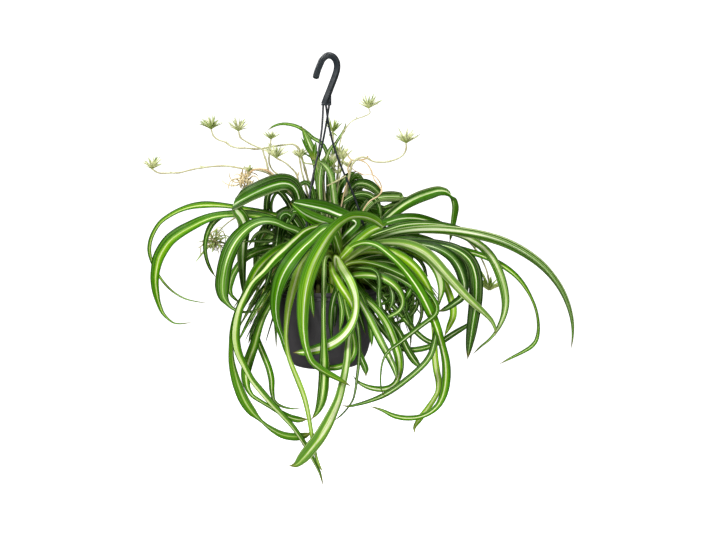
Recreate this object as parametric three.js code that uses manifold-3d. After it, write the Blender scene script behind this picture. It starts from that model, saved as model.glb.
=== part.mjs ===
// Hanging spider plant in a plastic hanging pot: a moulded hook, three hanger arms clipped over the pot's rim,
// a filled pot, the crown that the leaves grow from, striped strap leaves, and runners that carry plantlets.
// Millimetres, +Z up. The origin is the seat of the hook, where it hangs on its rail.
import * as THREE from "three";
import { mergeVertices } from "three/addons/utils/BufferGeometryUtils.js";
import Module from "manifold-3d";

// ---- driving dimensions ----
const POT_X = -4.5; // the pot's axis hangs a little to the left of the hook's seat
const RIM_Z = -317; // top of the pot's rim
const RIM_R = 75; // a 15 cm pot
const POT_BASE_Z = -429.5;
const POT_BASE_R = 46;
const WALL = 1.9;
const SOIL_Z = -331.4; // top of the potting mix
const POT_SIDES = 48;
const CROWN_REACH = 68;
const HOOK_R = 4.7; // the hook is a round bar
const ARM_R = 1.25;
const CLIP_WIDTH = 9;
const LEAF_THICK = 1.0; // at the midrib; the leaf thins to its edges
const LEAF_CHANNEL = 0.2; // how far the edges stand above the midrib, as a share of the half width
const DRAIN_R = 3.5; // drainage holes in the pot's base
const DRAIN_PITCH_R = 30;
const DRAIN_COUNT = 6;

// The hook's centre line in the XZ plane, from its blunt tip round to the neck.
const HOOK_LINE = [[-17.7, -27.5], [-15.8, -19.2], [-11.8, -8.6], [-7, 0.6], [-0.3, 4.9], [6.5, 3.2], [11.6, -4.1], [12.1, -13.7], [9.4, -23.4], [5.2, -34.4], [1, -45.4], [-2.6, -54], [-3.4, -59]];

// Crowns: low mounds of packed leaf bases on the soil: x, y, radius x, radius y, height.
const CROWNS = [[14, -44, 14.5, 33, 51], [4, 8, 16, 31, 47], [2, 56, 15, 24, 38]];

// Hanger arms: the centre line from the neck of the hook down to the rim, and where round the rim the clip sits.
const ARMS = {
  hanger_arm_left_front: { angle: 245, path: [[-7.2,-4,-66],[-8.8,-11.4,-94.8],[-13.4,-19.7,-126.8],[-19.8,-27,-154.8],[-25.5,-35.3,-186.3],[-28.8,-43.6,-218.1],[-31.7,-51,-246.3],[-34.3,-59.3,-277.9],[-36,-67.6,-309.5]] },
  hanger_arm_right: { angle: 5, path: [[-3,0,-66.1],[1.2,0.8,-94.9],[9.3,1.6,-126.6],[19.7,2.4,-154],[33.1,3.2,-184.3],[44.2,4.1,-215.7],[52.6,4.8,-244.2],[61.5,5.7,-276.7],[69.8,6.5,-309.5]] },
  hanger_arm_left_rear: { angle: 125, path: [[0.8,4,-65.5],[-3.8,10.6,-92.9],[-10.2,18.1,-123.7],[-17.4,24.7,-151.2],[-24.7,32.1,-182.6],[-31.3,39.6,-214.5],[-36.7,46.2,-243.3],[-42.5,53.7,-276.2],[-47.3,61.1,-309.5]] },
};

// Everything that grew. A leaf is a row of stations along its midrib: x, y, z, the unit vector across the blade, and
// the half width. A runner is x, y, z, radius along its length, then the plantlet at its end: leaflet length, count,
// and habit (0 upright rosette, 1 hanging, 2 dry fibres).
const GROWN = {
  leaf_left_outer_arch: [
    ["leaf", [[-3.3,-7,-288.4,-0.99,-0.04,-0.15,3.5],[-15,-7.8,-262.8,-0.8,-0.1,-0.59,4.1],[-41.6,-8.4,-234.9,-0.6,-0.27,-0.76,4.3],[-72.1,-8.4,-218,-0.26,-0.66,-0.7,4.8],[-109.4,-9.8,-209.3,-0.03,-0.76,-0.64,5],[-150.2,-15.6,-202.4,0.04,-0.69,-0.72,4.9],[-184.5,-20.6,-202.3,0.19,-0.53,-0.83,5.1],[-216.8,-23.4,-213.9,0.35,-0.76,-0.54,5.1],[-239.8,-25.6,-234.4,0.56,-0.78,-0.28,4.8],[-248.8,-27.4,-260.5,0.73,-0.68,0.01,4.4],[-240.7,-29.1,-290.4,0.82,-0.36,0.44,2.3],[-223.2,-30.5,-316.1,0.63,0.5,0.6,1.7],[-200.4,-31.5,-331.6,0.19,0.89,0.41,1.8],[-169.6,-32,-337.4,0.14,0.47,0.87,0.4]]],
  ],
  leaf_left_broad_arch: [
    ["leaf", [[-0.7,-16.3,-298.9,-0.97,-0.24,0.01,3.4],[-8.3,-15.5,-275.9,-0.62,-0.64,-0.45,4.8],[-35.9,-18.2,-248.5,-0.51,-0.56,-0.65,6],[-64.3,-20.3,-228,-0.27,-0.76,-0.59,7.6],[-100.7,-21.6,-216.2,-0.06,-0.86,-0.51,8.3],[-131.5,-27.9,-214.2,0.35,-0.79,-0.5,8.4],[-167.1,-47.6,-218.4,0.53,-0.65,-0.55,8.6],[-194.4,-55.5,-231,0.43,-0.53,-0.73,8.6],[-221.5,-57.8,-251.7,0.79,-0.16,-0.6,8.4],[-234.7,-59.4,-279.6,0.97,-0.17,-0.19,7.4],[-236.1,-60.7,-314.1,0.86,-0.5,0.13,6.5],[-228.4,-61.5,-344.3,0.89,-0.15,0.43,2.7],[-211.5,-61.9,-360.9,0.19,0.84,0.51,1.5],[-187.4,-62,-359.4,-0.09,0.82,0.56,0.6]]],
  ],
  leaf_left_folded: [
    ["leaf", [[-7.8,-12.8,-306,-0.97,0.25,0.02,4.1],[-11.6,-10.9,-274.9,-0.92,0.17,-0.36,4.7],[-26.7,-12.1,-243,-0.88,0.38,-0.29,8.2],[-38.4,-18,-209.6,-0.77,0.64,-0.01,10.6],[-42.4,-22.7,-181.9,-0.91,0.14,-0.38,9.1],[-54.5,-25.9,-170.2,-0.2,-0.43,-0.88,11.6],[-77.9,-30.5,-172.3,0.36,-0.37,-0.85,12.8],[-115.1,-37,-189,0.46,-0.59,-0.67,12.5],[-129.6,-39.4,-198,-0.92,-0.19,0.35,6.2],[-127.1,-40.3,-204.3,-0.85,-0.25,-0.47,7.6],[-115.5,-42.7,-220.7,-0.83,-0.51,-0.24,9.8],[-115.5,-45.9,-247.6,-0.66,-0.73,0.17,10.3],[-117,-50.8,-291.6,-0.65,-0.76,0.04,7.2],[-113.4,-53.8,-332.4,-0.65,-0.75,-0.07,0.6]]],
  ],
  leaf_left_front_hook: [
    ["leaf", [[3.8,-29.6,-288.2,-0.84,-0.52,-0.13,4.7],[-4.2,-25.4,-269.8,-0.53,-0.8,-0.28,7.3],[-11.8,-27.5,-262.3,-0.04,-0.64,-0.77,8.2],[-21.9,-39.3,-251.4,-0.24,-0.77,-0.59,8.3],[-40.9,-43.6,-236.3,-0.06,-0.82,-0.57,8.8],[-68.9,-54.6,-223.5,0.01,-0.84,-0.55,8.7],[-91.7,-64.3,-220.5,0.45,-0.78,-0.44,10.3],[-114,-75.9,-233,0.7,-0.59,-0.39,11],[-131.2,-83,-257.2,0.88,-0.32,-0.35,11.2],[-140.6,-87.8,-289.3,0.99,0.01,-0.16,10.2],[-140.4,-91.7,-319.3,0.95,0.02,0.3,7],[-128.1,-93.9,-335,0.48,0.69,0.54,2.7],[-108.8,-95,-340,0,0.9,0.43,3],[-87.1,-95.3,-331.1,-0.43,0.74,0.52,0.7]]],
  ],
  leaf_left_inner_hook: [
    ["leaf", [[-5.8,-22.9,-326.4,-0.97,0.01,0.24,3.2],[-1,-22.8,-301.8,-0.99,-0.05,0.11,3.3],[-2.1,-21.8,-284.2,-0.89,-0.39,-0.26,3.7],[-7.9,-20.5,-275.5,-0.58,-0.57,-0.58,4.1],[-23.2,-22.5,-266.8,-0.15,-0.65,-0.75,4.8],[-46.9,-27.1,-260.3,-0.05,-0.54,-0.84,5],[-67.8,-31.1,-258.7,0.13,-0.42,-0.9,5.1],[-91.6,-35.3,-263.2,0.32,-0.41,-0.86,5.1],[-110.8,-38.2,-271.1,0.53,-0.26,-0.81,4.9],[-123.5,-41.1,-282.6,0.79,-0.04,-0.61,4.8],[-133.3,-45.3,-300.6,0.94,0.04,-0.33,4.8],[-135.8,-48.8,-317.4,0.98,0.12,0.15,3.5],[-131,-50.9,-326.4,0.71,0.19,0.68,2],[-120.3,-53.8,-335.2,0.73,0.17,0.66,0.6]]],
  ],
  leaf_left_back_slim: [
    ["leaf", [[-7.1,5,-287.3,-0.98,-0.05,-0.18,3.5],[-14.6,5.1,-271.3,-0.77,-0.1,-0.64,3.7],[-28,5.5,-259.7,-0.56,-0.17,-0.81,4],[-49.2,6.6,-246.9,-0.49,-0.34,-0.8,4.4],[-73.8,8.4,-232.8,-0.45,-0.38,-0.81,4.4],[-96.6,10.1,-223.1,-0.3,-0.41,-0.86,4.4],[-120.9,11.7,-217.6,-0.16,-0.42,-0.89,4.5],[-142.1,13,-216.3,0.12,-0.35,-0.93,4.4],[-155.3,13.8,-221.8,0.55,-0.14,-0.82,4.3],[-167.9,14.9,-234.6,0.86,0.02,-0.51,4.2],[-174.7,16,-251.4,0.97,-0.04,-0.24,3.6],[-176.3,17.2,-269.4,1,-0.06,0.04,3],[-172,18.6,-290.6,0.92,0.14,0.36,2.4],[-161.8,20,-309.7,0.83,0.16,0.53,0.6]]],
  ],
  leaf_front_longest: [
    ["leaf", [[16.2,-41.8,-277.7,-0.93,-0.34,0.09,4.4],[14.7,-49.5,-249,-0.79,-0.47,-0.4,5.1],[5.1,-66,-227,0.08,-0.46,-0.88,5.8],[-21.3,-78.5,-229.9,0.37,-0.13,-0.92,7.2],[-47.1,-92.2,-249.4,0.71,-0.33,-0.62,7.8],[-76.2,-101.6,-275.9,0.51,-0.81,-0.29,7.6],[-103.2,-105.7,-305.3,0.53,-0.82,-0.2,7.4],[-120.1,-110.1,-348.8,0.72,-0.69,-0.03,7.9],[-119,-116.1,-388.3,0.85,-0.43,0.31,6.5],[-102.4,-122.2,-424.4,0.85,0.18,0.5,4],[-77.4,-125.6,-455.8,0.59,0.65,0.48,5],[-46,-127.9,-491,0.58,0.71,0.39,4.2],[-21,-129.5,-531.5,0.72,0.6,0.36,3.4],[-5.3,-130,-573.2,0.94,0.3,0.17,0.4]]],
  ],
  leaf_left_lower_outer: [
    ["leaf", [[-18.6,-34.4,-264.1,0.18,-0.51,0.84,5.3],[-41.4,-38.5,-255.5,0.37,-0.5,0.79,6],[-61.4,-46.3,-257.1,-0.13,-0.5,0.86,6.7],[-85.8,-58,-274.1,-0.5,-0.35,0.79,7.5],[-103.1,-73.6,-297,-0.6,-0.55,0.58,7.3],[-114.6,-85.2,-323.9,-0.46,-0.78,0.43,7.2],[-127.1,-89.6,-355.3,-0.49,-0.84,0.24,5.4],[-130.2,-94.1,-392.5,-0.53,-0.84,0.08,5.7],[-125.8,-97.5,-426.3,-0.79,-0.6,-0.14,6.7],[-114.5,-100.1,-458.6,-0.89,-0.18,-0.42,7.1],[-96.3,-101.9,-483.3,-0.7,0.18,-0.69,3.8],[-69.4,-103.2,-504.5,-0.48,0,-0.88,4.6],[-46.3,-103.8,-510.4,-0.03,-0.25,-0.97,5.4],[-20,-104,-503.6,0.48,-0.21,-0.85,0.5]]],
  ],
  leaf_left_lower_bright: [
    ["leaf", [[1.6,-37,-287.9,-0.78,-0.54,-0.33,3.9],[-6,-38.2,-281.3,-0.01,-0.72,-0.69,4.8],[-23,-44.3,-281.8,0.54,-0.67,-0.51,5.8],[-47.4,-60.2,-291.3,0.66,-0.72,-0.2,6.7],[-63.4,-71.4,-307.8,0.54,-0.83,-0.15,7.2],[-80.4,-76.8,-337.1,0.54,-0.82,-0.18,7.3],[-93.2,-81.4,-364.8,0.69,-0.71,-0.13,7.3],[-103.4,-85.7,-397.3,0.87,-0.41,-0.28,7.6],[-111.6,-88.8,-427,0.94,-0.33,-0.03,7.4],[-108.5,-90.5,-447.3,0.94,-0.11,0.33,4],[-97.8,-91.6,-460.4,0.44,0.69,0.58,3.2],[-74.3,-93,-474.6,0.31,0.8,0.51,4.2],[-49.5,-93.8,-486.6,0.32,0.29,0.9,4.4],[-25.7,-94,-488,-0.13,0.24,0.96,0.5]]],
  ],
  leaf_left_lower_slim: [
    ["leaf", [[-5.9,-24.5,-327.1,-0.97,0.01,0.24,3.2],[-0.3,-24.8,-295.4,-1,-0.04,-0.02,3.4],[-3.9,-26.3,-285.7,-0.49,-0.15,-0.86,3.5],[-14.1,-28.3,-286.1,0.36,-0.24,-0.9,3.5],[-35.2,-41.9,-296.2,0.71,-0.5,-0.5,4.1],[-56.3,-59.9,-310.9,0.68,-0.65,-0.34,4.6],[-75.9,-63.4,-330.3,0.58,-0.71,-0.4,4.6],[-93.1,-67.4,-355.9,0.71,-0.67,-0.21,4.6],[-97.1,-70.2,-379.3,0.89,-0.38,0.23,4.4],[-86.1,-73.3,-408.4,0.93,0.05,0.37,4.5],[-77.3,-75.9,-441.9,1,0.04,0.07,4.5],[-74.1,-77.2,-466,0.84,0.24,0.48,2.2],[-63.4,-77.7,-474.5,0.27,0.71,0.65,2.1],[-35.9,-78.1,-477.1,-0.06,0.46,0.88,0.4]]],
  ],
  leaf_front_left_broad: [
    ["leaf", [[18.5,-55.1,-270.2,-0.64,-0.68,-0.36,5.9],[12.8,-65.2,-249.2,-0.47,-0.66,-0.58,7],[7.3,-76.8,-231.7,-0.27,-0.74,-0.61,8.2],[-0.9,-82,-226.7,0.45,-0.76,-0.47,9.8],[-6.9,-85.8,-228.9,0.65,-0.73,-0.22,10.6],[-23.9,-99.6,-243.3,0.71,-0.66,-0.25,11.5],[-40.1,-111.8,-258.4,0.77,-0.51,-0.39,11.7],[-53.7,-118.6,-276.4,0.81,-0.37,-0.44,12],[-63.3,-119.8,-297.6,0.82,-0.52,-0.23,11.6],[-68.1,-120.9,-324,0.79,-0.61,-0.02,9.5],[-66.6,-121.6,-347.4,0.9,-0.4,0.17,5.4],[-59.4,-114.5,-373.4,0.95,-0.13,0.27,3.6],[-53.9,-112.4,-393.4,0.94,0.04,0.33,2.7],[-47.3,-119.7,-412.7,0.97,-0.01,0.23,0.5]]],
  ],
  leaf_front_pale_long: [
    ["leaf", [[12.4,-46.5,-274.9,0.83,-0.4,0.38,4],[-0.8,-55.2,-263.3,0.58,-0.29,0.76,4.7],[-17.5,-66.7,-261.1,0,-0.28,0.96,5.2],[-29,-73.9,-267,-0.51,-0.29,0.81,5.6],[-39.8,-86.3,-286.4,-0.85,-0.29,0.44,6.1],[-47.8,-98.6,-314.3,-0.84,-0.41,0.36,6.2],[-53.2,-108.5,-343.2,-0.68,-0.68,0.28,5.4],[-54.4,-118.1,-375.8,-0.78,-0.61,0.1,3.7],[-49.6,-123.5,-401.4,-0.94,-0.18,-0.28,3],[-38.1,-132.3,-428.2,-0.9,0.11,-0.42,3.9],[-28.1,-139.3,-455.8,-0.97,0.02,-0.26,3.4],[-21.1,-145.6,-491.4,-0.99,-0.03,-0.16,2.9],[-14.9,-149,-524.4,-0.95,0.16,-0.27,2.2],[-4.1,-149.8,-549.3,-0.86,-0.02,-0.51,0.4]]],
  ],
  leaf_front_centre_folded: [
    ["leaf", [[17.4,-60.6,-272.7,-0.91,0.13,0.4,4.2],[28.5,-69.2,-258.5,-0.77,0.52,0.37,6.5],[38.2,-53.2,-250.9,-0.7,0.58,0.42,7.4],[51.2,-57.5,-239.3,-0.17,0.62,0.76,8.4],[75.1,-79.5,-224.7,0.69,0.45,0.57,4.4],[41.3,-106.8,-208.2,0.45,-0.63,0.63,10.6],[17.5,-120.5,-216.5,-0.2,-0.62,0.76,10.2],[-7.9,-137.8,-248.6,-0.73,-0.39,0.57,10.7],[-24.4,-143.5,-287.3,-0.92,-0.29,0.28,10.9],[-30.7,-146.7,-336.1,-0.93,-0.36,0.04,8.2],[-26,-148.7,-382.1,-0.96,0.16,-0.22,4.7],[-6.9,-149.6,-407.7,-0.44,0.56,-0.7,6.1],[33.4,-150,-430.6,-0.47,0.55,-0.7,0.6]]],
  ],
  leaf_front_small_hook: [
    ["leaf", [[15.9,-63.6,-286.2,-0.85,0.31,0.42,3.4],[17,-65.6,-283.9,0.57,0.14,0.81,3.4],[17.9,-67.2,-287,0.98,0.13,0.16,3.5],[19,-71.5,-293.2,0.97,0.22,-0.03,3.5],[21.3,-87.1,-307.9,0.92,0.36,-0.14,3.7],[23.2,-92.5,-324.1,0.91,0.42,-0.02,4],[28.7,-99.8,-346.1,0.9,0.41,0.18,4.3],[32.8,-102.9,-362.2,0.93,0.36,0.09,4.3],[36.8,-112.8,-383.9,0.98,0.19,-0.08,4.1],[34,-117.4,-396.2,0.89,-0.04,-0.45,4],[25.2,-121.3,-405.4,0.54,-0.17,-0.82,4.2],[9.4,-125.3,-409.8,0.08,-0.21,-0.98,4.1],[-10.4,-128.3,-407.3,-0.29,-0.2,-0.94,3],[-21.4,-129.2,-399.8,-0.67,-0.18,-0.72,0.5]]],
  ],
  leaf_front_drop: [
    ["leaf", [[8.7,-58.5,-283,-0.81,-0.59,-0.01,3.3],[5.6,-58.5,-273.1,-0.34,-0.6,-0.73,3.9],[3.8,-63.5,-269.6,0.02,-0.48,-0.88,4],[-1.7,-78,-265.7,0.89,-0.24,-0.38,4],[-3.1,-85.1,-267.8,0.99,-0.17,0.02,3.9],[-4.3,-93.8,-276.7,0.97,-0.23,0.07,3.5],[-4.5,-104.6,-299,1,-0.06,0.02,3.4],[-4.7,-116.9,-327.6,1,-0.06,0.02,3.4],[-4.6,-127.1,-356.3,1,0,0.02,3.4],[-3.9,-135.1,-385.3,1,0.02,0.02,5.5],[-3.7,-140.9,-414.6,1,0.02,-0.03,7.3],[-5.7,-144.2,-440.9,0.99,-0.01,-0.13,7.2],[-12.1,-145.7,-463.4,0.89,-0.12,-0.43,4.2],[-21.9,-146.1,-477,0.66,-0.43,-0.62,0.4]]],
  ],
  leaf_front_curl: [
    ["leaf", [[10.2,-65.2,-289.5,-0.94,-0.35,-0.04,3.7],[10.6,-68.5,-268.2,-0.74,0.5,0.45,3.8],[12.1,-68.7,-267.5,0.47,0.7,0.54,4.3],[13.4,-68.5,-270.7,0.69,0.64,0.35,5.2],[17.3,-66.6,-280.6,0.74,0.63,0.23,7.3],[20.8,-72.1,-285.8,0.93,0.37,-0.01,7.9],[26.5,-91.2,-291.8,0.95,0.32,0.01,7.9],[34,-104.1,-305.2,0.87,0.49,-0.03,7.8],[38.2,-116.3,-323.3,0.88,0.46,-0.13,6.4],[36.2,-123.2,-342.3,0.96,-0.06,-0.27,5.6],[25.1,-127.6,-362.3,0.7,-0.45,-0.56,7.1],[6.4,-127.8,-376.5,0.46,-0.19,-0.87,7.7],[-18.9,-127.4,-385.7,0.21,-0.18,-0.96,6.7],[-45.5,-125.9,-388.9,-0.1,-0.2,-0.97,0.7]]],
  ],
  leaf_front_olive_long: [
    ["leaf", [[30.2,-84.3,-301.9,-0.4,0.41,-0.82,6],[35.7,-97.4,-316.1,-0.58,0.65,-0.49,6.1],[38.2,-100.1,-329.2,-0.77,0.63,-0.12,5.3],[36.6,-101.7,-349.3,-0.96,0.19,0.2,4.1],[31,-110.5,-363.9,-0.95,0.04,0.31,4],[27.7,-119.1,-382.5,-0.97,0.24,-0.01,4.6],[25.1,-127.8,-408,-0.99,0.1,0.12,5],[19.2,-136.6,-436.3,-0.96,-0.14,0.25,5.6],[11,-143.6,-460.6,-0.83,-0.3,0.46,7.1],[-0.9,-149.5,-483.6,-0.87,0.03,0.49,8.2],[-15.4,-154,-505.4,-0.78,0.14,0.61,8.6],[-34.9,-157.1,-528.1,-0.7,0.16,0.7,6.7],[-45.4,-157.7,-536,-0.14,0.19,0.97,2.4],[-51.7,-157.8,-534,0.46,0.15,0.87,0.5]]],
  ],
  leaf_top_flat_folded: [
    ["leaf", [[0.9,-19.7,-305,-0.97,-0.24,-0.04,4],[3.4,-19.3,-276.6,-0.94,0.09,0.32,4.3],[14,-24.7,-257.3,-0.63,0.47,0.62,5.5],[35.2,-32.4,-232.7,-0.69,0.2,0.69,5.6],[39.6,-33.8,-223.6,-0.84,-0.43,-0.32,6],[34.6,-34.7,-218.7,-0.33,-0.65,-0.69,7.6],[12.1,-38.3,-208.9,-0.3,-0.49,-0.82,9.7],[-17.8,-44,-199.6,-0.05,-0.59,-0.8,9.4],[-45.1,-47.4,-194.5,-0.76,0.16,0.63,3.4],[-34.3,-49.5,-207,-0.48,0.25,-0.84,6.3],[-6,-54.2,-219.3,-0.29,-0.1,-0.95,6.9],[19.4,-59.4,-229,-0.55,-0.1,-0.83,0.7]]],
  ],
  leaf_right_front_slope: [
    ["leaf", [[21.5,-62.4,-288.5,0.62,0.6,0.51,3.8],[26.4,-65.3,-297.2,0.8,0.6,0.05,4.8],[29.4,-69.9,-302.8,0.83,0.55,-0.12,5.2],[35.7,-82.3,-313.1,0.83,0.55,-0.09,5.4],[40.7,-89.1,-321,0.77,0.63,0.08,5.4],[47.5,-95.4,-331.8,0.79,0.57,0.22,5.5],[54.4,-100.7,-342.7,0.84,0.46,0.29,5.7],[62,-106.6,-356.9,0.88,0.35,0.31,5.7],[69.2,-111.7,-371.3,0.9,0.18,0.4,5.4],[76.9,-116,-385.6,0.88,0.08,0.46,5.1],[86.2,-119.7,-403,0.9,0.07,0.42,4.3],[91,-121.2,-415.4,0.96,0.03,0.27,3.3],[93.7,-121.6,-428.8,0.99,0.01,0.16,0.5]]],
  ],
  leaf_right_front_hook: [
    ["leaf", [[20.2,-58.8,-284.8,0.2,0.63,0.75,3.6],[28,-60.9,-300,0.67,0.74,-0.02,5.4],[34.6,-69.6,-310.9,0.61,0.79,0.01,5.9],[41.4,-71.3,-318.5,0.47,0.86,0.22,6.1],[57.5,-82.6,-329.7,0.74,0.67,0.09,6.9],[71.3,-95.7,-342.6,0.71,0.67,0.2,7],[83.5,-101.4,-362.3,0.8,0.53,0.27,7.1],[93.8,-105.4,-390.8,0.9,0.38,0.22,7.2],[97.1,-107.7,-414.2,0.9,0.42,-0.08,6.4],[92.1,-109.2,-433.8,0.8,-0.25,-0.54,3.8],[84.5,-109.8,-440.5,0.37,-0.66,-0.65,4.5],[67.9,-110.5,-442.8,-0.04,-0.73,-0.68,4.9],[45.3,-111.1,-435.4,-0.38,-0.67,-0.63,3],[33.9,-111.3,-422.8,-0.72,-0.54,-0.43,0.4]]],
  ],
  leaf_right_short_curl: [
    ["leaf", [[32.9,-56.4,-297.2,0.06,0.73,0.68,5.8],[43.1,-62,-294.3,0.18,0.67,0.71,5.9],[56.9,-65.6,-293.5,0.16,0.58,0.8,6.1],[67.2,-69.2,-294.4,0.34,0.48,0.81,6.1],[79.9,-74.1,-298.7,0.53,0.44,0.73,6.2],[88.4,-77.6,-304.1,0.66,0.49,0.57,6.3],[97.4,-81.8,-313.8,0.74,0.62,0.26,5.6],[101.3,-84.6,-323,0.82,0.57,0.02,4.6],[101.6,-86.2,-329.6,0.92,0.34,-0.2,3.5],[99.5,-87.6,-336,0.86,-0.05,-0.51,2.9],[94.9,-88.8,-341,0.61,-0.41,-0.68,2.8],[89.1,-89.7,-344.4,0.4,-0.62,-0.68,3.2],[76,-90.9,-348.4,0.11,-0.56,-0.82,2.2],[65.7,-91.2,-348.3,-0.05,-0.36,-0.93,0.5]]],
  ],
  leaf_right_long_curl: [
    ["leaf", [[34.9,-64,-253.5,-0.1,0.66,0.74,4.8],[58,-75,-248.2,0.37,0.71,0.6,5.8],[83.6,-88.3,-262.5,0.67,0.66,0.34,6.7],[111.1,-101.9,-290.4,0.74,0.52,0.43,7],[132.4,-108.5,-324.1,0.86,0.32,0.39,7],[142,-108.5,-346,0.89,0.44,0.16,7],[148.6,-119.1,-363.3,0.75,0.62,0.22,6.9],[153.5,-113.5,-380.9,0.72,0.67,0.17,6.9],[159.5,-117.8,-413.7,0.89,0.45,-0.01,6.9],[155.9,-121.4,-447,0.92,0.23,-0.31,5.8],[141.8,-124.3,-469.4,0.52,-0.63,-0.58,4.1],[116.9,-127.3,-478.7,0.13,-0.81,-0.57,4.6],[83.9,-130.9,-472.4,-0.3,-0.57,-0.77,3.2],[56,-134.1,-460.1,-0.05,-0.56,-0.83,0.4]]],
  ],
  leaf_right_pale_drop: [
    ["leaf", [[20.8,-40.5,-280.8,0.85,0.07,-0.52,3.1],[37.1,-40.5,-268.2,0.4,0.3,-0.87,3.6],[61,-46.5,-263.2,0.1,0.4,-0.91,4.2],[84.6,-51.9,-267.1,-0.21,0.42,-0.88,4.9],[107.5,-58.8,-281.3,-0.51,0.47,-0.72,4.9],[126.2,-65.6,-305.2,-0.65,0.57,-0.51,5],[138.7,-73.3,-336.4,-0.63,0.7,-0.35,4.9],[144.6,-81.4,-369.3,-0.68,0.7,-0.21,4.9],[146,-89.8,-402.6,-0.95,0.26,-0.14,4.6],[150.6,-97.5,-432,-0.99,0.08,-0.15,4.5],[148.1,-102.8,-451.4,-0.89,0.29,0.34,3.5],[128.8,-111.8,-478.2,-0.79,0.18,0.58,3.9],[116.9,-118.2,-497.6,-1,0.02,-0.09,1.4],[120.4,-120,-502.9,-0.75,-0.14,-0.65,0.4]]],
  ],
  leaf_right_yellow_green: [
    ["leaf", [[20.7,-44.3,-280.8,-0.75,0.32,0.58,3.3],[28.6,-47.8,-273.5,-0.27,0.63,0.72,4.4],[36.6,-50.9,-266.4,-0.28,0.78,0.56,5.5],[49.1,-52.1,-260.4,-0.09,0.81,0.58,6.1],[62.7,-54.9,-257.8,0.17,0.76,0.63,6.2],[76.3,-59,-258.5,0.32,0.68,0.66,6.4],[89.3,-63,-262.4,0.46,0.57,0.68,6.4],[104.3,-67.8,-270,0.56,0.43,0.71,6.5],[117.6,-71.9,-280.3,0.71,0.2,0.67,6.1],[126.4,-74.8,-290.4,0.81,0.07,0.58,5.7],[136.9,-78.1,-307.7,0.89,0.05,0.45,4.6],[142,-79.6,-320.3,0.96,0.01,0.29,3.6],[146.9,-80.4,-340.5,0.98,-0.02,0.21,0.5]]],
  ],
  leaf_right_cream: [
    ["leaf", [[20,-37.6,-280,0.92,-0.02,-0.38,3.1],[25.9,-37.8,-271.4,0.66,0.39,-0.64,3.6],[37.3,-38.5,-263.4,0.39,0.67,-0.63,5.1],[56.6,-40.7,-255.3,0.33,0.71,-0.63,6],[73.4,-44.3,-250.6,0.33,0.65,-0.68,6.4],[90.4,-50.3,-250.7,0.03,0.66,-0.75,6.4],[103.4,-53.1,-254.9,-0.17,0.68,-0.72,6.4],[122.3,-55.2,-263,-0.3,0.58,-0.76,6.3],[136.7,-57,-272.2,-0.61,0.28,-0.74,6],[145.9,-58.6,-282.2,-0.8,0.04,-0.59,6.1],[153.6,-60.9,-297.4,-0.95,0.01,-0.3,5.9],[156,-62.9,-310.7,-1,0.08,-0.04,5.1],[154,-65.1,-324.1,-0.93,0.29,0.2,3.3],[149,-68.8,-343.8,-0.94,0.3,0.13,0.4]]],
  ],
  leaf_right_underside_up: [
    ["leaf", [[41.9,-63.2,-261.9,0.54,0.64,-0.54,6.1],[56.9,-66.3,-253.6,0.34,0.7,-0.63,7],[73.3,-68.5,-249,0.23,0.69,-0.69,7.5],[93.5,-72.6,-248.2,0.08,0.59,-0.81,7.6],[110.1,-76.2,-250.9,-0.15,0.43,-0.89,7.7],[125.7,-79.6,-256.8,-0.39,0.27,-0.88,7.9],[139.2,-82.5,-266.4,-0.62,0.27,-0.73,7.9],[152.8,-85.1,-281.2,-0.67,0.38,-0.64,7.8],[170.9,-87.9,-301,-0.64,0.42,-0.65,7.3],[186.9,-90.3,-318.3,-0.61,0.44,-0.66,6.5],[204.3,-92.2,-334.2,-0.53,0.54,-0.66,5.5],[218.9,-93.4,-348.3,-0.61,0.55,-0.57,3.9],[226.3,-93.9,-359.7,-0.83,0.45,-0.31,2.6],[227.9,-94.1,-373.2,-0.89,0.45,0,0.4]]],
  ],
  leaf_right_longest: [
    ["leaf", [[19.9,-43.4,-277.4,0.92,0.01,-0.39,3.5],[34.7,-45.8,-262.8,0.56,0.44,-0.7,4.9],[55.6,-48.2,-250.3,0.55,0.49,-0.67,5.6],[81.4,-57.4,-240,0.35,0.56,-0.75,6.5],[114.8,-61.6,-232.6,0.15,0.56,-0.82,7.1],[152.2,-65.1,-231.4,0,0.45,-0.89,7.2],[189.5,-67.6,-235,-0.13,0.31,-0.94,7.3],[226,-69.8,-243,-0.26,0.25,-0.93,7.3],[257.5,-71.6,-255.9,-0.42,0.39,-0.82,7.3],[288.7,-73.2,-276.8,-0.56,0.47,-0.68,6.6],[309.6,-74.3,-299.6,-0.61,0.63,-0.48,5.9],[326.3,-75.3,-329.8,-0.56,0.79,-0.24,4.9],[334.7,-75.8,-363.5,-0.54,0.84,-0.05,3.3],[333.4,-76,-394.8,-0.76,0.65,0.08,0.5]]],
  ],
  leaf_right_far_hook: [
    ["leaf", [[44,-17.5,-261.8,-0.49,0.2,0.85,3.9],[57.3,-13.4,-257.6,-0.22,0.42,0.88,4.1],[91.5,-16.8,-250.3,-0.05,0.54,0.84,4.9],[122.8,-18.6,-251.4,0.17,0.45,0.88,5.2],[160.4,-21.8,-258.7,0.19,0.44,0.88,5.2],[194.4,-24.1,-266,0.26,0.52,0.81,5.2],[227.3,-26.1,-277.4,0.35,0.67,0.65,5.3],[256.8,-27.8,-295.9,0.45,0.76,0.47,5.2],[277.1,-29.3,-320.1,0.52,0.81,0.28,4.6],[290.1,-30.7,-348.9,0.6,0.79,0.13,3.8],[293.3,-32,-376.9,0.78,0.62,-0.07,3.4],[289,-32.9,-393.7,0.85,0.02,-0.53,3.1],[269.5,-34.1,-408.2,0.42,-0.5,-0.76,2.5],[238.4,-36,-424.1,0.47,-0.24,-0.85,0.4]]],
  ],
  leaf_right_pale_hook: [
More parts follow.
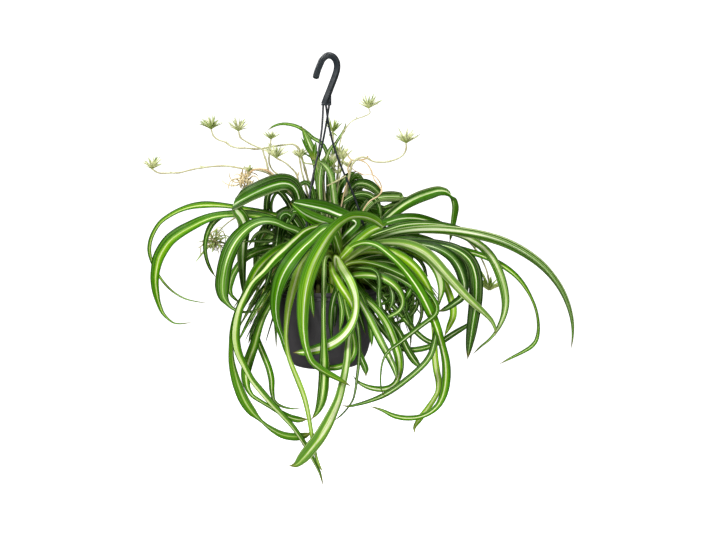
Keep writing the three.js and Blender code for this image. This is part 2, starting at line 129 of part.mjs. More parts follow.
    ["leaf", [[16.2,-10.4,-302.2,0.94,-0.33,0.07,3.2],[19.6,-8.3,-278.1,0.88,-0.24,-0.42,3.2],[34.7,-5.8,-263.9,0.57,0.46,-0.68,4.3],[50.6,-11.2,-255.6,0.23,0.64,-0.73,5.3],[87.7,-10.5,-244.8,0.16,0.7,-0.69,6.5],[125.8,-11.9,-238.9,0.15,0.7,-0.7,6.8],[167.3,-19.5,-240.5,0.08,0.69,-0.72,6.8],[196.6,-29.1,-248.9,-0.21,0.61,-0.76,7],[221.4,-33.9,-267,-0.62,0.48,-0.62,6.9],[238.3,-37.5,-297,-0.93,0.11,-0.36,6.6],[246.1,-40.4,-330.9,-0.98,0.19,-0.08,5.8],[240.5,-42.3,-361.5,-0.74,0.62,0.26,4.1],[226.2,-43.4,-385.4,-0.73,0,0.69,2],[200.4,-44,-408.9,-0.72,0.01,0.7,0.4]]],
  ],
  leaf_right_dark_drop: [
    ["leaf", [[18,-25.5,-287,-0.92,-0.3,0.24,3.6],[25,-22.8,-275.5,-0.61,0.48,0.63,4],[37.5,-22.3,-269.1,-0.02,0.81,0.59,6.4],[57.4,-27.1,-261.6,-0.27,0.86,0.43,7.4],[81.1,-24.8,-255.3,-0.08,0.88,0.46,8],[112.4,-28,-252,0.14,0.87,0.47,8.7],[139.9,-36.4,-252.7,0.37,0.82,0.43,9.2],[169.8,-49.1,-257.9,0.45,0.81,0.38,9.8],[189.8,-57.2,-269.5,0.62,0.69,0.38,10.1],[200.1,-60,-287,0.91,0.34,0.25,10],[203.4,-62,-310.9,1,-0.06,0.01,9.8],[201.5,-63.8,-342.1,0.99,-0.1,-0.12,8.8],[196.4,-65.2,-380.1,0.99,-0.1,-0.12,6.5],[192.5,-65.5,-411.6,0.99,0.14,-0.07,0.6]]],
  ],
  leaf_right_dark_hook: [
    ["leaf", [[21.6,-35.7,-280.3,-0.78,0.32,0.54,3.6],[32.9,-34,-272.5,-0.27,0.76,0.59,5.3],[53,-36,-266.2,-0.03,0.84,0.54,6.8],[80.2,-37.9,-259.2,-0.08,0.85,0.51,7.3],[104.2,-40.1,-254.6,0.08,0.83,0.56,7.4],[128.3,-46.1,-253.6,0.27,0.78,0.57,7.4],[148.3,-54.6,-257.5,0.44,0.68,0.59,7.5],[166.2,-62.1,-266.5,0.65,0.43,0.63,7.3],[177.2,-63.9,-279,0.87,0.09,0.49,7.2],[184.7,-69.7,-297.5,0.97,-0.04,0.24,6.8],[185.5,-74.9,-314,0.98,-0.1,-0.17,6],[178.8,-79.2,-325.3,0.66,-0.17,-0.73,5.3],[164.1,-84.9,-333.7,0.57,-0.16,-0.81,3.8],[148.4,-90.8,-340.1,0.28,-0.18,-0.94,0.5]]],
  ],
  leaf_right_kinked: [
    ["leaf", [[8.1,-10,-291,-0.75,-0.66,-0.01,4.6],[11.7,-10.5,-273.6,-0.88,-0.25,0.41,3.7],[22.5,-10.6,-259.6,-0.61,0.49,0.63,4.3],[42.5,-8.2,-245.3,-0.33,0.81,0.49,6.8],[68.4,-7,-233.9,-0.36,0.72,0.59,7.3],[84.5,-4.2,-220.4,-0.63,0.51,0.58,7.4],[106.9,2.4,-203.6,-0.54,0.49,0.69,8.6],[132.4,6.5,-191.3,-0.35,0.41,0.84,8.9],[156.4,9.5,-184.9,-0.13,0.55,0.82,7.8],[172.7,11.4,-190.7,-0.72,0.33,-0.61,3.9],[178.1,12.8,-203.3,-0.77,0.63,-0.02,5.8],[175.7,14.9,-231.1,-0.78,0.61,0.14,4.5],[171.5,16.1,-258.8,-0.96,0.19,0.18,0.6]]],
  ],
  leaf_right_low_sweep: [
    ["leaf", [[25,-43.5,-283.9,-0.3,0.12,0.95,3.2],[49.1,-49.3,-284.9,0.21,0.13,0.97,3.8],[79.2,-60,-290.9,0.33,0.19,0.93,4.1],[104,-72.4,-300.6,0.59,0.4,0.7,4.3],[125.1,-83.6,-316.1,0.75,0.41,0.52,4.4],[140.3,-95.1,-336.8,0.89,0.37,0.24,4.4],[146.2,-105.9,-358.1,0.95,0.28,-0.14,4.4],[144.3,-116.1,-373.2,0.93,0.23,-0.27,4.4],[137,-122.7,-394.8,0.88,-0.06,-0.48,4.2],[119.4,-126.7,-414.6,0.66,-0.3,-0.69,4],[92.9,-130.8,-435.1,0.59,-0.19,-0.78,3.9],[66.6,-133.6,-449.7,0.37,-0.22,-0.9,3.2],[34.4,-135.4,-459.2,0.21,-0.23,-0.95,1.7],[17.9,-135.6,-458.4,-0.34,-0.23,-0.91,0.4]]],
  ],
  runner_far_left_with_plantlet: [
    ["runner", [[-0.7,11.1,-283.1,2.1],[-5.6,11,-254.9,1.8],[-13.9,10.6,-231.4,1.4],[-27.3,9.9,-206.4,1.4],[-43,9,-187.3,1.4],[-65.4,7.6,-170.4,1.3],[-86.6,6.3,-158.1,1.1],[-110.4,4.6,-152.8,1.1],[-137.9,1.4,-148.7,1.1],[-162,-2.2,-148.7,1],[-189.2,-7.3,-152.4,1.1],[-212.5,-12.2,-157,1],[-236.1,-17.6,-156.5,1],[-244.4,-20,-151.1,1]], 12, 8, 0],
  ],
  runner_left_upper_with_plantlet: [
    ["runner", [[2.3,23,-286.8,2.1],[-3.2,23.6,-258.5,2],[-13,22.2,-227.4,1.5],[-23.4,21.8,-193,1.4],[-32.5,22,-158.5,1.4],[-41.4,22.4,-127.8,1.3],[-47.5,22.7,-119.5,1.3],[-61.6,23.1,-119.8,1.1],[-93.4,24.5,-124.9,1.1],[-118.3,25.9,-124.5,1.1],[-136,27,-123,1.1],[-151.4,28.2,-114.3,1.2],[-161.1,29,-110.5,0.9],[-166.9,30,-97.8,0.9]], 11, 8, 0],
  ],
  runner_left_inner_with_plantlet: [
    ["runner", [[-0.2,7,-279.6,2.1],[-7.9,6,-263.4,2],[-21.3,6,-246.6,1.6],[-37,5.4,-227.2,1.4],[-50.4,4.1,-206.1,1.4],[-64.2,2.5,-185.5,1.4],[-79.4,0.5,-165.9,1.3],[-84.6,-0.8,-152.8,1.2],[-88.8,-3.2,-135.7,1.1],[-91.7,-4.9,-125.6,1.1],[-97.2,-6.2,-121.7,1.1],[-112.8,-9.6,-114.4,1],[-123.3,-12.5,-105.7,1],[-124.3,-14,-98.8,0.9]], 12, 8, 0],
  ],
  runner_left_branched_with_plantlets: [
    ["runner", [[2,14.2,-279.9,2.1],[-2.1,15.4,-266.3,2],[-8.2,15.4,-253.4,1.6],[-18.4,14.8,-234.6,1.4],[-26.1,14.2,-218.6,1.4],[-34.5,13.4,-199,1.4],[-40.4,12.7,-182.4,1.3],[-43.1,12,-168.5,1.2],[-44.7,11.2,-161.6,1.2],[-51.2,9.6,-153.4,1.1],[-61.4,7.1,-143.9,1.1],[-73.7,4.3,-137.3,1]], 12, 8, 0],
    ["runner", [[1.9,14.2,-279.6,2.1],[-0.4,15,-269.3,2.1],[-5.6,15.7,-255.9,1.7],[-14.4,15.1,-236,1.4],[-21,14.5,-219.2,1.4],[-26.6,13.8,-202.1,1.4],[-32,13.1,-181.4,1.4],[-36.2,12.3,-164.1,1.3],[-39.6,10.7,-146.6,1.1],[-41.7,9.5,-136.2,1]], 10, 7, 0],
    ["runner", [[1.9,14.2,-279.6,2.1],[-0.6,15.1,-269.3,2.1],[-6.1,15.6,-255.9,1.7],[-16,15,-236.4,1.4],[-24.3,14.3,-220.3,1.4],[-34.6,13.6,-201.4,1.4],[-44.4,12.9,-186.4,1.3],[-53.6,12.4,-175.6,1.2],[-64.3,11.5,-166.3,1.1],[-78.3,9.9,-155.4,1.1],[-82.2,9.1,-149.5,1],[-83.7,8.3,-142.6,1],[-82.8,6.5,-128.4,0.9],[-80.5,4.2,-110.7,0.9]], 7, 6, 0],
  ],
  runner_top_right_with_plantlet: [
    ["runner", [[9.8,20.7,-286.5,2.1],[10.2,20.8,-261.3,2],[11,21.1,-232.7,1.5],[11.8,20.1,-207.7,1.4],[12.6,18.8,-179.1,1.3],[13.2,17.4,-154.3,1.3],[14.3,16.2,-129.6,1.2],[17.9,15.1,-108.8,1.1],[24,14.3,-96.2,1.1],[33.4,13.5,-85.9,1.1],[49.7,12.6,-79.5,1],[58.3,12,-74.2,1],[57.7,11.7,-70.9,0.9],[56,11.5,-67.8,0.9]], 11, 8, 0],
  ],
  runner_right_with_plantlet: [
    ["runner", [[12.7,0.7,-286.4,2.1],[14.2,1.6,-258,1.9],[16.5,5.2,-237.2,1.4],[21,7,-209.3,1.4],[26.3,7.2,-177.9,1.4],[31.8,6,-150.2,1.4],[36.4,5.3,-140.7,1.5],[49.6,4.4,-136.1,1.1],[55.8,3.8,-138.2,1.1],[61.8,3.2,-141.7,1.1],[82.7,1.2,-142.4,1.1],[99.2,-0.7,-136.6,1],[108.2,-2.4,-126.4,1],[108.2,-3.7,-115.9,0.9]], 12, 8, 0],
  ],
  runner_with_dried_plantlet: [
    ["runner", [[-2,-2.7,-286.6,2.1],[-5.5,-2.8,-269,2.1],[-10.6,-3,-255.6,1.9],[-20.6,-3.1,-236.6,1.5],[-31.1,-3.2,-218,1.4],[-41.7,-3.7,-199.5,1.4],[-52.5,-3.8,-185.4,1.4],[-65.2,-3.8,-173.1,1.3],[-77.1,-3.9,-160.1,1.3],[-85.8,-3.9,-154.3,1.3],[-96.1,-3.9,-152.1,1.3],[-103.1,-3.9,-152.9,1.3],[-109.4,-3.9,-156.1,1.3],[-115.4,-3.9,-164.8,1.4]], 16, 10, 2],
  ],
  runner_upright_with_plantlets: [
    ["runner", [[6.9,30,-293.9,2.2],[6.9,30.1,-272.3,2.1],[6.9,30.7,-254.5,1.9],[6.9,31.9,-236.7,1.6],[7,34.1,-215.5,1.4],[7.1,36.3,-197.9,1.4],[7.2,39.2,-176.8,1.4],[7,41.7,-159.2,1.4],[6.2,45.4,-138.1,1.4],[5.5,49.5,-120.6,1.3],[5.5,54,-103.1,1.1]], 14, 8, 0],
    ["runner", [[6.9,30,-283.1,2.2],[7.6,30.3,-265,2],[8.6,31.3,-247,1.7],[9.7,33.2,-225.5,1.4],[10.1,35.3,-207.6,1.4],[10.4,37.6,-189.9,1.4],[11.2,39.9,-172.1,1.4],[13.4,42.6,-154.5,1.3],[15.5,46,-137,1.1]], 12, 7, 0],
  ],
  runner_hanging_with_plantlet: [
    ["runner", [[-4.9,18,-286.7,2.1],[-9.1,18,-273,2.1],[-18.7,19.2,-258,1.9],[-31.2,21.6,-245.4,1.6],[-45.3,24.7,-234.7,1.4],[-63.6,29.2,-223.7,1.3],[-80.2,32.9,-216.7,1.3],[-94.3,35.7,-213.8,1.3],[-108.8,38.3,-214.5,1.3],[-126.2,41.8,-220.4,1.3],[-139.2,44.7,-227.7,1.3],[-153.7,48.5,-239.5,1.2],[-163.3,51.6,-251.2,1.2],[-166.7,54,-261.9,1]], 25, 9, 1],
  ],
  leaf_behind_01: [
    ["leaf", [[22.1,41.6,-288.4,0.89,-0.24,-0.4,5.5],[25,36.6,-276.1,0.92,-0.32,-0.22,5.9],[28.8,40.6,-264.3,0.95,-0.23,-0.22,6.2],[36.7,50.5,-245.1,0.89,0.02,-0.45,6.8],[46.4,61.5,-229.6,0.56,0.31,-0.77,8.4],[55.2,69.3,-222.5,0.04,0.45,-0.89,9.6],[64.6,76.7,-221.8,-0.55,0.46,-0.7,10],[76.5,86.8,-228.1,-0.75,0.51,-0.43,9.8],[92.6,100.2,-242.6,-0.77,0.54,-0.33,9.6],[105.8,110.9,-258.6,-0.78,0.59,-0.2,9.3],[113.3,117,-276,-0.76,0.64,-0.06,7.7],[116.6,120.1,-298.4,-0.76,0.65,0,6],[117,121.2,-324.3,-0.77,0.64,0.03,3.8],[115.8,121.4,-352.1,-0.77,0.63,0.04,0.5]]],
  ],
  leaf_behind_02: [
    ["leaf", [[15.7,40,-309,0.98,-0.16,-0.12,5.2],[18.5,43.5,-293.3,0.95,-0.25,-0.17,6],[23,47.5,-275.8,0.96,-0.14,-0.23,6.6],[30.6,57.8,-255.6,0.86,0.13,-0.5,7.7],[36.6,66.1,-245.4,0.56,0.31,-0.77,9.3],[43.2,74.2,-240,-0.11,0.35,-0.93,10.8],[49.9,82.8,-240.7,-0.74,0.35,-0.58,11.2],[58.3,94.3,-247.6,-0.87,0.44,-0.24,11],[69.3,109.4,-261.8,-0.86,0.49,-0.14,10.7],[78.3,121.3,-277.7,-0.83,0.56,-0.04,10.3],[83.5,128.2,-294.7,-0.79,0.61,0.01,8.7],[85.8,131.9,-316.3,-0.8,0.61,0.02,6.8],[86.1,133.4,-345.4,-0.82,0.58,0.03,4.1],[85.3,133.5,-372,-0.82,0.57,0.03,0.5]]],
  ],
  leaf_behind_03: [
    ["leaf", [[7.2,103.8,-326.5,1,0,-0.05,5.2],[9.3,107.7,-299.3,0.99,0.01,-0.1,6.3],[12.8,102,-272.2,0.99,0.09,-0.14,7.3],[18,101.2,-246.7,0.93,0.22,-0.28,8.6],[23.9,108.3,-230.9,0.52,0.4,-0.76,11.1],[28,112.1,-228.4,-0.38,0.5,-0.78,12.2],[32,116.4,-231.8,-0.91,0.4,-0.1,12.1],[36.5,135.8,-242.8,-0.93,0.3,0.21,11.7],[41.3,157.3,-260.6,-0.89,0.41,0.19,11],[45.6,175.5,-286.2,-0.89,0.44,0.12,10.2],[47.9,185.9,-313.1,-0.91,0.42,0.07,8.5],[48.9,192.7,-349.6,-0.93,0.37,0.03,6.4],[48.9,195.1,-383.8,-0.94,0.34,0.02,4.1],[48.5,195.8,-419.3,-0.94,0.33,0.01,0.5]]],
  ],
  leaf_behind_04: [
    ["leaf", [[3.7,106.8,-328.6,1,0.01,-0.04,4.6],[5.8,115.6,-290.8,1,0.03,-0.08,5.7],[9.2,117.7,-259.1,0.99,0.1,-0.12,6.7],[14.1,118.2,-228.6,0.95,0.2,-0.24,7.8],[18.8,130.3,-211.7,0.72,0.25,-0.65,9.4],[22.5,145.1,-206.5,-0.07,0.09,-0.99,10.7],[27.1,166.8,-210,-0.98,0.18,-0.04,11],[32.2,192.4,-224.3,-0.93,0.32,0.19,10.2],[36.6,214.4,-245.1,-0.92,0.37,0.15,9.5],[40.5,233.7,-276.6,-0.93,0.36,0.08,8.9],[42.6,244.2,-309.8,-0.95,0.32,0.03,7.3],[43.4,249.6,-347.8,-0.96,0.27,0.01,5.7],[43.5,251.7,-389.1,-0.97,0.25,0.01,3.7],[43.1,252.3,-432.1,-0.97,0.24,0.01,0.5]]],
  ],
  leaf_behind_05: [
    ["leaf", [[-2.4,113.6,-324.1,1,-0.01,0.04,5.2],[-4.5,117.8,-283.2,0.98,-0.16,0.08,6.6],[-8.1,122,-244.8,0.97,-0.21,0.14,7.9],[-11.6,131.6,-221.5,0.91,-0.18,0.38,9.1],[-15.6,153.7,-207.7,0.67,-0.18,0.72,11],[-18.7,169.8,-204.9,-0.43,-0.03,0.9,11.9],[-22.4,191.7,-210.7,-0.96,-0.23,-0.16,11.2],[-26.6,217.3,-227.3,-0.95,-0.28,-0.15,10.1],[-30.7,241.9,-255.5,-0.96,-0.27,-0.07,9.5],[-33.2,257.3,-286.4,-0.97,-0.23,-0.02,9],[-34.7,266.8,-323.4,-0.98,-0.18,-0.01,7.5],[-35.3,271.5,-365,-0.99,-0.15,-0.01,5.9],[-35.2,272.9,-402.2,-0.99,-0.14,-0.01,4],[-34.9,273.4,-448.3,-0.99,-0.13,-0.01,0.5]]],
  ],
  leaf_behind_06: [
    ["leaf", [[-8.8,113.5,-325.6,-1,-0.07,-0.07,5.2],[-12,113.8,-293.7,-0.95,-0.26,-0.19,6.5],[-15.8,105,-268,-0.9,-0.34,-0.26,7.5],[-23,101.2,-238,-0.86,-0.45,-0.25,8.8],[-33.3,106.2,-213.6,-0.79,-0.58,-0.21,11.5],[-40.9,114,-208.4,-0.57,-0.5,-0.65,12.3],[-49.7,124.3,-214.3,0.31,-0.57,-0.76,12],[-58.1,140.2,-228.5,0.45,-0.36,-0.82,11.6],[-66.1,169.8,-248.5,0.64,-0.39,-0.67,11],[-71.4,189,-268.7,0.78,-0.41,-0.47,10.2],[-75.5,205,-297.9,0.89,-0.38,-0.23,8],[-77,213.2,-326.2,0.94,-0.33,-0.1,6.5],[-77.3,218.4,-363.1,0.96,-0.28,-0.02,4.1],[-76.7,220,-401.7,0.97,-0.26,0.01,0.5]]],
  ],
  leaf_behind_07: [
    ["leaf", [[-13.3,59.1,-301,0.97,-0.08,0.21,5.6],[-18.2,69.3,-280.8,0.89,-0.21,0.4,6.9],[-24.1,78,-263.3,0.84,-0.34,0.42,8.1],[-28.2,83,-253.9,0.7,-0.35,0.62,9],[-35.6,88.7,-242.8,0.4,-0.49,0.78,10.8],[-40.2,92.8,-240.3,-0.26,-0.37,0.89,11.1],[-44.8,98.5,-241.1,-0.74,-0.36,0.57,11.2],[-54,111.9,-249.5,-0.88,-0.45,0.15,10.9],[-64,127.6,-263.5,-0.87,-0.49,0.08,10.6],[-72.3,140.5,-279.3,-0.83,-0.56,-0.02,10.1],[-76.9,147.9,-296.9,-0.81,-0.59,-0.03,8.1],[-78.8,151.7,-319.2,-0.83,-0.55,-0.02,6.1],[-79,153.1,-344.8,-0.86,-0.51,-0.02,3.8],[-78.2,153.3,-372,-0.87,-0.49,-0.03,0.5]]],
  ],
  leaf_behind_08: [
    ["leaf", [[-13.6,30.6,-327,-0.99,-0.04,-0.12,3.8],[-17.3,31.5,-302.1,-0.98,0.01,-0.19,5],[-23.8,33.3,-276.6,-0.95,-0.05,-0.3,6],[-31.7,35.8,-256.1,-0.89,-0.23,-0.39,7],[-41.7,39.4,-240.3,-0.7,-0.57,-0.42,8.5],[-49.2,44.1,-235.4,-0.58,-0.62,-0.53,9.7],[-57.2,49.9,-236.3,-0.16,-0.64,-0.75,9.9],[-69.6,59,-244.7,0.16,-0.64,-0.75,9.7],[-87.7,71.7,-259.3,0.15,-0.64,-0.75,9.4],[-98.4,79.1,-270.8,0.52,-0.64,-0.56,8],[-102.6,82.3,-282.8,0.74,-0.63,-0.25,6.7],[-104.1,84.3,-304.7,0.82,-0.58,-0.01,4.4],[-103,84.6,-329.9,0.83,-0.55,0.05,0.5]]],
  ],
  leaf_behind_11: [
    ["leaf", [[16.1,27.8,-305.2,0.95,-0.3,-0.06,4.4],[18.4,28.1,-281,0.81,-0.57,-0.1,6.1],[21.6,29.3,-256.7,0.82,-0.56,-0.08,6.9],[25.2,31.1,-235.5,0.85,-0.51,-0.12,7.4],[31,34.2,-214.5,0.93,-0.16,-0.33,6.5],[35.7,37.2,-206.4,0.54,0.3,-0.78,6.9],[38.3,39.1,-204.9,-0.1,0.4,-0.91,7.8],[42.6,42.4,-205.9,-0.7,0.5,-0.52,8.6],[51.6,49.5,-215.2,-0.77,0.58,-0.26,8.5],[61.6,57.2,-227.3,-0.82,0.53,-0.2,8.3],[68.2,67.2,-238,-0.84,0.55,0.04,7.1],[71.7,74.1,-253.1,-0.76,0.64,0.09,5.6],[72.5,77.3,-272.7,-0.76,0.65,0.06,3.9],[71.7,78.2,-298.5,-0.77,0.64,0.03,0.4]]],
  ],
  leaf_behind_09: [
    ["leaf", [[13.2,107.6,-328.3,0.99,0,-0.14,4.1],[18.9,110.4,-297.6,0.96,0.18,-0.21,5.1],[28.3,104.7,-268.7,0.88,0.35,-0.33,6.3],[42.1,106.7,-242.5,0.67,0.47,-0.58,7.9],[55.2,117,-228.1,0.2,0.42,-0.89,9.6],[68.5,133.3,-223.9,-0.5,0.3,-0.81,10.2],[81.2,153.3,-229.4,-0.85,0.34,-0.41,10],[95.4,176.3,-244.7,-0.89,0.44,-0.13,9.8],[109.2,198.4,-270.7,-0.85,0.52,-0.01,9.4],[118.1,212.4,-299.2,-0.82,0.57,0.02,9],[123.4,221.5,-333,-0.82,0.57,0.03,7.4],[125.5,226.4,-371.2,-0.84,0.54,0.02,5.7],[125.6,228.5,-412.4,-0.86,0.52,0.03,3.6],[124.6,229,-454.9,-0.86,0.51,0.03,0.5]]],
  ],
  leaf_behind_10: [
    ["leaf", [[-9.2,116.8,-324.5,-0.99,-0.09,-0.1,4.2],[-13.9,119.1,-291.2,-0.92,-0.37,-0.13,5.4],[-23.1,120.3,-256.7,-0.79,-0.5,-0.34,6.9],[-29.9,118,-238.6,-0.82,-0.54,-0.2,7.9],[-39.8,138.1,-224.5,-0.94,-0.34,-0.06,9.5],[-49.6,163.1,-220.6,-0.7,-0.31,-0.64,10.2],[-58.8,186.6,-225.9,0.06,-0.35,-0.94,10],[-69.1,212.8,-241.2,0.49,-0.41,-0.77,9.6],[-79.3,238.2,-267.8,0.72,-0.44,-0.53,9],[-86,254.4,-297.5,0.85,-0.42,-0.32,8.5],[-90.1,264.8,-333,0.92,-0.36,-0.14,6.8],[-91.8,270.1,-373.4,0.96,-0.29,-0.04,5.3],[-91.8,272.2,-417.1,0.97,-0.24,0.01,3.4],[-91.1,272.7,-462.4,0.97,-0.22,0.02,0.4]]],
  ],
};

const COLOURS = {
  pot: [0x3f3c40, 0.62],
  soil: [0x2e2118, 0.95],
  hook: [0x39434a, 0.5],
  crown: [0x8fa35a, 0.6],
  leaf: [0x4f8f1e, 0.42],
  runner: [0xb9a878, 0.6],
};

const wasm = await Module();
wasm.setup();

function solidOf(geometry) {
  const g = geometry.clone();
  g.deleteAttribute("normal");
  g.deleteAttribute("uv");
  const m = mergeVertices(g, 1e-4);
  return new wasm.Manifold(new wasm.Mesh({ numProp: 3, vertProperties: new Float32Array(m.attributes.position.array), triVerts: new Uint32Array(m.index.array) }));
}

function geometryOf(solid) {
  const m = solid.getMesh();
  const v = new Float32Array(m.numVert * 3);
  for (let i = 0; i < m.numVert; i++) v.set(m.vertProperties.subarray(i * m.numProp, i * m.numProp + 3), i * 3);
  const g = new THREE.BufferGeometry();
  g.setAttribute("position", new THREE.BufferAttribute(v, 3));
  g.setIndex(new THREE.BufferAttribute(new Uint32Array(m.triVerts), 1));
  g.computeVertexNormals();
  return g;
}

// A closed skin over a row of rings that all have the same number of points, wound to face out.
// turned(i, j) says which way the face between rings i and i + 1, at side j, is cut into triangles.
function skin(rings, turned = () => false) {
  const k = rings[0].length;
  const pos = [];
  for (const r of rings) for (const p of r) pos.push(p.x, p.y, p.z);
  let idx = [];
  for (let i = 0; i < rings.length - 1; i++)
    for (let j = 0; j < k; j++) {
      const a = i * k + j, b = i * k + ((j + 1) % k);
      if (turned(i, j)) idx.push(a, a + k, b, b, a + k, b + k);
      else idx.push(a, a + k, b + k, a, b + k, b);
    }
  const e = (rings.length - 1) * k;
  if (k === 4) {
    idx.push(0, 1, 3, 1, 2, 3, e, e + 3, e + 1, e + 1, e + 3, e + 2);
  } else
    for (let j = 1; j < k - 1; j++) idx.push(0, j, j + 1, e, e + j + 1, e + j);
  let vol = 0;
  const V = (n) => new THREE.Vector3(pos[3 * n], pos[3 * n + 1], pos[3 * n + 2]);
  for (let i = 0; i < idx.length; i += 3) vol += V(idx[i]).dot(V(idx[i + 1]).cross(V(idx[i + 2])));
  if (vol < 0) for (let i = 0; i < idx.length; i += 3) [idx[i + 1], idx[i + 2]] = [idx[i + 2], idx[i + 1]];
  const g = new THREE.BufferGeometry();
  g.setAttribute("position", new THREE.BufferAttribute(new Float32Array(pos), 3));
  g.setIndex(idx);
  return g;
}

function along(points, i) {
  const a = points[Math.max(i - 1, 0)], b = points[Math.min(i + 1, points.length - 1)];
  return b.clone().sub(a).normalize();
}

// A strap leaf: a shallow channel that is thickest at the midrib and runs out to a thin edge.
function leafGeometry(stations) {
  const mid = stations.map((s) => new THREE.Vector3(s[0], s[1], s[2]));
  // the run of the blade at each station, weighted as a central difference along the row
  const rings = stations.map((s, i) => {
    const side = new THREE.Vector3(s[3], s[4], s[5]);
    const t = i === 0 ? mid[1].clone().sub(mid[0]) : i === mid.length - 1 ? mid[i].clone().sub(mid[i - 1]) : mid[i + 1].clone().sub(mid[i - 1]);
    t.normalize();
    const up = t.clone().cross(side).normalize();
    const h = Math.max(s[6], 0.5);
    const half = (LEAF_THICK / 2) * (i === mid.length - 1 ? 0.6 : 1);
    const rise = up.clone().multiplyScalar(LEAF_CHANNEL * h);
    return [
      mid[i].clone().addScaledVector(side, -h).add(rise),
      mid[i].clone().addScaledVector(up, -half),
      mid[i].clone().addScaledVector(side, h).add(rise),
      mid[i].clone().addScaledVector(up, half),
    ];
  });
  // the upper and the lower face of each half of the blade are cut along the same, shorter diagonal, so that they stay one thickness apart where the blade twists
  const edgeFirst = (i, e) => rings[i][e].distanceTo(mid[i + 1]) < rings[i + 1][e].distanceTo(mid[i]);
  return skin(rings, (i, j) => (j === 0 ? !edgeFirst(i, 0) : j === 3 ? edgeFirst(i, 0) : j === 1 ? edgeFirst(i, 2) : !edgeFirst(i, 2)));
}

function rodGeometry(points, radii, sides) {
  const ref = new THREE.Vector3(0.2, 1, 0.1);
  return skin(
    points.map((p, i) => {
      const t = along(points, i);
      const a = t.clone().cross(ref).normalize();
      const b = t.clone().cross(a);
      return Array.from({ length: sides }, (_, j) => {
        const w = (2 * Math.PI * j) / sides;
        return p.clone().addScaledVector(a, radii[i] * Math.cos(w)).addScaledVector(b, radii[i] * Math.sin(w));
      });
    }),
  );
}

// One narrow leaflet or dry fibre, standing out of the plantlet's centre.
function leaflet(centre, dir, length) {
  const g = new THREE.ConeGeometry(1.05, length, 4);
  g.translate(0, length / 2 - 0.6, 0);
  g.applyQuaternion(new THREE.Quaternion().setFromUnitVectors(new THREE.Vector3(0, 1, 0), dir));
  g.translate(centre.x, centre.y, centre.z);
  return solidOf(g);
}

function plantletParts(centre, length, count, habit) {
  const bud = new THREE.IcosahedronGeometry(1.9, 0);
  bud.translate(centre.x, centre.y, centre.z);
  const parts = [solidOf(bud)];
  for (let i = 0; i < count; i++) {
    const w = i * 2.399963 + 0.4;
    const lift = habit === 0 ? 0.15 + 0.75 * ((i * 0.618) % 1) : habit === 1 ? 0.35 - 1.0 * ((i * 0.618) % 1) : 0.8 - 1.5 * ((i * 0.618) % 1);
    const dir = new THREE.Vector3(Math.cos(w), Math.sin(w), lift).normalize();
    parts.push(leaflet(centre, dir, length * (0.75 + 0.25 * Math.cos(i * 1.7))));
  }
  return parts;
}

function grownGeometry(members) {
  if (members.length === 1 && members[0][0] === "leaf") return leafGeometry(members[0][1]);
  let solid = null;
  const add = (s) => {
    solid = solid ? solid.add(s) : s;
  };
  for (const m of members) {
    if (m[0] === "leaf") add(solidOf(leafGeometry(m[1])));
    else {
      const pts = m[1].map((p) => new THREE.Vector3(p[0], p[1], p[2]));
      add(solidOf(rodGeometry(pts, m[1].map((p) => p[3]), 5)));
      for (const q of plantletParts(pts[pts.length - 1], m[2], m[3], m[4])) add(q);
    }
  }
  // where crossing blades close off a pocket between them, the pocket is filled
  const bodies = solid.decompose().filter((b) => b.volume() > 0);
  bodies.sort((a, b) => b.volume() - a.volume());
  if (bodies.length > 1) throw new Error("leaves or runners that should grow from one another are apart");
  return geometryOf(bodies[0]);
}

function lathe(profile, sides) {
  // the profile is in radius and height; the lathe turns about Y, so it is stood up on Z
  const g = new THREE.LatheGeometry(profile.map(([r, z]) => new THREE.Vector2(r, z)), sides);
  g.rotateX(Math.PI / 2);
  g.translate(POT_X, 0, 0);
  return g;
}

function facingOut(geometry) {
  const s = solidOf(geometry);
  if (s.volume() > 0) return s;
  const g = geometry.clone();
  g.deleteAttribute("normal");
  g.deleteAttribute("uv");
  const m = mergeVertices(g, 1e-4);
  const t = new Uint32Array(m.index.array);
  for (let i = 0; i < t.length; i += 3) [t[i + 1], t[i + 2]] = [t[i + 2], t[i + 1]];
  return new wasm.Manifold(new wasm.Mesh({ numProp: 3, vertProperties: new Float32Array(m.attributes.position.array), triVerts: t }));
}

// ---- pot ----
function potGeometry() {
  const outer = [[POT_BASE_R, POT_BASE_Z], [51, POT_BASE_Z + 3.5], [57.5, POT_BASE_Z + 13], [62.2, POT_BASE_Z + 27], [67.8, POT_BASE_Z + 56], [71.8, POT_BASE_Z + 92], [72.6, RIM_Z - 6], [RIM_R, RIM_Z - 5.2], [RIM_R, RIM_Z - 0.8], [RIM_R - 0.8, RIM_Z]];
  const inner = [[RIM_R - 2.6, RIM_Z], [RIM_R - 3, RIM_Z - 5], [71.8 - WALL, POT_BASE_Z + 92], [67.8 - WALL, POT_BASE_Z + 56], [62.2 - WALL, POT_BASE_Z + 27], [57.5 - WALL, POT_BASE_Z + 14], [50, POT_BASE_Z + 5], [POT_BASE_R - 2, POT_BASE_Z + WALL + 0.2]];
  let s = facingOut(lathe([[0, POT_BASE_Z], ...outer, ...inner, [0, POT_BASE_Z + WALL + 0.2]], POT_SIDES));
  for (let i = 0; i < DRAIN_COUNT; i++) {
    const w = (i / DRAIN_COUNT) * 2 * Math.PI;
    const c = new THREE.CylinderGeometry(DRAIN_R, DRAIN_R, 8, 16);
    c.rotateX(Math.PI / 2);
    c.translate(POT_X + DRAIN_PITCH_R * Math.cos(w), DRAIN_PITCH_R * Math.sin(w), POT_BASE_Z);
    s = s.subtract(solidOf(c));
  }
  return geometryOf(s);
}

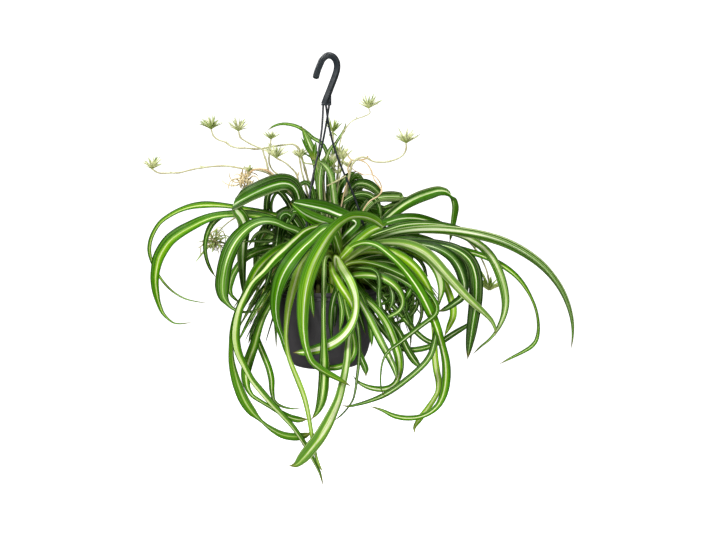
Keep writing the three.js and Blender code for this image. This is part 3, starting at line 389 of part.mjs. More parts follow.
function soilGeometry() {
  const g = 0.5;
  return geometryOf(
    facingOut(
      lathe([[0, POT_BASE_Z + WALL + 0.7], [POT_BASE_R - 3, POT_BASE_Z + WALL + 0.8], [49.2, POT_BASE_Z + 6], [57.5 - WALL - g, POT_BASE_Z + 14.5], [62.2 - WALL - g, POT_BASE_Z + 27], [67.8 - WALL - g, POT_BASE_Z + 56], [71.8 - WALL - g, POT_BASE_Z + 92], [71.9 - WALL - g, SOIL_Z - 1], [71.2 - WALL - g, SOIL_Z], [0, SOIL_Z]], POT_SIDES),
    ),
  );
}

function crownGeometry() {
  let s = null;
  for (const [cx, cy, rx, ry, rz] of CROWNS) {
    const g = new THREE.SphereGeometry(1, 20, 14);
    g.rotateX(Math.PI / 2);
    g.scale(rx, ry, rz);
    g.translate(cx, cy, SOIL_Z + 0.4);
    s = s ? s.add(solidOf(g)) : solidOf(g);
  }
  const cut = new THREE.BoxGeometry(200, 300, 100);
  cut.translate(0, 0, SOIL_Z + 0.4 - 50);
  // the packed bases stop short of the pot's wall
  const inside = new THREE.CylinderGeometry(CROWN_REACH, CROWN_REACH, 200, 64);
  inside.rotateX(Math.PI / 2);
  inside.translate(POT_X, 0, SOIL_Z);
  return geometryOf(s.subtract(solidOf(cut)).intersect(solidOf(inside)));
}

// ---- hanger ----
function hookGeometry() {
  const curve = new THREE.CatmullRomCurve3(HOOK_LINE.map(([x, z]) => new THREE.Vector3(x, 0, z)), false, "centripetal");
  const n = 34;
  const pts = curve.getSpacedPoints(n);
  const radii = pts.map((_, i) => (i === 0 ? HOOK_R * 0.72 : HOOK_R));
  let s = facingOut(rodGeometry(pts, radii, 12));
  // the neck widens into a block that the three arms are moulded under, with a fin up its right side
  const block = new THREE.Shape([new THREE.Vector2(-10.2, -64), new THREE.Vector2(4.4, -64), new THREE.Vector2(4.4, -48.2), new THREE.Vector2(1.4, -46.4), new THREE.Vector2(-3.6, -51), new THREE.Vector2(-8.6, -59.4)]);
  const g = new THREE.ExtrudeGeometry(block, { depth: 12, bevelEnabled: false });
  g.rotateX(Math.PI / 2);
  g.translate(0, 6, 0);
  s = s.add(solidOf(g));
  return geometryOf(s);
}

function armGeometry({ angle, path }) {
  const pts = path.map((p) => new THREE.Vector3(...p));
  let s = facingOut(rodGeometry(pts, pts.map(() => ARM_R), 8));
  const w = (angle * Math.PI) / 180;
  // an inverted U that hooks over the rim, drawn in radius and height
  const u = new THREE.Shape([[69.2, -309], [69.2, -321.5], [71.1, -321.5], [71.1, -316.4], [75.9, -316.4], [75.9, -328], [79, -328], [79, -309]].map(([r, z]) => new THREE.Vector2(r, z)));
  const g = new THREE.ExtrudeGeometry(u, { depth: CLIP_WIDTH, bevelEnabled: false });
  g.rotateX(Math.PI / 2);
  g.translate(0, CLIP_WIDTH / 2, 0);
  g.rotateZ(w);
  g.translate(POT_X, 0, 0);
  return geometryOf(s.add(solidOf(g)));
}

const root = new THREE.Group();
function place(name, geometry, [colour, roughness]) {
  const mesh = new THREE.Mesh(geometry, new THREE.MeshStandardMaterial({ color: colour, roughness, metalness: 0 }));
  mesh.name = name;
  root.add(mesh);
  return mesh;
}

place("pot", potGeometry(), COLOURS.pot);
place("soil", soilGeometry(), COLOURS.soil);
place("crown", crownGeometry(), COLOURS.crown);
place("hanger_hook", hookGeometry(), COLOURS.hook);
for (const [name, arm] of Object.entries(ARMS)) place(name, armGeometry(arm), COLOURS.hook);
for (const [name, members] of Object.entries(GROWN)) place(name, grownGeometry(members), name.startsWith("runner") ? COLOURS.runner : COLOURS.leaf);

export default root;
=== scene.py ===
import bpy, bmesh, math, random
import numpy as np
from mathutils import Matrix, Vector


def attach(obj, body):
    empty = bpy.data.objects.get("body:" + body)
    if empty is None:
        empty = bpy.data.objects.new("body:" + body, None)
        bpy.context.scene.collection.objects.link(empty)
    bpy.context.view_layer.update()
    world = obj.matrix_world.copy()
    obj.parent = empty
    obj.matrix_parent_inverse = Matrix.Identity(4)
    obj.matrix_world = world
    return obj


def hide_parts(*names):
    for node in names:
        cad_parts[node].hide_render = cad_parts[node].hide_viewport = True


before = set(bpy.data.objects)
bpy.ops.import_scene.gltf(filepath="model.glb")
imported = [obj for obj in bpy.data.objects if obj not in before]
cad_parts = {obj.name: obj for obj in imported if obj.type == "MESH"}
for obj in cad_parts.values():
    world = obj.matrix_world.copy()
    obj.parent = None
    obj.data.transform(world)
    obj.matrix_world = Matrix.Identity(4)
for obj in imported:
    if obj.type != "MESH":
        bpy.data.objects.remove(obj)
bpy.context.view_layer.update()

SEED = 20

# ------------------------------------------------------------------ camera
cam = bpy.data.cameras.new("photo_camera")
cam.sensor_width = 36.0
cam.lens = 71.07
cam.clip_end = 50
cam_ob = bpy.data.objects.new("photo_camera", cam)
bpy.context.scene.collection.objects.link(cam_ob)
cam_ob.location = (0.0413, -1.98054, -0.01698)
cam_ob.rotation_euler = (math.radians(82), 0, 0)
bpy.context.scene.camera = cam_ob

# ------------------------------------------------------------------ plant data, in millimetres
# A leaf: the node it stands for or "", its look, then stations x, y, z, the unit vector across the blade, half width.
LEAVES = {
 "leaf_left_outer_arch_blade": ("leaf_left_outer_arch", "outer", [], [-7,-8.6,-330.5,-0.98,0.01,0.19,3.2,-3.5,-8.2,-309.5,-0.99,-0.01,0.12,3.3,-2.9,-7.2,-291.9,-1,-0.03,-0.09,3.5,-5,-6.7,-281.5,-0.95,-0.06,-0.3,3.6,-11,-7.4,-268.7,-0.84,-0.09,-0.53,4,-21.6,-8.2,-254.5,-0.75,-0.1,-0.65,4.2,-36.3,-8.4,-239.4,-0.66,-0.18,-0.73,4.2,-47.3,-8.4,-230.7,-0.53,-0.37,-0.77,4.4,-62.4,-8.4,-222,-0.34,-0.59,-0.74,4.7,-78.8,-8.3,-215.8,-0.21,-0.7,-0.69,4.9,-95.7,-8.7,-211.7,-0.09,-0.74,-0.67,5,-116.3,-10.6,-208.1,-0.01,-0.77,-0.64,5,-136.6,-13.4,-204.3,0,-0.77,-0.64,4.9,-153.7,-16.1,-202,0.04,-0.66,-0.75,4.9,-174.2,-19.3,-201.3,0.1,-0.48,-0.87,5.3,-191.2,-21.3,-203.6,0.23,-0.6,-0.77,5.1,-204.3,-22.4,-207.8,0.32,-0.71,-0.63,5,-219.8,-23.7,-215.6,0.36,-0.77,-0.52,5.1,-233.6,-24.9,-226,0.48,-0.79,-0.38,4.9,-241.5,-25.8,-237.4,0.59,-0.77,-0.25,4.8,-246.9,-26.7,-250.3,0.67,-0.73,-0.16,4.6,-248.7,-27.6,-264,0.75,-0.66,0.08,4.3,-246.2,-28.4,-277.6,0.79,-0.55,0.28,3.2,-240.7,-29.1,-290.4,0.82,-0.36,0.44,2.3,-232.1,-30,-305.4,0.83,0.06,0.56,1.8,-223.2,-30.5,-316.1,0.63,0.5,0.6,1.7,-212.6,-31.1,-325,0.37,0.79,0.5,1.7,-200.4,-31.5,-331.6,0.19,0.89,0.41,1.8,-186.9,-31.8,-335.1,0.09,0.85,0.53,1.2,-169.6,-32,-337.4,0.14,0.47,0.87,0.4]),
 "leaf_left_broad_arch_blade": ("leaf_left_broad_arch", "outer", [], [-5.8,-17,-330.5,-0.97,0.01,0.22,3.2,-1.5,-16.7,-309.5,-0.99,-0.02,0.14,3.2,-0.8,-16.1,-295.4,-0.94,-0.35,-0.05,3.6,-3,-15.7,-285,-0.76,-0.58,-0.29,4.2,-10.5,-15.4,-273.1,-0.6,-0.63,-0.49,5,-20.5,-15.5,-263.1,-0.53,-0.58,-0.62,5.5,-35.9,-18.2,-248.5,-0.51,-0.56,-0.65,6,-49.4,-19.5,-237.2,-0.42,-0.66,-0.63,6.7,-64.3,-20.3,-228,-0.27,-0.76,-0.59,7.6,-80.5,-20.9,-221.4,-0.16,-0.81,-0.56,8.3,-97.3,-21.5,-216.9,-0.08,-0.85,-0.52,8.3,-114.5,-22.5,-214.5,0.11,-0.86,-0.5,8.4,-128.2,-26.5,-214.3,0.32,-0.81,-0.5,8.4,-144.8,-34.7,-214.3,0.44,-0.74,-0.51,8.5,-160.9,-44.1,-216.5,0.52,-0.67,-0.53,8.5,-173.3,-50.6,-220.7,0.52,-0.63,-0.58,8.7,-188.3,-55,-227.8,0.43,-0.57,-0.7,8.6,-203.4,-56.2,-236.1,0.49,-0.45,-0.74,8.7,-217,-57.4,-246.5,0.7,-0.26,-0.67,8.5,-225.5,-58.2,-257.4,0.84,-0.06,-0.54,8.3,-232,-58.9,-269.6,0.94,-0.03,-0.35,8,-235.3,-59.6,-283,0.96,-0.23,-0.15,7.3,-237.1,-60.3,-300.3,0.91,-0.41,0.01,7,-235.6,-60.9,-317.5,0.84,-0.52,0.15,6.4,-231.9,-61.3,-334.5,0.83,-0.5,0.24,4.2,-226.8,-61.6,-347.3,0.86,0.02,0.52,2.4,-220,-61.8,-355.1,0.55,0.54,0.63,1.7,-211.5,-61.9,-360.9,0.19,0.84,0.51,1.5,-204.6,-61.9,-361.6,-0.01,0.89,0.46,1.5,-187.4,-62,-359.4,-0.09,0.82,0.56,0.6]),
 "leaf_left_folded_blade": ("leaf_left_folded", "darklines", [18], [-9.5,-13.4,-330.7,-1,-0.01,0.09,3.8,-7.9,-13,-309.5,-0.98,0.21,0.04,4,-8,-11.9,-292,-0.94,0.31,-0.1,4.4,-10.4,-11,-278.2,-0.93,0.19,-0.3,4.5,-16.1,-10.4,-265.3,-0.87,0.16,-0.47,5.7,-22.5,-10.6,-252.8,-0.88,0.29,-0.38,7.1,-29.4,-13.4,-236.4,-0.87,0.41,-0.26,8.7,-36.9,-17,-216.5,-0.8,0.58,-0.14,10,-38.8,-18.5,-206.1,-0.76,0.65,0.04,10.9,-40.3,-21.4,-188.5,-0.9,0.42,-0.13,9.8,-44,-23.3,-178.8,-0.85,-0.02,-0.52,9.1,-48.5,-24.6,-173.5,-0.57,-0.29,-0.77,10.2,-54.5,-25.9,-170.2,-0.2,-0.43,-0.88,11.6,-64.7,-27.9,-169.1,0.15,-0.44,-0.89,12.7,-74.7,-29.9,-171.2,0.34,-0.38,-0.86,12.7,-93.8,-33.4,-178.4,0.42,-0.42,-0.8,12.7,-109.1,-36,-185.9,0.45,-0.56,-0.69,12.9,-123.9,-38.5,-194.2,0.55,-0.34,-0.77,8.6,-129.6,-39.4,-198,-0.92,-0.19,0.35,6.2,-125.1,-40.7,-207,-0.75,-0.3,-0.59,8,-118.5,-41.9,-214.7,-0.8,-0.38,-0.46,9.1,-114.5,-43.1,-224,-0.82,-0.57,-0.11,10.1,-114.1,-44.3,-234.1,-0.72,-0.69,0.12,10.7,-116.2,-46.8,-254.3,-0.65,-0.74,0.17,10,-117.2,-49,-271.2,-0.65,-0.75,0.09,9.1,-117,-50.8,-291.6,-0.65,-0.76,0.04,7.2,-116,-52.3,-312.1,-0.67,-0.75,0,4.7,-113.4,-53.8,-332.4,-0.65,-0.75,-0.07,0.6]),
 "leaf_left_front_hook_blade": ("leaf_left_front_hook", "mid", [], [-2.4,-28,-330.3,-0.97,0.02,0.23,3.8,2.1,-28.1,-309.5,-0.98,-0.01,0.18,3.8,3.9,-28.5,-295.5,-0.95,-0.32,0.02,4.1,3.5,-30,-284.7,-0.78,-0.61,-0.15,5.1,0,-27.9,-275.1,-0.69,-0.72,-0.08,6.3,-4.2,-25.4,-269.8,-0.53,-0.8,-0.28,7.3,-9.2,-25.6,-264.8,-0.23,-0.77,-0.6,8,-14.3,-30.8,-259.5,0.04,-0.54,-0.84,8.3,-19.3,-38.3,-253.9,-0.07,-0.65,-0.76,8.3,-21.9,-39.3,-251.4,-0.24,-0.77,-0.59,8.3,-32.4,-41,-242.3,-0.27,-0.82,-0.5,8.5,-43.9,-44.8,-234.7,-0.02,-0.83,-0.56,8.9,-56.7,-49.7,-229.5,0.05,-0.83,-0.55,8.3,-72,-55.8,-222,0.09,-0.83,-0.56,9.2,-81.8,-59.8,-219.9,0.32,-0.8,-0.5,9.8,-91.7,-64.3,-220.5,0.45,-0.78,-0.44,10.3,-103.8,-70.4,-225.1,0.6,-0.7,-0.4,10.8,-114,-75.9,-233,0.7,-0.59,-0.39,11,-124.7,-80.8,-245.5,0.78,-0.44,-0.44,11.1,-131.2,-83,-257.2,0.88,-0.32,-0.35,11.2,-137,-85.4,-272.9,0.95,-0.19,-0.24,10.5,-140.6,-87.8,-289.3,0.99,0.01,-0.16,10.2,-142.1,-90.1,-306,1,0.01,0,10,-140.4,-91.7,-319.3,0.95,0.02,0.3,7,-135.3,-92.9,-327.9,0.74,0.33,0.59,3.7,-128.1,-93.9,-335,0.48,0.69,0.54,2.7,-118.8,-94.6,-339,0.15,0.87,0.47,3.2,-108.8,-95,-340,0,0.9,0.43,3,-95.6,-95.3,-336.8,-0.22,0.84,0.5,2.4,-87.1,-95.3,-331.1,-0.43,0.74,0.52,0.7]),
 "leaf_left_inner_hook_blade": ("leaf_left_inner_hook", "bright", [], [-6.7,-22.9,-329.9,-0.97,0.01,0.24,3.2,-2,-22.8,-308.9,-0.99,-0.01,0.17,3.2,-0.6,-22.6,-294.7,-0.99,-0.16,0,3.4,-2.1,-21.8,-284.2,-0.89,-0.39,-0.26,3.7,-5.4,-20.8,-278.1,-0.7,-0.52,-0.48,4,-13.6,-20.6,-271.3,-0.34,-0.63,-0.7,4.4,-23.2,-22.5,-266.8,-0.15,-0.65,-0.75,4.8,-40.1,-25.8,-261.7,-0.08,-0.58,-0.81,5,-53.9,-28.5,-259.2,-0.01,-0.49,-0.87,5.1,-71.3,-31.8,-259,0.16,-0.41,-0.9,5.1,-84.9,-34.2,-261.3,0.28,-0.41,-0.87,5.1,-101.5,-36.8,-266.6,0.39,-0.37,-0.84,5.1,-113.7,-38.7,-273,0.59,-0.21,-0.78,4.9,-121.3,-40.4,-280,0.76,-0.07,-0.65,4.9,-129.2,-43.2,-291.2,0.88,0.01,-0.48,4.8,-134.3,-46,-303.9,0.96,0.05,-0.28,4.8,-135.8,-48.8,-317.4,0.98,0.12,0.15,3.5,-133.2,-50.2,-323.8,0.83,0.17,0.53,2.4,-128.3,-51.7,-328.6,0.62,0.2,0.76,1.9,-120.3,-53.8,-335.2,0.73,0.17,0.66,0.6]),
 "leaf_left_back_slim_blade": ("leaf_left_back_slim", "mid", [], [-11.4,5,-330,-0.98,0.01,0.21,3.2,-7.3,5,-308.8,-0.99,0,0.14,3.3,-6.4,5,-294.4,-1,-0.03,-0.03,3.4,-7.9,5,-283.8,-0.96,-0.06,-0.27,3.5,-12.4,5,-274.1,-0.82,-0.09,-0.56,3.6,-22.3,5.3,-263.9,-0.63,-0.13,-0.77,3.9,-33.9,5.7,-255.8,-0.52,-0.23,-0.82,4.1,-52.3,6.8,-245.1,-0.49,-0.35,-0.8,4.4,-70.7,8.1,-234.5,-0.47,-0.38,-0.8,4.4,-86.6,9.4,-226.7,-0.38,-0.4,-0.84,4.4,-103.4,10.6,-221.1,-0.25,-0.41,-0.88,4.5,-120.9,11.7,-217.6,-0.16,-0.42,-0.89,4.5,-135,12.5,-216,-0.06,-0.4,-0.91,4.5,-145.7,13.2,-217.1,0.25,-0.3,-0.92,4.4,-155.3,13.8,-221.8,0.55,-0.14,-0.82,4.3,-165.9,14.7,-231.6,0.81,0.01,-0.59,4.3,-171.2,15.3,-241.1,0.92,0.02,-0.4,4,-175.4,16.2,-255,0.98,-0.07,-0.18,3.4,-176.3,17.2,-269.4,1,-0.06,0.04,3,-175,17.9,-280.2,0.98,0.06,0.2,2.7,-170.6,18.8,-294,0.9,0.15,0.41,2.3,-161.8,20,-309.7,0.83,0.16,0.53,0.6]),
 "leaf_small_g_blade": ("", "dark", [], [-15.5,-2,-330,-0.99,-0.01,0.12,3.2,-13.4,-2,-308.5,-1,-0.01,0.07,3.3,-13.2,-2,-290.6,-0.99,0.1,-0.07,3.4,-15.6,-2,-276.5,-0.93,0.25,-0.27,3.7,-21.1,-2,-263.3,-0.87,0.2,-0.46,4,-30.3,-2,-248.1,-0.84,0.09,-0.54,4.2,-39.4,-2,-232.9,-0.87,0.14,-0.48,4.3,-49.2,-2,-214.1,-0.88,0.19,-0.44,4.4,-59.2,-2,-195.4,-0.85,-0.03,-0.53,4.2,-65.7,-2,-187,-0.68,-0.26,-0.69,4.3,-71.3,-2,-182.9,-0.4,-0.34,-0.85,4.3,-78.1,-2,-182,0.26,-0.3,-0.92,4.3,-81.2,-2,-183.7,0.61,-0.23,-0.76,4.3,-84.9,-2,-189.7,0.94,-0.07,-0.32,4.5,-86.4,-2,-196.6,0.99,0.02,-0.16,4.6,-87.4,-2,-214.3,1,0.06,0,4.3,-87.9,-2,-232,0.99,0.05,-0.09,3.7,-91.2,-2,-249.5,0.97,0.04,-0.24,0.7]),
 "leaf_small_g2_blade": ("", "thin", [], [-15.8,10,-330,1,0.01,-0.09,3.2,-14.2,10,-308.3,1,0.02,-0.05,3.4,-14.2,10,-290.3,1,0.04,0.07,3.5,-16.2,10,-276.1,0.97,0.09,0.22,3.6,-21.6,9.9,-259,0.9,0.26,0.35,3.6,-28.4,9.5,-242.4,0.86,0.36,0.35,3.7,-35.7,9,-222.2,0.83,0.47,0.31,3.6,-42.4,8.6,-205.8,0.84,0.34,0.43,3,-47.9,8.3,-196.6,0.81,0.02,0.59,2.7,-55,8.1,-188.7,0.61,-0.38,0.7,2.9,-64.3,7.8,-184,0.09,-0.68,0.73,3.1,-67.8,7.8,-184.2,-0.13,-0.74,0.66,3.3,-73.9,7.6,-187.7,-0.42,-0.79,0.45,3.5,-77.8,7.4,-193.5,-0.54,-0.8,0.28,3.4,-80.6,7.2,-203.8,-0.63,-0.77,0.09,3.1,-80.1,6.9,-218,-0.73,-0.69,-0.05,2.7,-78.6,6.4,-235.7,-0.88,-0.47,-0.09,1.8,-76.2,6,-253.3,-0.97,-0.17,-0.14,0.6]),
 "leaf_small_h_blade": ("", "dark", [], [-8.8,-22.6,-330.4,-0.98,0.01,0.2,3.2,-5.1,-22.4,-309.5,-0.99,0.01,0.13,3.2,-4.1,-22,-295.4,-1,-0.09,-0.01,3.3,-6.1,-20.8,-281.7,-0.91,-0.33,-0.23,3.6,-10.3,-19.8,-272.1,-0.78,-0.46,-0.42,4,-18.1,-21.2,-260.4,-0.64,-0.47,-0.61,4.6,-29.1,-25.8,-246.4,-0.68,-0.35,-0.64,5,-39.3,-30.4,-231.9,-0.79,-0.21,-0.58,5.2,-49.2,-34.3,-217.4,-0.73,-0.26,-0.63,5.6,-57,-36.1,-210.9,-0.13,-0.38,-0.92,5.7,-60.4,-36.5,-211.1,0.32,-0.39,-0.86,5.8,-63.3,-37,-212.8,0.65,-0.38,-0.66,5.8,-65.4,-37.4,-215.5,0.84,-0.36,-0.41,5.9,-67.6,-38.7,-225.5,0.93,-0.36,-0.06,5.7,-70.1,-40.7,-242.4,0.96,-0.23,-0.12,5.4,-73.5,-42.8,-262.7,0.98,0.01,-0.21,5.5,-77.9,-44.5,-279.4,0.96,-0.09,-0.26,4.3,-83,-46.2,-299.4,0.97,-0.02,-0.25,3.2,-88.8,-47.5,-319.4,0.96,0.02,-0.29,0.7]),
 "leaf_front_longest_blade": ("leaf_front_longest", "edge", [], [8.7,-41.9,-329.7,-0.98,0.01,0.18,3.8,12.9,-42.2,-305.4,-0.99,-0.05,0.16,3.9,16,-42.2,-281.1,-0.94,-0.31,0.1,4.3,16.4,-41.5,-267.3,-0.9,-0.43,-0.1,4.6,15.2,-47.3,-252.7,-0.81,-0.46,-0.36,5,12,-59.2,-234.4,-0.63,-0.53,-0.57,5.5,8.3,-63.9,-228.3,-0.19,-0.51,-0.84,5.6,1.7,-68,-226.8,0.22,-0.43,-0.87,6.1,-14.9,-75.6,-228.4,0.26,-0.2,-0.95,6.8,-27.3,-81.5,-232.6,0.54,-0.08,-0.84,7.5,-39.9,-88.4,-242.9,0.71,-0.17,-0.69,7.8,-54.5,-95.5,-255.7,0.66,-0.5,-0.55,7.9,-69.5,-100.1,-268.5,0.55,-0.75,-0.37,7.7,-82.9,-102.8,-283.3,0.45,-0.84,-0.3,7.4,-99.6,-105.2,-299.6,0.47,-0.84,-0.27,7.1,-107.7,-106.6,-314.3,0.54,-0.81,-0.2,7.8,-117,-108.6,-335.8,0.65,-0.75,-0.13,8,-120.5,-110.5,-352.1,0.74,-0.67,-0.01,7.9,-121.4,-113.9,-375.3,0.81,-0.57,0.16,7.6,-118.1,-116.6,-391.5,0.85,-0.39,0.35,6.2,-109.9,-119.8,-409.6,0.87,-0.13,0.47,4.7,-100.5,-122.7,-427.2,0.8,0.27,0.53,4.1,-90.2,-124.4,-440.3,0.71,0.52,0.48,4.7,-75.1,-125.8,-458.3,0.59,0.66,0.47,5,-59.3,-127,-475.8,0.49,0.75,0.44,4.9,-46,-127.9,-491,0.58,0.71,0.39,4.2,-38.2,-128.4,-502.1,0.61,0.68,0.39,4,-30.8,-128.9,-513.5,0.68,0.63,0.38,3.9,-19.4,-129.5,-534.5,0.71,0.6,0.36,3.2,-10.5,-129.9,-553.1,0.81,0.5,0.3,2.1,-5.3,-130,-573.2,0.94,0.3,0.17,0.4]),
 "leaf_left_lower_outer_blade": ("leaf_left_lower_outer", "bright", [], [-2.4,-29.7,-330,0.97,-0.02,-0.26,3.1,2.7,-30.2,-309.2,0.98,-0.02,-0.2,3.2,4.7,-32.1,-291.4,0.96,-0.3,-0.02,3.5,3,-33.4,-280.8,0.86,-0.45,0.25,4.1,-3.2,-36.9,-272,0.69,-0.49,0.53,4.6,-9,-37.7,-268,0.32,-0.52,0.79,4.9,-21.8,-33.7,-262.8,0.24,-0.52,0.82,5.4,-31.5,-34.8,-258.9,0.47,-0.5,0.73,5.7,-44.8,-39.8,-254.8,0.3,-0.5,0.81,6.1,-55,-43.7,-255.2,0.02,-0.5,0.86,6.4,-70.5,-49.9,-261.6,-0.31,-0.48,0.82,7,-81,-54.9,-269.6,-0.47,-0.4,0.79,7.3,-94.8,-64.8,-283.4,-0.58,-0.37,0.73,7.5,-103.1,-73.6,-297,-0.6,-0.55,0.58,7.3,-108.9,-81.1,-312,-0.52,-0.69,0.5,7.3,-116.1,-85.8,-326.9,-0.47,-0.79,0.39,7.1,-124.1,-88.3,-345.6,-0.48,-0.83,0.29,6,-129,-91,-365.3,-0.5,-0.85,0.17,5.3,-130.2,-93.4,-385.7,-0.52,-0.85,0.1,5.4,-129.5,-95.6,-406.1,-0.59,-0.81,0.02,6.4,-125.8,-97.5,-426.3,-0.79,-0.6,-0.14,6.7,-121,-98.9,-442.7,-0.91,-0.31,-0.29,6.9,-113,-100.4,-461.7,-0.88,-0.17,-0.45,7.1,-103.4,-101.4,-475.9,-0.74,-0.04,-0.67,6.2,-91.4,-102.2,-488.1,-0.63,0.31,-0.71,3,-75.2,-103,-500.9,-0.55,0.18,-0.81,4.2,-63.1,-103.4,-507.3,-0.34,-0.15,-0.93,4.9,-49.8,-103.7,-510.2,-0.09,-0.25,-0.96,5.4,-32.7,-103.9,-509,0.23,-0.24,-0.94,4.6,-20,-104,-503.6,0.48,-0.21,-0.85,0.5]),
 "leaf_small_x1_blade": ("", "mid", [], [-6.5,-31.8,-329.7,-0.97,0.02,0.24,3.1,-1.6,-32.2,-308.7,-0.98,0.01,0.19,3.2,0.2,-31.5,-294.7,-1,-0.07,0.03,3.3,-0.3,-31.1,-287.7,-0.94,-0.21,-0.26,3.4,-4.1,-31.9,-281.8,-0.45,-0.36,-0.82,3.6,-7.4,-32.6,-280.7,-0.1,-0.39,-0.92,3.7,-14.4,-34.1,-280.8,0.24,-0.42,-0.88,4,-24.4,-38,-283.3,0.45,-0.39,-0.81,4.3,-33.9,-43.9,-286.6,0.54,-0.34,-0.77,4.3,-48.7,-55.1,-293.7,0.67,-0.34,-0.66,4.3,-56.5,-60.7,-299.7,0.73,-0.37,-0.57,4.4,-65.8,-65.4,-309.3,0.75,-0.44,-0.5,4.4,-76.3,-68,-322.8,0.76,-0.4,-0.5,4.1,-86.3,-70.1,-336.9,0.84,-0.11,-0.53,4.1,-94.7,-71.8,-352,0.9,-0.01,-0.44,4.1,-103.4,-73.1,-371.1,0.91,-0.01,-0.41,3.3,-109.7,-73.5,-387.6,0.95,0.02,-0.3,0.5]),
 "leaf_left_lower_bright_blade": ("leaf_left_lower_bright", "bright", [], [-4.4,-36.1,-329.7,-0.96,0.02,0.26,3.1,0.8,-36.2,-309,-0.98,0.03,0.2,3.2,2.6,-36.6,-294.9,-0.96,-0.27,-0.02,3.4,1.6,-37,-287.9,-0.78,-0.54,-0.33,3.9,-2.8,-37.6,-282.6,-0.26,-0.7,-0.66,4.5,-6,-38.2,-281.3,-0.01,-0.72,-0.69,4.8,-16.3,-41,-280.8,0.42,-0.69,-0.59,5.5,-29.5,-48.5,-283.3,0.59,-0.67,-0.44,6,-41.7,-56.4,-288,0.63,-0.72,-0.29,6.5,-52.6,-64.5,-295.1,0.59,-0.79,-0.19,7,-61.5,-70.2,-305,0.55,-0.82,-0.15,7.2,-70.2,-73.7,-319.5,0.54,-0.83,-0.15,7.2,-80.4,-76.8,-337.1,0.54,-0.82,-0.18,7.3,-88.4,-79.4,-352.1,0.62,-0.77,-0.14,7.4,-95.3,-82.3,-371.3,0.73,-0.67,-0.13,7.3,-100,-84.5,-387.7,0.84,-0.51,-0.2,7.5,-107,-86.8,-407,0.9,-0.34,-0.27,7.6,-111.3,-88.5,-423.6,0.94,-0.32,-0.1,7.5,-111.4,-89.4,-433.9,0.93,-0.36,0.13,6.8,-108.5,-90.5,-447.3,0.94,-0.11,0.33,4,-103.2,-91.2,-456,0.67,0.42,0.62,3,-94.9,-91.8,-462.2,0.37,0.77,0.52,3.5,-80.2,-92.7,-471.1,0.31,0.85,0.42,4.2,-65.1,-93.3,-479.2,0.37,0.62,0.69,4.2,-52.8,-93.7,-485.4,0.37,0.33,0.87,4.5,-39.5,-93.9,-488.8,0.08,0.25,0.97,4.4,-25.7,-94,-488,-0.13,0.24,0.96,0.5]),
 "leaf_left_lower_slim_blade": ("leaf_left_lower_slim", "bright", [], [-6.7,-24.5,-330.6,-0.97,0.01,0.24,3.2,-2,-24.5,-309.6,-0.98,0.01,0.18,3.3,-0.3,-24.8,-295.4,-1,-0.04,-0.02,3.4,-1.5,-25.8,-288.3,-0.86,-0.12,-0.49,3.5,-3.9,-26.3,-285.7,-0.49,-0.15,-0.86,3.5,-7.3,-26.7,-284.9,-0.03,-0.18,-0.98,3.5,-14.1,-28.3,-286.1,0.36,-0.24,-0.9,3.5,-26.5,-35.1,-291.4,0.62,-0.41,-0.66,3.8,-38,-44.3,-297.8,0.73,-0.52,-0.45,4.2,-51.3,-56,-306.9,0.74,-0.6,-0.31,4.5,-58.8,-61.1,-313.1,0.6,-0.69,-0.4,4.6,-68.8,-62.2,-322.8,0.54,-0.72,-0.44,4.6,-80.4,-64.3,-335.5,0.6,-0.71,-0.37,4.6,-90.1,-66.5,-349.7,0.68,-0.69,-0.27,4.7,-95.5,-68.2,-362.3,0.75,-0.64,-0.16,4.6,-97.6,-69.8,-375.9,0.88,-0.46,0.11,4.4,-94.9,-70.9,-385.9,0.89,-0.25,0.38,4.5,-88.6,-72.6,-402,0.93,-0.02,0.37,4.5,-81.2,-74.5,-421.4,0.95,0.11,0.3,4.5,-78,-75.5,-434.9,0.99,0.08,0.13,4.5,-76.6,-76.7,-455.9,1,-0.04,0.07,3.3,-74.1,-77.2,-466,0.84,0.24,0.48,2.2,-69.5,-77.5,-471.2,0.54,0.52,0.67,2.2,-63.4,-77.7,-474.5,0.27,0.71,0.65,2.1,-49.8,-78,-477.5,0.06,0.73,0.68,1.4,-35.9,-78.1,-477.1,-0.06,0.46,0.88,0.4]),
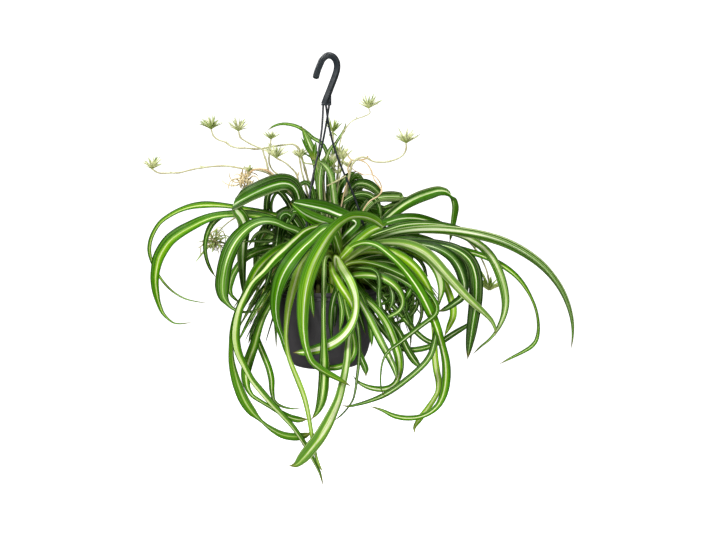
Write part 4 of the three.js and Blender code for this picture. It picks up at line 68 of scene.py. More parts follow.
 "leaf_front_left_broad_blade": ("leaf_front_left_broad", "thin", [], [10.6,-54.8,-328.4,-0.97,0.03,0.26,3.7,15.8,-54,-308.2,-0.97,-0.05,0.23,3.8,18.4,-53.3,-294.7,-0.95,-0.31,0.1,4.1,19.4,-54.9,-284.1,-0.84,-0.54,0.06,4.8,19,-54,-273.8,-0.71,-0.68,-0.21,5.6,17.8,-56.6,-266.6,-0.59,-0.7,-0.41,6.2,13.9,-62.9,-252.7,-0.47,-0.68,-0.56,6.9,9.7,-72.4,-238.5,-0.45,-0.68,-0.58,7.5,5.4,-78.6,-228.7,-0.05,-0.77,-0.63,8.7,2.4,-80.3,-227,0.23,-0.77,-0.59,9.2,-4.1,-83.9,-227.4,0.58,-0.75,-0.33,10.2,-9.5,-87.7,-230.9,0.69,-0.71,-0.14,10.8,-21.4,-97.7,-241.4,0.71,-0.67,-0.22,11.4,-33.4,-107.1,-251.6,0.75,-0.58,-0.32,11.6,-44.3,-114.5,-263.2,0.78,-0.46,-0.43,11.9,-52,-118.1,-273.6,0.81,-0.38,-0.45,12,-59.9,-119.4,-288.2,0.84,-0.43,-0.34,11.9,-65,-120.1,-304.1,0.8,-0.57,-0.17,11.2,-67.8,-120.7,-320.6,0.79,-0.61,-0.05,9.9,-67.9,-121.3,-337.4,0.84,-0.53,0.09,7.1,-65.1,-119.9,-354,0.93,-0.29,0.24,4.6,-60.3,-115.5,-370.1,0.95,-0.14,0.28,3.7,-55.9,-114.1,-386.6,0.97,-0.03,0.25,3.1,-51.3,-114.3,-399.8,0.92,0.07,0.39,2.3,-47.3,-119.7,-412.7,0.97,-0.01,0.23,0.5]),
 "leaf_front_pale_long_blade": ("leaf_front_pale_long", "underw", [], [6.1,-45.8,-329.9,0.96,-0.03,-0.28,3.1,11.8,-46.2,-309.5,0.97,-0.05,-0.24,3.2,14.9,-46.8,-292,0.96,-0.25,-0.08,3.4,14.6,-46.6,-281.6,0.9,-0.38,0.18,3.8,12.4,-46.5,-274.9,0.83,-0.4,0.38,4,5.4,-50.5,-266.9,0.71,-0.34,0.61,4.5,-0.8,-55.2,-263.3,0.58,-0.29,0.76,4.7,-10.8,-62.6,-260.7,0.27,-0.27,0.92,5,-20.7,-68.7,-261.9,-0.16,-0.29,0.94,5.3,-26.5,-72.1,-265,-0.41,-0.29,0.86,5.5,-33.3,-77.5,-271.8,-0.67,-0.3,0.68,5.9,-38.8,-84.6,-283.3,-0.83,-0.3,0.47,6.1,-43.5,-92.6,-298.7,-0.89,-0.28,0.37,6.3,-47.8,-98.6,-314.3,-0.84,-0.41,0.36,6.2,-51.9,-105.3,-333.5,-0.72,-0.62,0.3,5.8,-53.9,-110.6,-349.7,-0.67,-0.7,0.26,5,-54.7,-116.3,-369.3,-0.74,-0.66,0.16,3.9,-53.4,-120,-385.6,-0.87,-0.5,0,3.4,-50.6,-122.6,-398.4,-0.95,-0.25,-0.21,3,-45.8,-126.7,-410.3,-0.91,-0.02,-0.41,3.4,-38.1,-132.3,-428.2,-0.9,0.11,-0.42,3.9,-30.9,-137.1,-446.4,-0.94,0.07,-0.33,3.7,-26.5,-140.6,-462.2,-0.98,-0.01,-0.22,3.3,-22.8,-144.1,-481.6,-0.99,-0.04,-0.17,2.9,-19.5,-146.8,-501.3,-0.99,-0.01,-0.15,2.8,-15.8,-148.7,-521.1,-0.96,0.14,-0.25,2.3,-10.5,-149.6,-537.2,-0.9,0.16,-0.39,1.6,-4.1,-149.8,-549.3,-0.86,-0.02,-0.51,0.4]),
 "leaf_front_centre_folded_blade": ("leaf_front_centre_folded", "folded", [11], [17.5,-55.6,-328.8,-1,-0.02,-0.02,3.1,17.1,-56.1,-304.3,-0.94,-0.33,-0.05,3.3,16.7,-59.2,-283.1,-0.93,-0.35,-0.06,3.6,17.4,-60.6,-272.7,-0.91,0.13,0.4,4.2,23.7,-67.3,-263.7,-0.46,0.44,0.77,5.6,28.5,-69.2,-258.5,-0.77,0.52,0.37,6.5,30.8,-65.5,-256.5,-0.89,0.39,0.23,6.8,35.7,-55.6,-253,-0.85,0.45,0.27,7.2,40.7,-52.7,-248.6,-0.52,0.63,0.57,7.6,48.5,-55.7,-241.5,-0.26,0.64,0.72,8.3,59.7,-65.5,-232.7,-0.04,0.54,0.84,7.9,75.1,-79.5,-224.7,0.69,0.45,0.57,4.4,60.8,-92.8,-214.2,0.7,-0.53,0.48,9.4,44.7,-104.7,-208.7,0.52,-0.62,0.59,10.8,31.6,-112.1,-208.9,0.16,-0.66,0.74,10.3,17.5,-120.5,-216.5,-0.2,-0.62,0.76,10.2,4.2,-129.6,-230,-0.51,-0.53,0.68,10.4,-6.3,-136.8,-245.9,-0.7,-0.41,0.58,10.7,-16.9,-141.5,-265.7,-0.87,-0.28,0.41,11,-24.4,-143.5,-287.3,-0.92,-0.29,0.28,10.9,-28.9,-145.2,-309.8,-0.92,-0.37,0.14,9.9,-30.1,-146,-322.9,-0.92,-0.37,0.08,9.1,-30.7,-146.7,-336.1,-0.93,-0.36,0.04,8.2,-30.1,-147.8,-359.2,-0.98,-0.2,-0.09,6.1,-26,-148.7,-382.1,-0.96,0.16,-0.22,4.7,-19.6,-149.2,-397.3,-0.68,0.5,-0.54,5.5,-9.7,-149.5,-405.9,-0.45,0.57,-0.69,6.2,1.6,-149.7,-412.9,-0.43,0.49,-0.76,5.5,13.3,-149.9,-419,-0.4,0.41,-0.82,4.4,33.4,-150,-430.6,-0.47,0.55,-0.7,0.6]),
 "leaf_front_small_hook_blade": ("leaf_front_small_hook", "bright", [], [14.9,-56.1,-329,-1,-0.01,0,3.1,15.1,-56.7,-308,-1,-0.01,0.01,3.3,15.4,-59,-293.8,-1,0.02,0.05,3.4,15.9,-63.6,-286.2,-0.85,0.31,0.42,3.4,17,-65.6,-283.9,0.57,0.14,0.81,3.4,17.9,-67.2,-287,0.98,0.13,0.16,3.5,18.5,-69.1,-290.1,0.98,0.18,0.06,3.5,20,-77.8,-299.1,0.96,0.26,-0.15,3.6,21.3,-87.1,-307.9,0.92,0.36,-0.14,3.7,22.3,-90.2,-317.6,0.9,0.43,-0.01,3.9,24.4,-94.8,-330.4,0.9,0.43,0.06,4.1,28.7,-99.8,-346.1,0.9,0.41,0.18,4.3,31.9,-101.7,-359.1,0.92,0.37,0.11,4.3,35.1,-107.4,-371.4,0.94,0.33,0.06,4.3,36.8,-112.8,-383.9,0.98,0.19,-0.08,4.1,35.3,-116.3,-393.3,0.94,0.01,-0.34,4,30.3,-119.4,-401.4,0.74,-0.12,-0.66,4.1,22.3,-122.2,-406.9,0.44,-0.18,-0.88,4.2,12.7,-124.6,-409.5,0.16,-0.2,-0.97,4.2,-0.6,-127,-409.2,-0.09,-0.21,-0.97,3.7,-13.5,-128.6,-406.1,-0.43,-0.2,-0.88,2.7,-21.4,-129.2,-399.8,-0.67,-0.18,-0.72,0.5]),
 "leaf_small_p2_blade": ("", "bright", [], [10.5,-56.2,-328,-1,-0.01,0.06,2.5,11.5,-55.8,-310.5,-1,-0.06,0.06,2.5,12.3,-57.1,-296.2,-0.98,-0.2,0.01,2.6,12.7,-62.1,-284.9,-0.76,-0.33,-0.55,2.7,12.1,-63.3,-285.9,0.98,-0.05,-0.21,2.8,11.7,-64.5,-289.2,0.99,0.03,-0.12,2.9,11.4,-66.5,-292.4,0.99,0.08,-0.13,3,11.6,-79.1,-301.1,0.96,0.2,-0.19,3.3,12.8,-86.8,-306.8,0.94,0.34,-0.06,3.5,14.7,-90.1,-312.9,0.9,0.43,0.07,3.6,17.9,-97,-325.3,0.95,0.29,0.1,3.6,19.7,-100,-335.1,0.99,0.12,0.07,3.7,19.1,-102.2,-348.5,0.99,-0.01,-0.15,3.4,15.7,-103,-365.4,0.97,-0.03,-0.22,0.5]),
 "leaf_front_drop_blade": ("leaf_front_drop", "olive", [], [5.1,-57,-328.2,-0.99,0.01,0.15,2.5,8.1,-56.9,-307.5,-0.99,-0.07,0.11,2.5,9.1,-58.6,-293.4,-0.95,-0.33,-0.02,2.7,8.7,-58.5,-283,-0.81,-0.59,-0.01,3.3,7.1,-57.1,-276.5,-0.64,-0.71,-0.31,3.7,5.6,-58.5,-273.1,-0.34,-0.6,-0.73,3.9,3.8,-63.5,-269.6,0.02,-0.48,-0.88,4,1.3,-70.7,-266.5,0.48,-0.39,-0.78,4,-1.7,-78,-265.7,0.89,-0.24,-0.38,4,-3.1,-85.1,-267.8,0.99,-0.17,0.02,3.9,-4.1,-92.2,-273.6,0.96,-0.29,0.08,3.6,-4.4,-97,-283.1,0.99,-0.12,0.06,3.4,-4.5,-106,-302.2,1,-0.06,0.02,3.4,-4.7,-114.3,-321.2,1,-0.06,0.02,3.4,-4.8,-121.7,-340.3,1,-0.04,0.02,3.3,-4.5,-128.1,-359.5,1,0.01,0.02,3.5,-4,-134.3,-382,1,0.02,0.01,5.2,-3.6,-138.6,-401.5,1,0.02,0.01,7,-4,-141.9,-421.1,1,0.01,-0.06,7.3,-5.7,-144.2,-440.9,0.99,-0.01,-0.13,7.2,-8.4,-145.3,-454,0.96,-0.05,-0.29,6.1,-13.7,-145.9,-466.4,0.86,-0.18,-0.48,3.4,-21.9,-146.1,-477,0.66,-0.43,-0.62,0.4]),
 "leaf_front_curl_blade": ("leaf_front_curl", "curl", [], [11.5,-64.5,-328,-1,-0.02,-0.04,3.4,10.7,-63.9,-307.1,-0.98,-0.17,-0.02,3.5,10.3,-64.7,-293,-0.94,-0.33,-0.07,3.6,10.1,-65.2,-282.5,-0.96,-0.27,-0.02,3.6,10.2,-67.6,-271.8,-0.98,0.16,0.11,3.6,10.6,-68.5,-268.2,-0.74,0.5,0.45,3.8,12.1,-68.7,-267.5,0.47,0.7,0.54,4.3,13.4,-68.5,-270.7,0.69,0.64,0.35,5.2,14.6,-67.7,-274.1,0.68,0.61,0.41,6,17.3,-66.6,-280.6,0.74,0.63,0.23,7.3,20.8,-72.1,-285.8,0.93,0.37,-0.01,7.9,22.7,-78,-287.8,0.96,0.29,-0.02,7.9,28.3,-95.7,-294,0.92,0.4,0.04,8,31.4,-100.4,-299.4,0.85,0.51,0.09,7.9,35,-106.6,-308.1,0.88,0.46,-0.1,7.7,37.4,-113.5,-316.9,0.86,0.5,-0.11,7,38.3,-118.9,-329.6,0.92,0.34,-0.17,5.8,36.2,-123.2,-342.3,0.96,-0.06,-0.27,5.6,31,-126.3,-354.3,0.82,-0.41,-0.4,6.6,25.1,-127.6,-362.3,0.7,-0.45,-0.56,7.1,15.1,-127.8,-371.3,0.55,-0.28,-0.79,7.4,0.3,-127.8,-379.5,0.4,-0.17,-0.9,7.7,-15.6,-127.5,-384.9,0.24,-0.18,-0.95,7,-32.1,-126.8,-388.3,0.17,-0.19,-0.97,4.9,-45.5,-125.9,-388.9,-0.1,-0.2,-0.97,0.7]),
 "leaf_small_s_blade": ("", "lime", [], [6.8,-65.4,-327.2,-1,-0.03,-0.05,3.1,5.8,-66.3,-306.4,-0.99,-0.13,-0.05,3.1,5.1,-68,-289,-0.96,-0.26,-0.06,3.3,4.4,-67.5,-275.4,-1,0.1,0,3.4,4.6,-67.5,-277.6,0.94,0.3,-0.14,3.7,5.1,-72,-280.4,0.98,0.14,-0.14,4,5.7,-79.9,-282.7,0.98,0.13,-0.16,4.3,8,-97.9,-286.6,0.97,0.22,-0.08,5,9.6,-103.7,-288.8,0.92,0.38,0.05,5.4,11.3,-105.2,-291.5,0.81,0.53,0.27,5.6,17.9,-107.3,-302.8,0.77,0.46,0.44,5.9,25.6,-107.9,-313.8,0.78,0.29,0.55,5.7,32.1,-108,-325.5,0.89,0.31,0.33,4.9,36.3,-110.2,-338,0.88,0.45,0.18,3.5,40,-111.1,-354.3,0.94,0.29,0.19,0.6]),
 "leaf_front_olive_long_blade": ("leaf_front_olive_long", "oliveband", [], [16.9,-64.5,-328.6,1,0.01,-0.01,3.1,17.2,-65.5,-311,0.99,-0.13,-0.03,3.2,18,-65.7,-293.6,0.99,-0.08,-0.08,3.3,18.9,-64.4,-286.9,0.93,0.21,-0.29,3.4,20.2,-64.1,-283.8,0.34,0.36,-0.87,3.6,22.6,-64.4,-285.5,-0.49,0.56,-0.67,4,24.2,-66,-288.4,-0.56,0.52,-0.64,4.5,27.9,-75.4,-296.7,-0.41,0.41,-0.82,5.9,31.3,-88.1,-304.6,-0.42,0.46,-0.78,6,34.7,-95.8,-313.1,-0.53,0.62,-0.57,6.1,37.3,-99.4,-322.5,-0.69,0.68,-0.24,5.8,38.4,-100.6,-336,-0.85,0.52,-0.01,4.8,37.3,-101,-346.1,-0.95,0.28,0.15,4.2,34.5,-105,-355.3,-0.94,0.07,0.33,4,30,-112.1,-366.9,-0.97,0.07,0.24,4,28,-117.8,-379.4,-0.98,0.21,0.01,4.5,26.3,-124.7,-398.5,-0.98,0.2,0.04,4.8,23.9,-129.9,-414.3,-0.98,0.04,0.19,5.1,19.9,-135.7,-433.1,-0.97,-0.11,0.23,5.5,15.8,-140.3,-448.7,-0.89,-0.26,0.38,6.3,8.2,-145.2,-466.5,-0.84,-0.26,0.48,7.4,0.7,-148.8,-480.8,-0.87,-0.01,0.49,8,-9.5,-152.5,-497.5,-0.83,0.12,0.54,8.5,-21.8,-155.3,-513,-0.77,0.14,0.62,8.6,-32.5,-156.9,-525.7,-0.72,0.16,0.67,7.5,-42.4,-157.6,-534.7,-0.51,0.18,0.84,3.6,-48.7,-157.8,-535.5,0.3,0.18,0.94,1.4,-51.7,-157.8,-534,0.46,0.15,0.87,0.5]),
 "leaf_small_xx_blade": ("", "mid", [], [19.4,-60.2,-328.4,-1,-0.01,0.01,3.1,19.7,-60.6,-307.5,-1,-0.03,0.02,3.3,20.5,-61.2,-290.1,-0.99,0.11,0.09,3.4,22.3,-60.8,-284.2,0.12,0.61,0.79,3.6,23.6,-60.8,-287.3,0.8,0.56,0.23,3.7,25.9,-63,-297.1,0.81,0.58,-0.03,4.3,28.4,-70.5,-309.5,0.82,0.5,-0.28,4.4,30.6,-81.3,-321.4,0.83,0.46,-0.31,4.3,31.7,-88.6,-330.5,0.84,0.5,-0.23,4.1,31.6,-92.8,-343.5,0.85,0.5,-0.15,3.9,32,-96.3,-360,0.8,0.6,-0.01,4.2,35.3,-100,-372.6,0.79,0.6,0.07,4.2,40.9,-104.6,-387.8,0.91,0.33,0.23,3.9,46.7,-107.6,-403.3,0.91,0.1,0.4,4.5,51.6,-108.9,-415.8,0.98,0.04,0.21,4.2,52.1,-109.2,-426,1,-0.01,-0.04,0.7]),
 "leaf_top_flat_folded_blade": ("leaf_top_flat_folded", "edge2", [16], [3,-20.1,-330,-0.99,-0.04,-0.1,3.8,1.1,-19.8,-308.5,-0.98,-0.21,-0.06,4,0.9,-19,-290.7,-0.97,-0.23,0.07,4.2,2.4,-19,-280.1,-0.97,-0.01,0.24,4.2,7.9,-21.6,-266.6,-0.77,0.33,0.54,4.8,16.1,-25.8,-254.4,-0.6,0.5,0.63,5.7,25.2,-29.9,-243,-0.54,0.54,0.65,6.3,35.2,-32.4,-232.7,-0.69,0.2,0.69,5.6,39.5,-33.4,-227.1,-0.94,-0.22,0.27,5.7,39.6,-33.8,-223.6,-0.84,-0.43,-0.32,6,37.5,-34.3,-220.8,-0.52,-0.57,-0.64,6.8,28.2,-35.6,-215.8,-0.17,-0.69,-0.71,8.8,15.2,-37.7,-210.4,-0.29,-0.53,-0.8,9.6,-0.9,-40.7,-203.6,-0.2,-0.44,-0.88,9.5,-17.8,-44,-199.6,-0.05,-0.59,-0.8,9.4,-34.9,-46.2,-196.2,-0.1,-0.51,-0.85,6.4,-45.1,-47.4,-194.5,-0.76,0.16,0.63,3.4,-42.3,-48.2,-200.7,-0.79,-0.02,-0.61,4.1,-37.2,-49.1,-205.1,-0.54,0.17,-0.82,5.5,-25.2,-51,-211.9,-0.41,0.17,-0.89,7.1,-9.3,-53.6,-218.3,-0.31,-0.09,-0.95,7,7.3,-56.6,-222.9,-0.33,-0.11,-0.94,5.4,19.4,-59.4,-229,-0.55,-0.1,-0.83,0.7]),
 "leaf_small_bb2_blade": ("", "bright", [], [2.4,-20.7,-329.9,-0.99,0,0.11,3.2,4.5,-20.6,-312.1,-0.99,-0.09,0.11,3.2,6.4,-20.5,-294.3,-0.91,-0.41,0.09,3.7,8.1,-21.2,-276.5,-0.81,-0.58,-0.05,4.4,8.6,-24.9,-265.3,-0.78,-0.58,-0.25,4.9,7.9,-30.6,-254.1,-0.71,-0.57,-0.4,5.3,4.6,-38.2,-239.5,-0.62,-0.61,-0.5,5.7,1.4,-40.8,-233,-0.54,-0.62,-0.57,5.8,-3.6,-42.3,-228.2,-0.32,-0.55,-0.77,5.8,-13.3,-44.4,-224.2,-0.31,-0.36,-0.88,5.8,-25.3,-46.8,-217.3,-0.56,-0.14,-0.82,5.8,-38.8,-48.8,-206.2,-0.65,-0.1,-0.75,4.3,-51.9,-49.5,-195,-0.64,-0.1,-0.77,0.7]),
 "leaf_small_b1_blade": ("", "dim", [], [-10.8,-26.1,-330.3,-0.98,0.01,0.2,2.5,-7.5,-26.1,-312.6,-0.99,0.01,0.16,2.6,-6,-25.8,-294.8,-1,-0.08,-0.02,2.7,-7.5,-24.7,-284.4,-0.91,-0.33,-0.25,2.9,-10.5,-24.5,-277.9,-0.72,-0.51,-0.48,3.1,-17.8,-25.4,-270.2,-0.41,-0.65,-0.65,3.6,-26.7,-27.1,-264.3,-0.26,-0.67,-0.7,3.8,-45.3,-31.7,-253.9,-0.22,-0.67,-0.71,3.8,-60.9,-36.1,-245.9,-0.15,-0.65,-0.74,3.8,-73.9,-39.5,-240.5,-0.21,-0.55,-0.81,3.5,-86.8,-43.1,-235.6,0.05,-0.35,-0.94,3.2,-93.5,-45,-236.7,0.4,-0.22,-0.89,2.9,-99.3,-47.1,-240.2,0.68,-0.1,-0.73,2.6,-103.6,-49.3,-245.3,0.83,-0.02,-0.56,2.2,-109.8,-53.7,-257.3,0.91,0.02,-0.42,0.5]),
 "leaf_small_b2_blade": ("", "dim", [], [-8.7,-30.4,-329.9,-0.98,0.01,0.22,2.2,-4.4,-30.2,-308.9,-0.99,0.02,0.15,2.3,-3.4,-29.8,-294.7,-0.98,-0.18,-0.04,2.4,-5.4,-29.6,-284.3,-0.8,-0.52,-0.29,2.7,-9,-29.1,-278.2,-0.6,-0.68,-0.41,3.1,-16.9,-28.3,-271.3,-0.36,-0.8,-0.48,3.5,-29.1,-28.5,-264.2,-0.22,-0.82,-0.53,3.7,-44.6,-31.8,-255.7,-0.05,-0.81,-0.58,3.7,-54.3,-34.9,-251.6,0.08,-0.81,-0.58,3.8,-68,-39.1,-249.5,0.21,-0.79,-0.58,3.7,-85.2,-44.2,-249.2,0.2,-0.71,-0.67,3.2,-102.2,-50.4,-248.4,0.19,-0.53,-0.83,2.3,-119,-57.3,-248.5,0.12,-0.25,-0.96,0.6]),
 "leaf_small_b3_blade": ("", "dim", [], [-11.2,-10.9,-330.8,0.98,-0.01,-0.22,2.5,-7.5,-10.6,-313.2,0.98,0.02,-0.17,2.6,-5.9,-9.7,-295.5,1,0.03,0.04,2.7,-8.1,-9,-285.1,0.89,-0.15,0.42,2.9,-12.2,-8.5,-279.4,0.64,-0.3,0.71,3.1,-18,-8.5,-275.4,0.47,-0.41,0.78,3.5,-27.8,-10.6,-271.2,0.4,-0.46,0.79,3.8,-47.8,-15.7,-264,0.41,-0.46,0.78,3.9,-61.3,-18.9,-259.9,0.27,-0.46,0.85,3.9,-75.2,-22,-258.8,0.07,-0.38,0.92,3.6,-89,-25,-259.8,-0.06,-0.26,0.96,3.2,-106,-29.2,-262.4,-0.18,-0.05,0.98,2.3,-122.5,-33.8,-266.7,-0.31,0.09,0.95,0.6]),
 "leaf_small_b4_blade": ("", "dim", [], [-11.1,-10.8,-330.5,-0.97,0.01,0.23,2.5,-7.3,-10.5,-312.9,-0.98,0.02,0.18,2.6,-5.8,-9.8,-298.7,-1,-0.04,-0.01,2.7,-7.7,-9.1,-288.3,-0.86,-0.33,-0.38,2.9,-12.2,-8.8,-282.8,-0.51,-0.54,-0.67,3.2,-18.5,-9.3,-279.5,-0.18,-0.65,-0.74,3.6,-28.7,-11.6,-276.7,0,-0.69,-0.73,3.9,-46,-15.4,-272.8,-0.04,-0.69,-0.72,3.9,-63.3,-18.8,-270,0.09,-0.68,-0.73,3.9,-77.3,-20.9,-270.7,0.15,-0.6,-0.78,3.7,-94.7,-23.6,-270.5,-0.04,-0.52,-0.85,3.1,-108.4,-26.3,-267.8,-0.05,-0.47,-0.88,2.3,-125.6,-30.1,-265.8,-0.03,-0.26,-0.96,0.6]),
 "leaf_small_c1_blade": ("", "dim", [], [-11.1,-2.7,-329.9,0.99,0,-0.14,2.5,-8.7,-2.7,-311.9,0.99,0.06,-0.11,2.6,-7.7,-2.7,-293.8,0.91,0.42,0.02,2.9,-8.5,-3,-282.9,0.8,0.58,0.13,3.3,-12.3,-3.2,-269,0.78,0.53,0.33,3.4,-20.2,-3.9,-252.8,0.8,0.4,0.44,3.5,-27.9,-4.7,-236.5,0.85,0.41,0.34,3.7,-32.6,-5.3,-222.9,0.89,0.33,0.32,3.6,-37.1,-5.3,-213.3,0.79,0.21,0.58,3.5,-42.5,-5.2,-208.7,0.37,0.15,0.92,3.5,-45.9,-5.2,-208,0.04,0.12,0.99,3.5,-52.8,-5.2,-209.7,-0.4,0.08,0.91,3.2,-61.6,-5.2,-215.7,-0.68,0.04,0.73,2.9,-71,-5.5,-226.5,-0.78,0.02,0.63,0.6]),
 "leaf_small_c2_blade": ("", "dim", [], [-8.4,-22.5,-329.9,-0.99,0,0.15,3.2,-5.4,-22.3,-308.6,-0.99,0.06,0.1,3.2,-4.6,-21.6,-290.8,-1,-0.07,-0.04,3.4,-5.8,-20.7,-280.2,-0.95,-0.27,-0.16,3.6,-10.4,-19.8,-266.9,-0.82,-0.41,-0.39,4.1,-17.1,-22,-254.1,-0.78,-0.33,-0.53,4.6,-25.7,-26.6,-238.1,-0.88,-0.11,-0.45,5,-33.4,-30.4,-221.9,-0.87,-0.13,-0.48,5.4,-39,-32,-212.9,-0.71,-0.32,-0.63,5.8,-44.4,-33,-208.5,-0.16,-0.41,-0.9,6.1,-47.7,-33.5,-208.8,0.39,-0.37,-0.84,6.2,-50.4,-33.9,-210.9,0.71,-0.3,-0.64,6.4,-54.3,-34.8,-216.7,0.87,-0.19,-0.45,6.3,-61,-36.9,-232.7,0.93,-0.18,-0.3,5.8,-64.3,-38.4,-246.3,0.9,-0.43,-0.09,4.6,-66.2,-40.2,-263.6,0.86,-0.5,-0.02,3.2,-66.7,-41.8,-281.1,0.98,-0.18,0.03,0.6]),
 "leaf_right_front_slope_blade": ("leaf_right_front_slope", "silver", [], [19.5,-60.5,-328.3,-1,-0.02,-0.08,3.1,18.1,-61.1,-307.4,-0.99,-0.09,-0.06,3.2,17.7,-62.1,-293.4,-1,0.03,0.04,3.3,19,-62.4,-286.7,-0.3,0.5,0.81,3.5,21.5,-62.4,-288.5,0.62,0.6,0.51,3.8,24.9,-63.8,-294.3,0.79,0.59,0.18,4.5,29.4,-69.9,-302.8,0.83,0.55,-0.12,5.2,35.7,-82.3,-313.1,0.83,0.55,-0.09,5.4,40.7,-89.1,-321,0.77,0.63,0.08,5.4,49.3,-96.8,-334.5,0.8,0.55,0.25,5.6,57.5,-103.1,-348.3,0.86,0.41,0.29,5.7,66.3,-109.8,-365.5,0.9,0.26,0.36,5.5,73.8,-114.4,-379.9,0.89,0.1,0.45,5.3,83.2,-118.7,-397.1,0.89,0.07,0.45,4.6,90,-120.9,-412.2,0.95,0.04,0.32,3.6,93.7,-121.6,-428.8,0.99,0.01,0.16,0.5]),
 "leaf_right_front_hook_blade": ("leaf_right_front_hook", "silver", [], [20.3,-55.9,-328.7,-1,-0.03,-0.09,3.1,18.8,-56.9,-311.1,-0.99,-0.14,-0.09,3.3,17.9,-58.1,-293.4,-0.99,-0.1,-0.02,3.4,18.2,-59,-286.3,-0.86,0.33,0.39,3.5,20.2,-58.8,-284.8,0.2,0.63,0.75,3.6,22.1,-58.5,-287.7,0.65,0.64,0.4,3.9,23.6,-58.6,-290.8,0.7,0.65,0.29,4.3,28,-60.9,-300,0.67,0.74,-0.02,5.4,32.8,-67.6,-308.3,0.71,0.69,-0.13,5.8,36.7,-70.5,-313.6,0.47,0.86,0.2,5.9,41.4,-71.3,-318.5,0.47,0.86,0.22,6.1,52.2,-77.8,-326.1,0.67,0.73,0.12,6.7,60,-85.2,-331.6,0.76,0.65,0.08,6.9,69.2,-94.2,-340.2,0.72,0.68,0.18,7,77.2,-99.2,-350.5,0.72,0.64,0.28,7,84.9,-101.9,-365.4,0.82,0.5,0.27,7.1,91.8,-104.6,-384.4,0.89,0.38,0.24,7.2,96.3,-106.5,-400.7,0.91,0.41,0.12,7.1,97.1,-107.7,-414.2,0.9,0.42,-0.08,6.4,95.1,-108.8,-427.7,0.94,0.09,-0.32,4.2,92.1,-109.2,-433.8,0.8,-0.25,-0.54,3.8,84.5,-109.8,-440.5,0.37,-0.66,-0.65,4.5,78,-110.1,-442.6,0.15,-0.75,-0.64,5.1,64.5,-110.7,-442.3,-0.09,-0.72,-0.69,4.8,51.4,-111,-438.5,-0.28,-0.68,-0.68,3.6,39.9,-111.2,-431.2,-0.54,-0.64,-0.55,2,33.9,-111.3,-422.8,-0.72,-0.54,-0.43,0.4]),
 "leaf_right_short_curl_blade": ("leaf_right_short_curl", "bright", [], [20.3,-51.9,-328.7,-1,-0.02,-0.04,3.1,19.6,-52.1,-307.5,-0.99,-0.15,-0.04,3.3,19.1,-54.3,-289.5,-1,-0.09,-0.02,3.4,19.1,-54.5,-286,-0.98,0.15,0.15,3.4,19.6,-54,-286.9,0.7,0.63,0.34,3.5,20.1,-53.1,-290.5,0.84,0.48,0.24,3.7,23.4,-52.5,-300.5,0.49,0.75,0.44,4.8,26.7,-53.4,-300.8,0.15,0.81,0.57,5.2,32.9,-56.4,-297.2,0.06,0.73,0.68,5.8,43.1,-62,-294.3,0.18,0.67,0.71,5.9,56.9,-65.6,-293.5,0.16,0.58,0.8,6.1,70.5,-70.4,-295.2,0.39,0.46,0.8,6.2,82.9,-75.3,-300.3,0.58,0.45,0.68,6.2,93.3,-79.8,-308.6,0.72,0.56,0.42,6,99.1,-82.8,-316.7,0.76,0.63,0.18,5.4,101.8,-85.4,-326.3,0.88,0.48,-0.07,4,100.9,-86.9,-332.9,0.92,0.16,-0.35,3.1,97.4,-88.2,-338.7,0.74,-0.25,-0.62,2.8,89.1,-89.7,-344.4,0.4,-0.62,-0.68,3.2,79.4,-90.7,-347.8,0.21,-0.61,-0.76,2.6,65.7,-91.2,-348.3,-0.05,-0.36,-0.93,0.5]),
 "leaf_right_long_curl_blade": ("leaf_right_long_curl", "bright", [], [18.9,-54.4,-328.3,-1,-0.02,-0.06,2.8,17.5,-54.5,-303.8,-0.97,-0.24,-0.04,3.1,17.3,-54.1,-289.9,-0.93,-0.33,0.14,3.3,18.4,-46.1,-277.1,-0.97,-0.09,0.24,3.1,20.6,-46.5,-270.4,-0.87,0.17,0.47,3.1,24.3,-52.7,-263.7,-0.55,0.32,0.77,3.4,29.1,-61,-257.6,-0.26,0.52,0.82,4.2,38,-65.8,-251.9,0.04,0.65,0.76,5,51.3,-72.5,-248,0.21,0.72,0.66,5.6,64.5,-77.8,-249.9,0.52,0.69,0.51,6,81.1,-86.8,-260.5,0.66,0.66,0.35,6.6,98.2,-96.4,-275.4,0.69,0.63,0.37,6.8,113.1,-102.6,-293,0.75,0.5,0.43,7,126,-106.8,-312.3,0.83,0.35,0.43,7,136.7,-108.7,-333.3,0.83,0.35,0.43,7.1,140.8,-107.4,-343,0.86,0.43,0.27,7,145.5,-114.9,-354.4,0.89,0.46,-0.03,6.9,148.6,-119.1,-363.3,0.75,0.62,0.22,6.9,150.6,-117,-370.3,0.65,0.59,0.48,6.9,153.5,-113.5,-380.9,0.72,0.67,0.17,6.9,158.6,-116.6,-403.7,0.83,0.55,0.03,7,159.5,-118.9,-423.8,0.92,0.38,-0.07,6.7,155.9,-121.4,-447,0.92,0.23,-0.31,5.8,148.8,-123.2,-462.2,0.8,-0.25,-0.54,4.3,139,-124.7,-471.3,0.44,-0.71,-0.55,4.1,123.6,-126.5,-477.7,0.2,-0.84,-0.5,4.7,106.7,-128.3,-478.6,0.03,-0.7,-0.71,4.3,90.2,-130.2,-475.1,-0.24,-0.55,-0.8,3.7,71.8,-132.3,-465.8,-0.35,-0.61,-0.71,2.1,56,-134.1,-460.1,-0.05,-0.56,-0.83,0.4]),
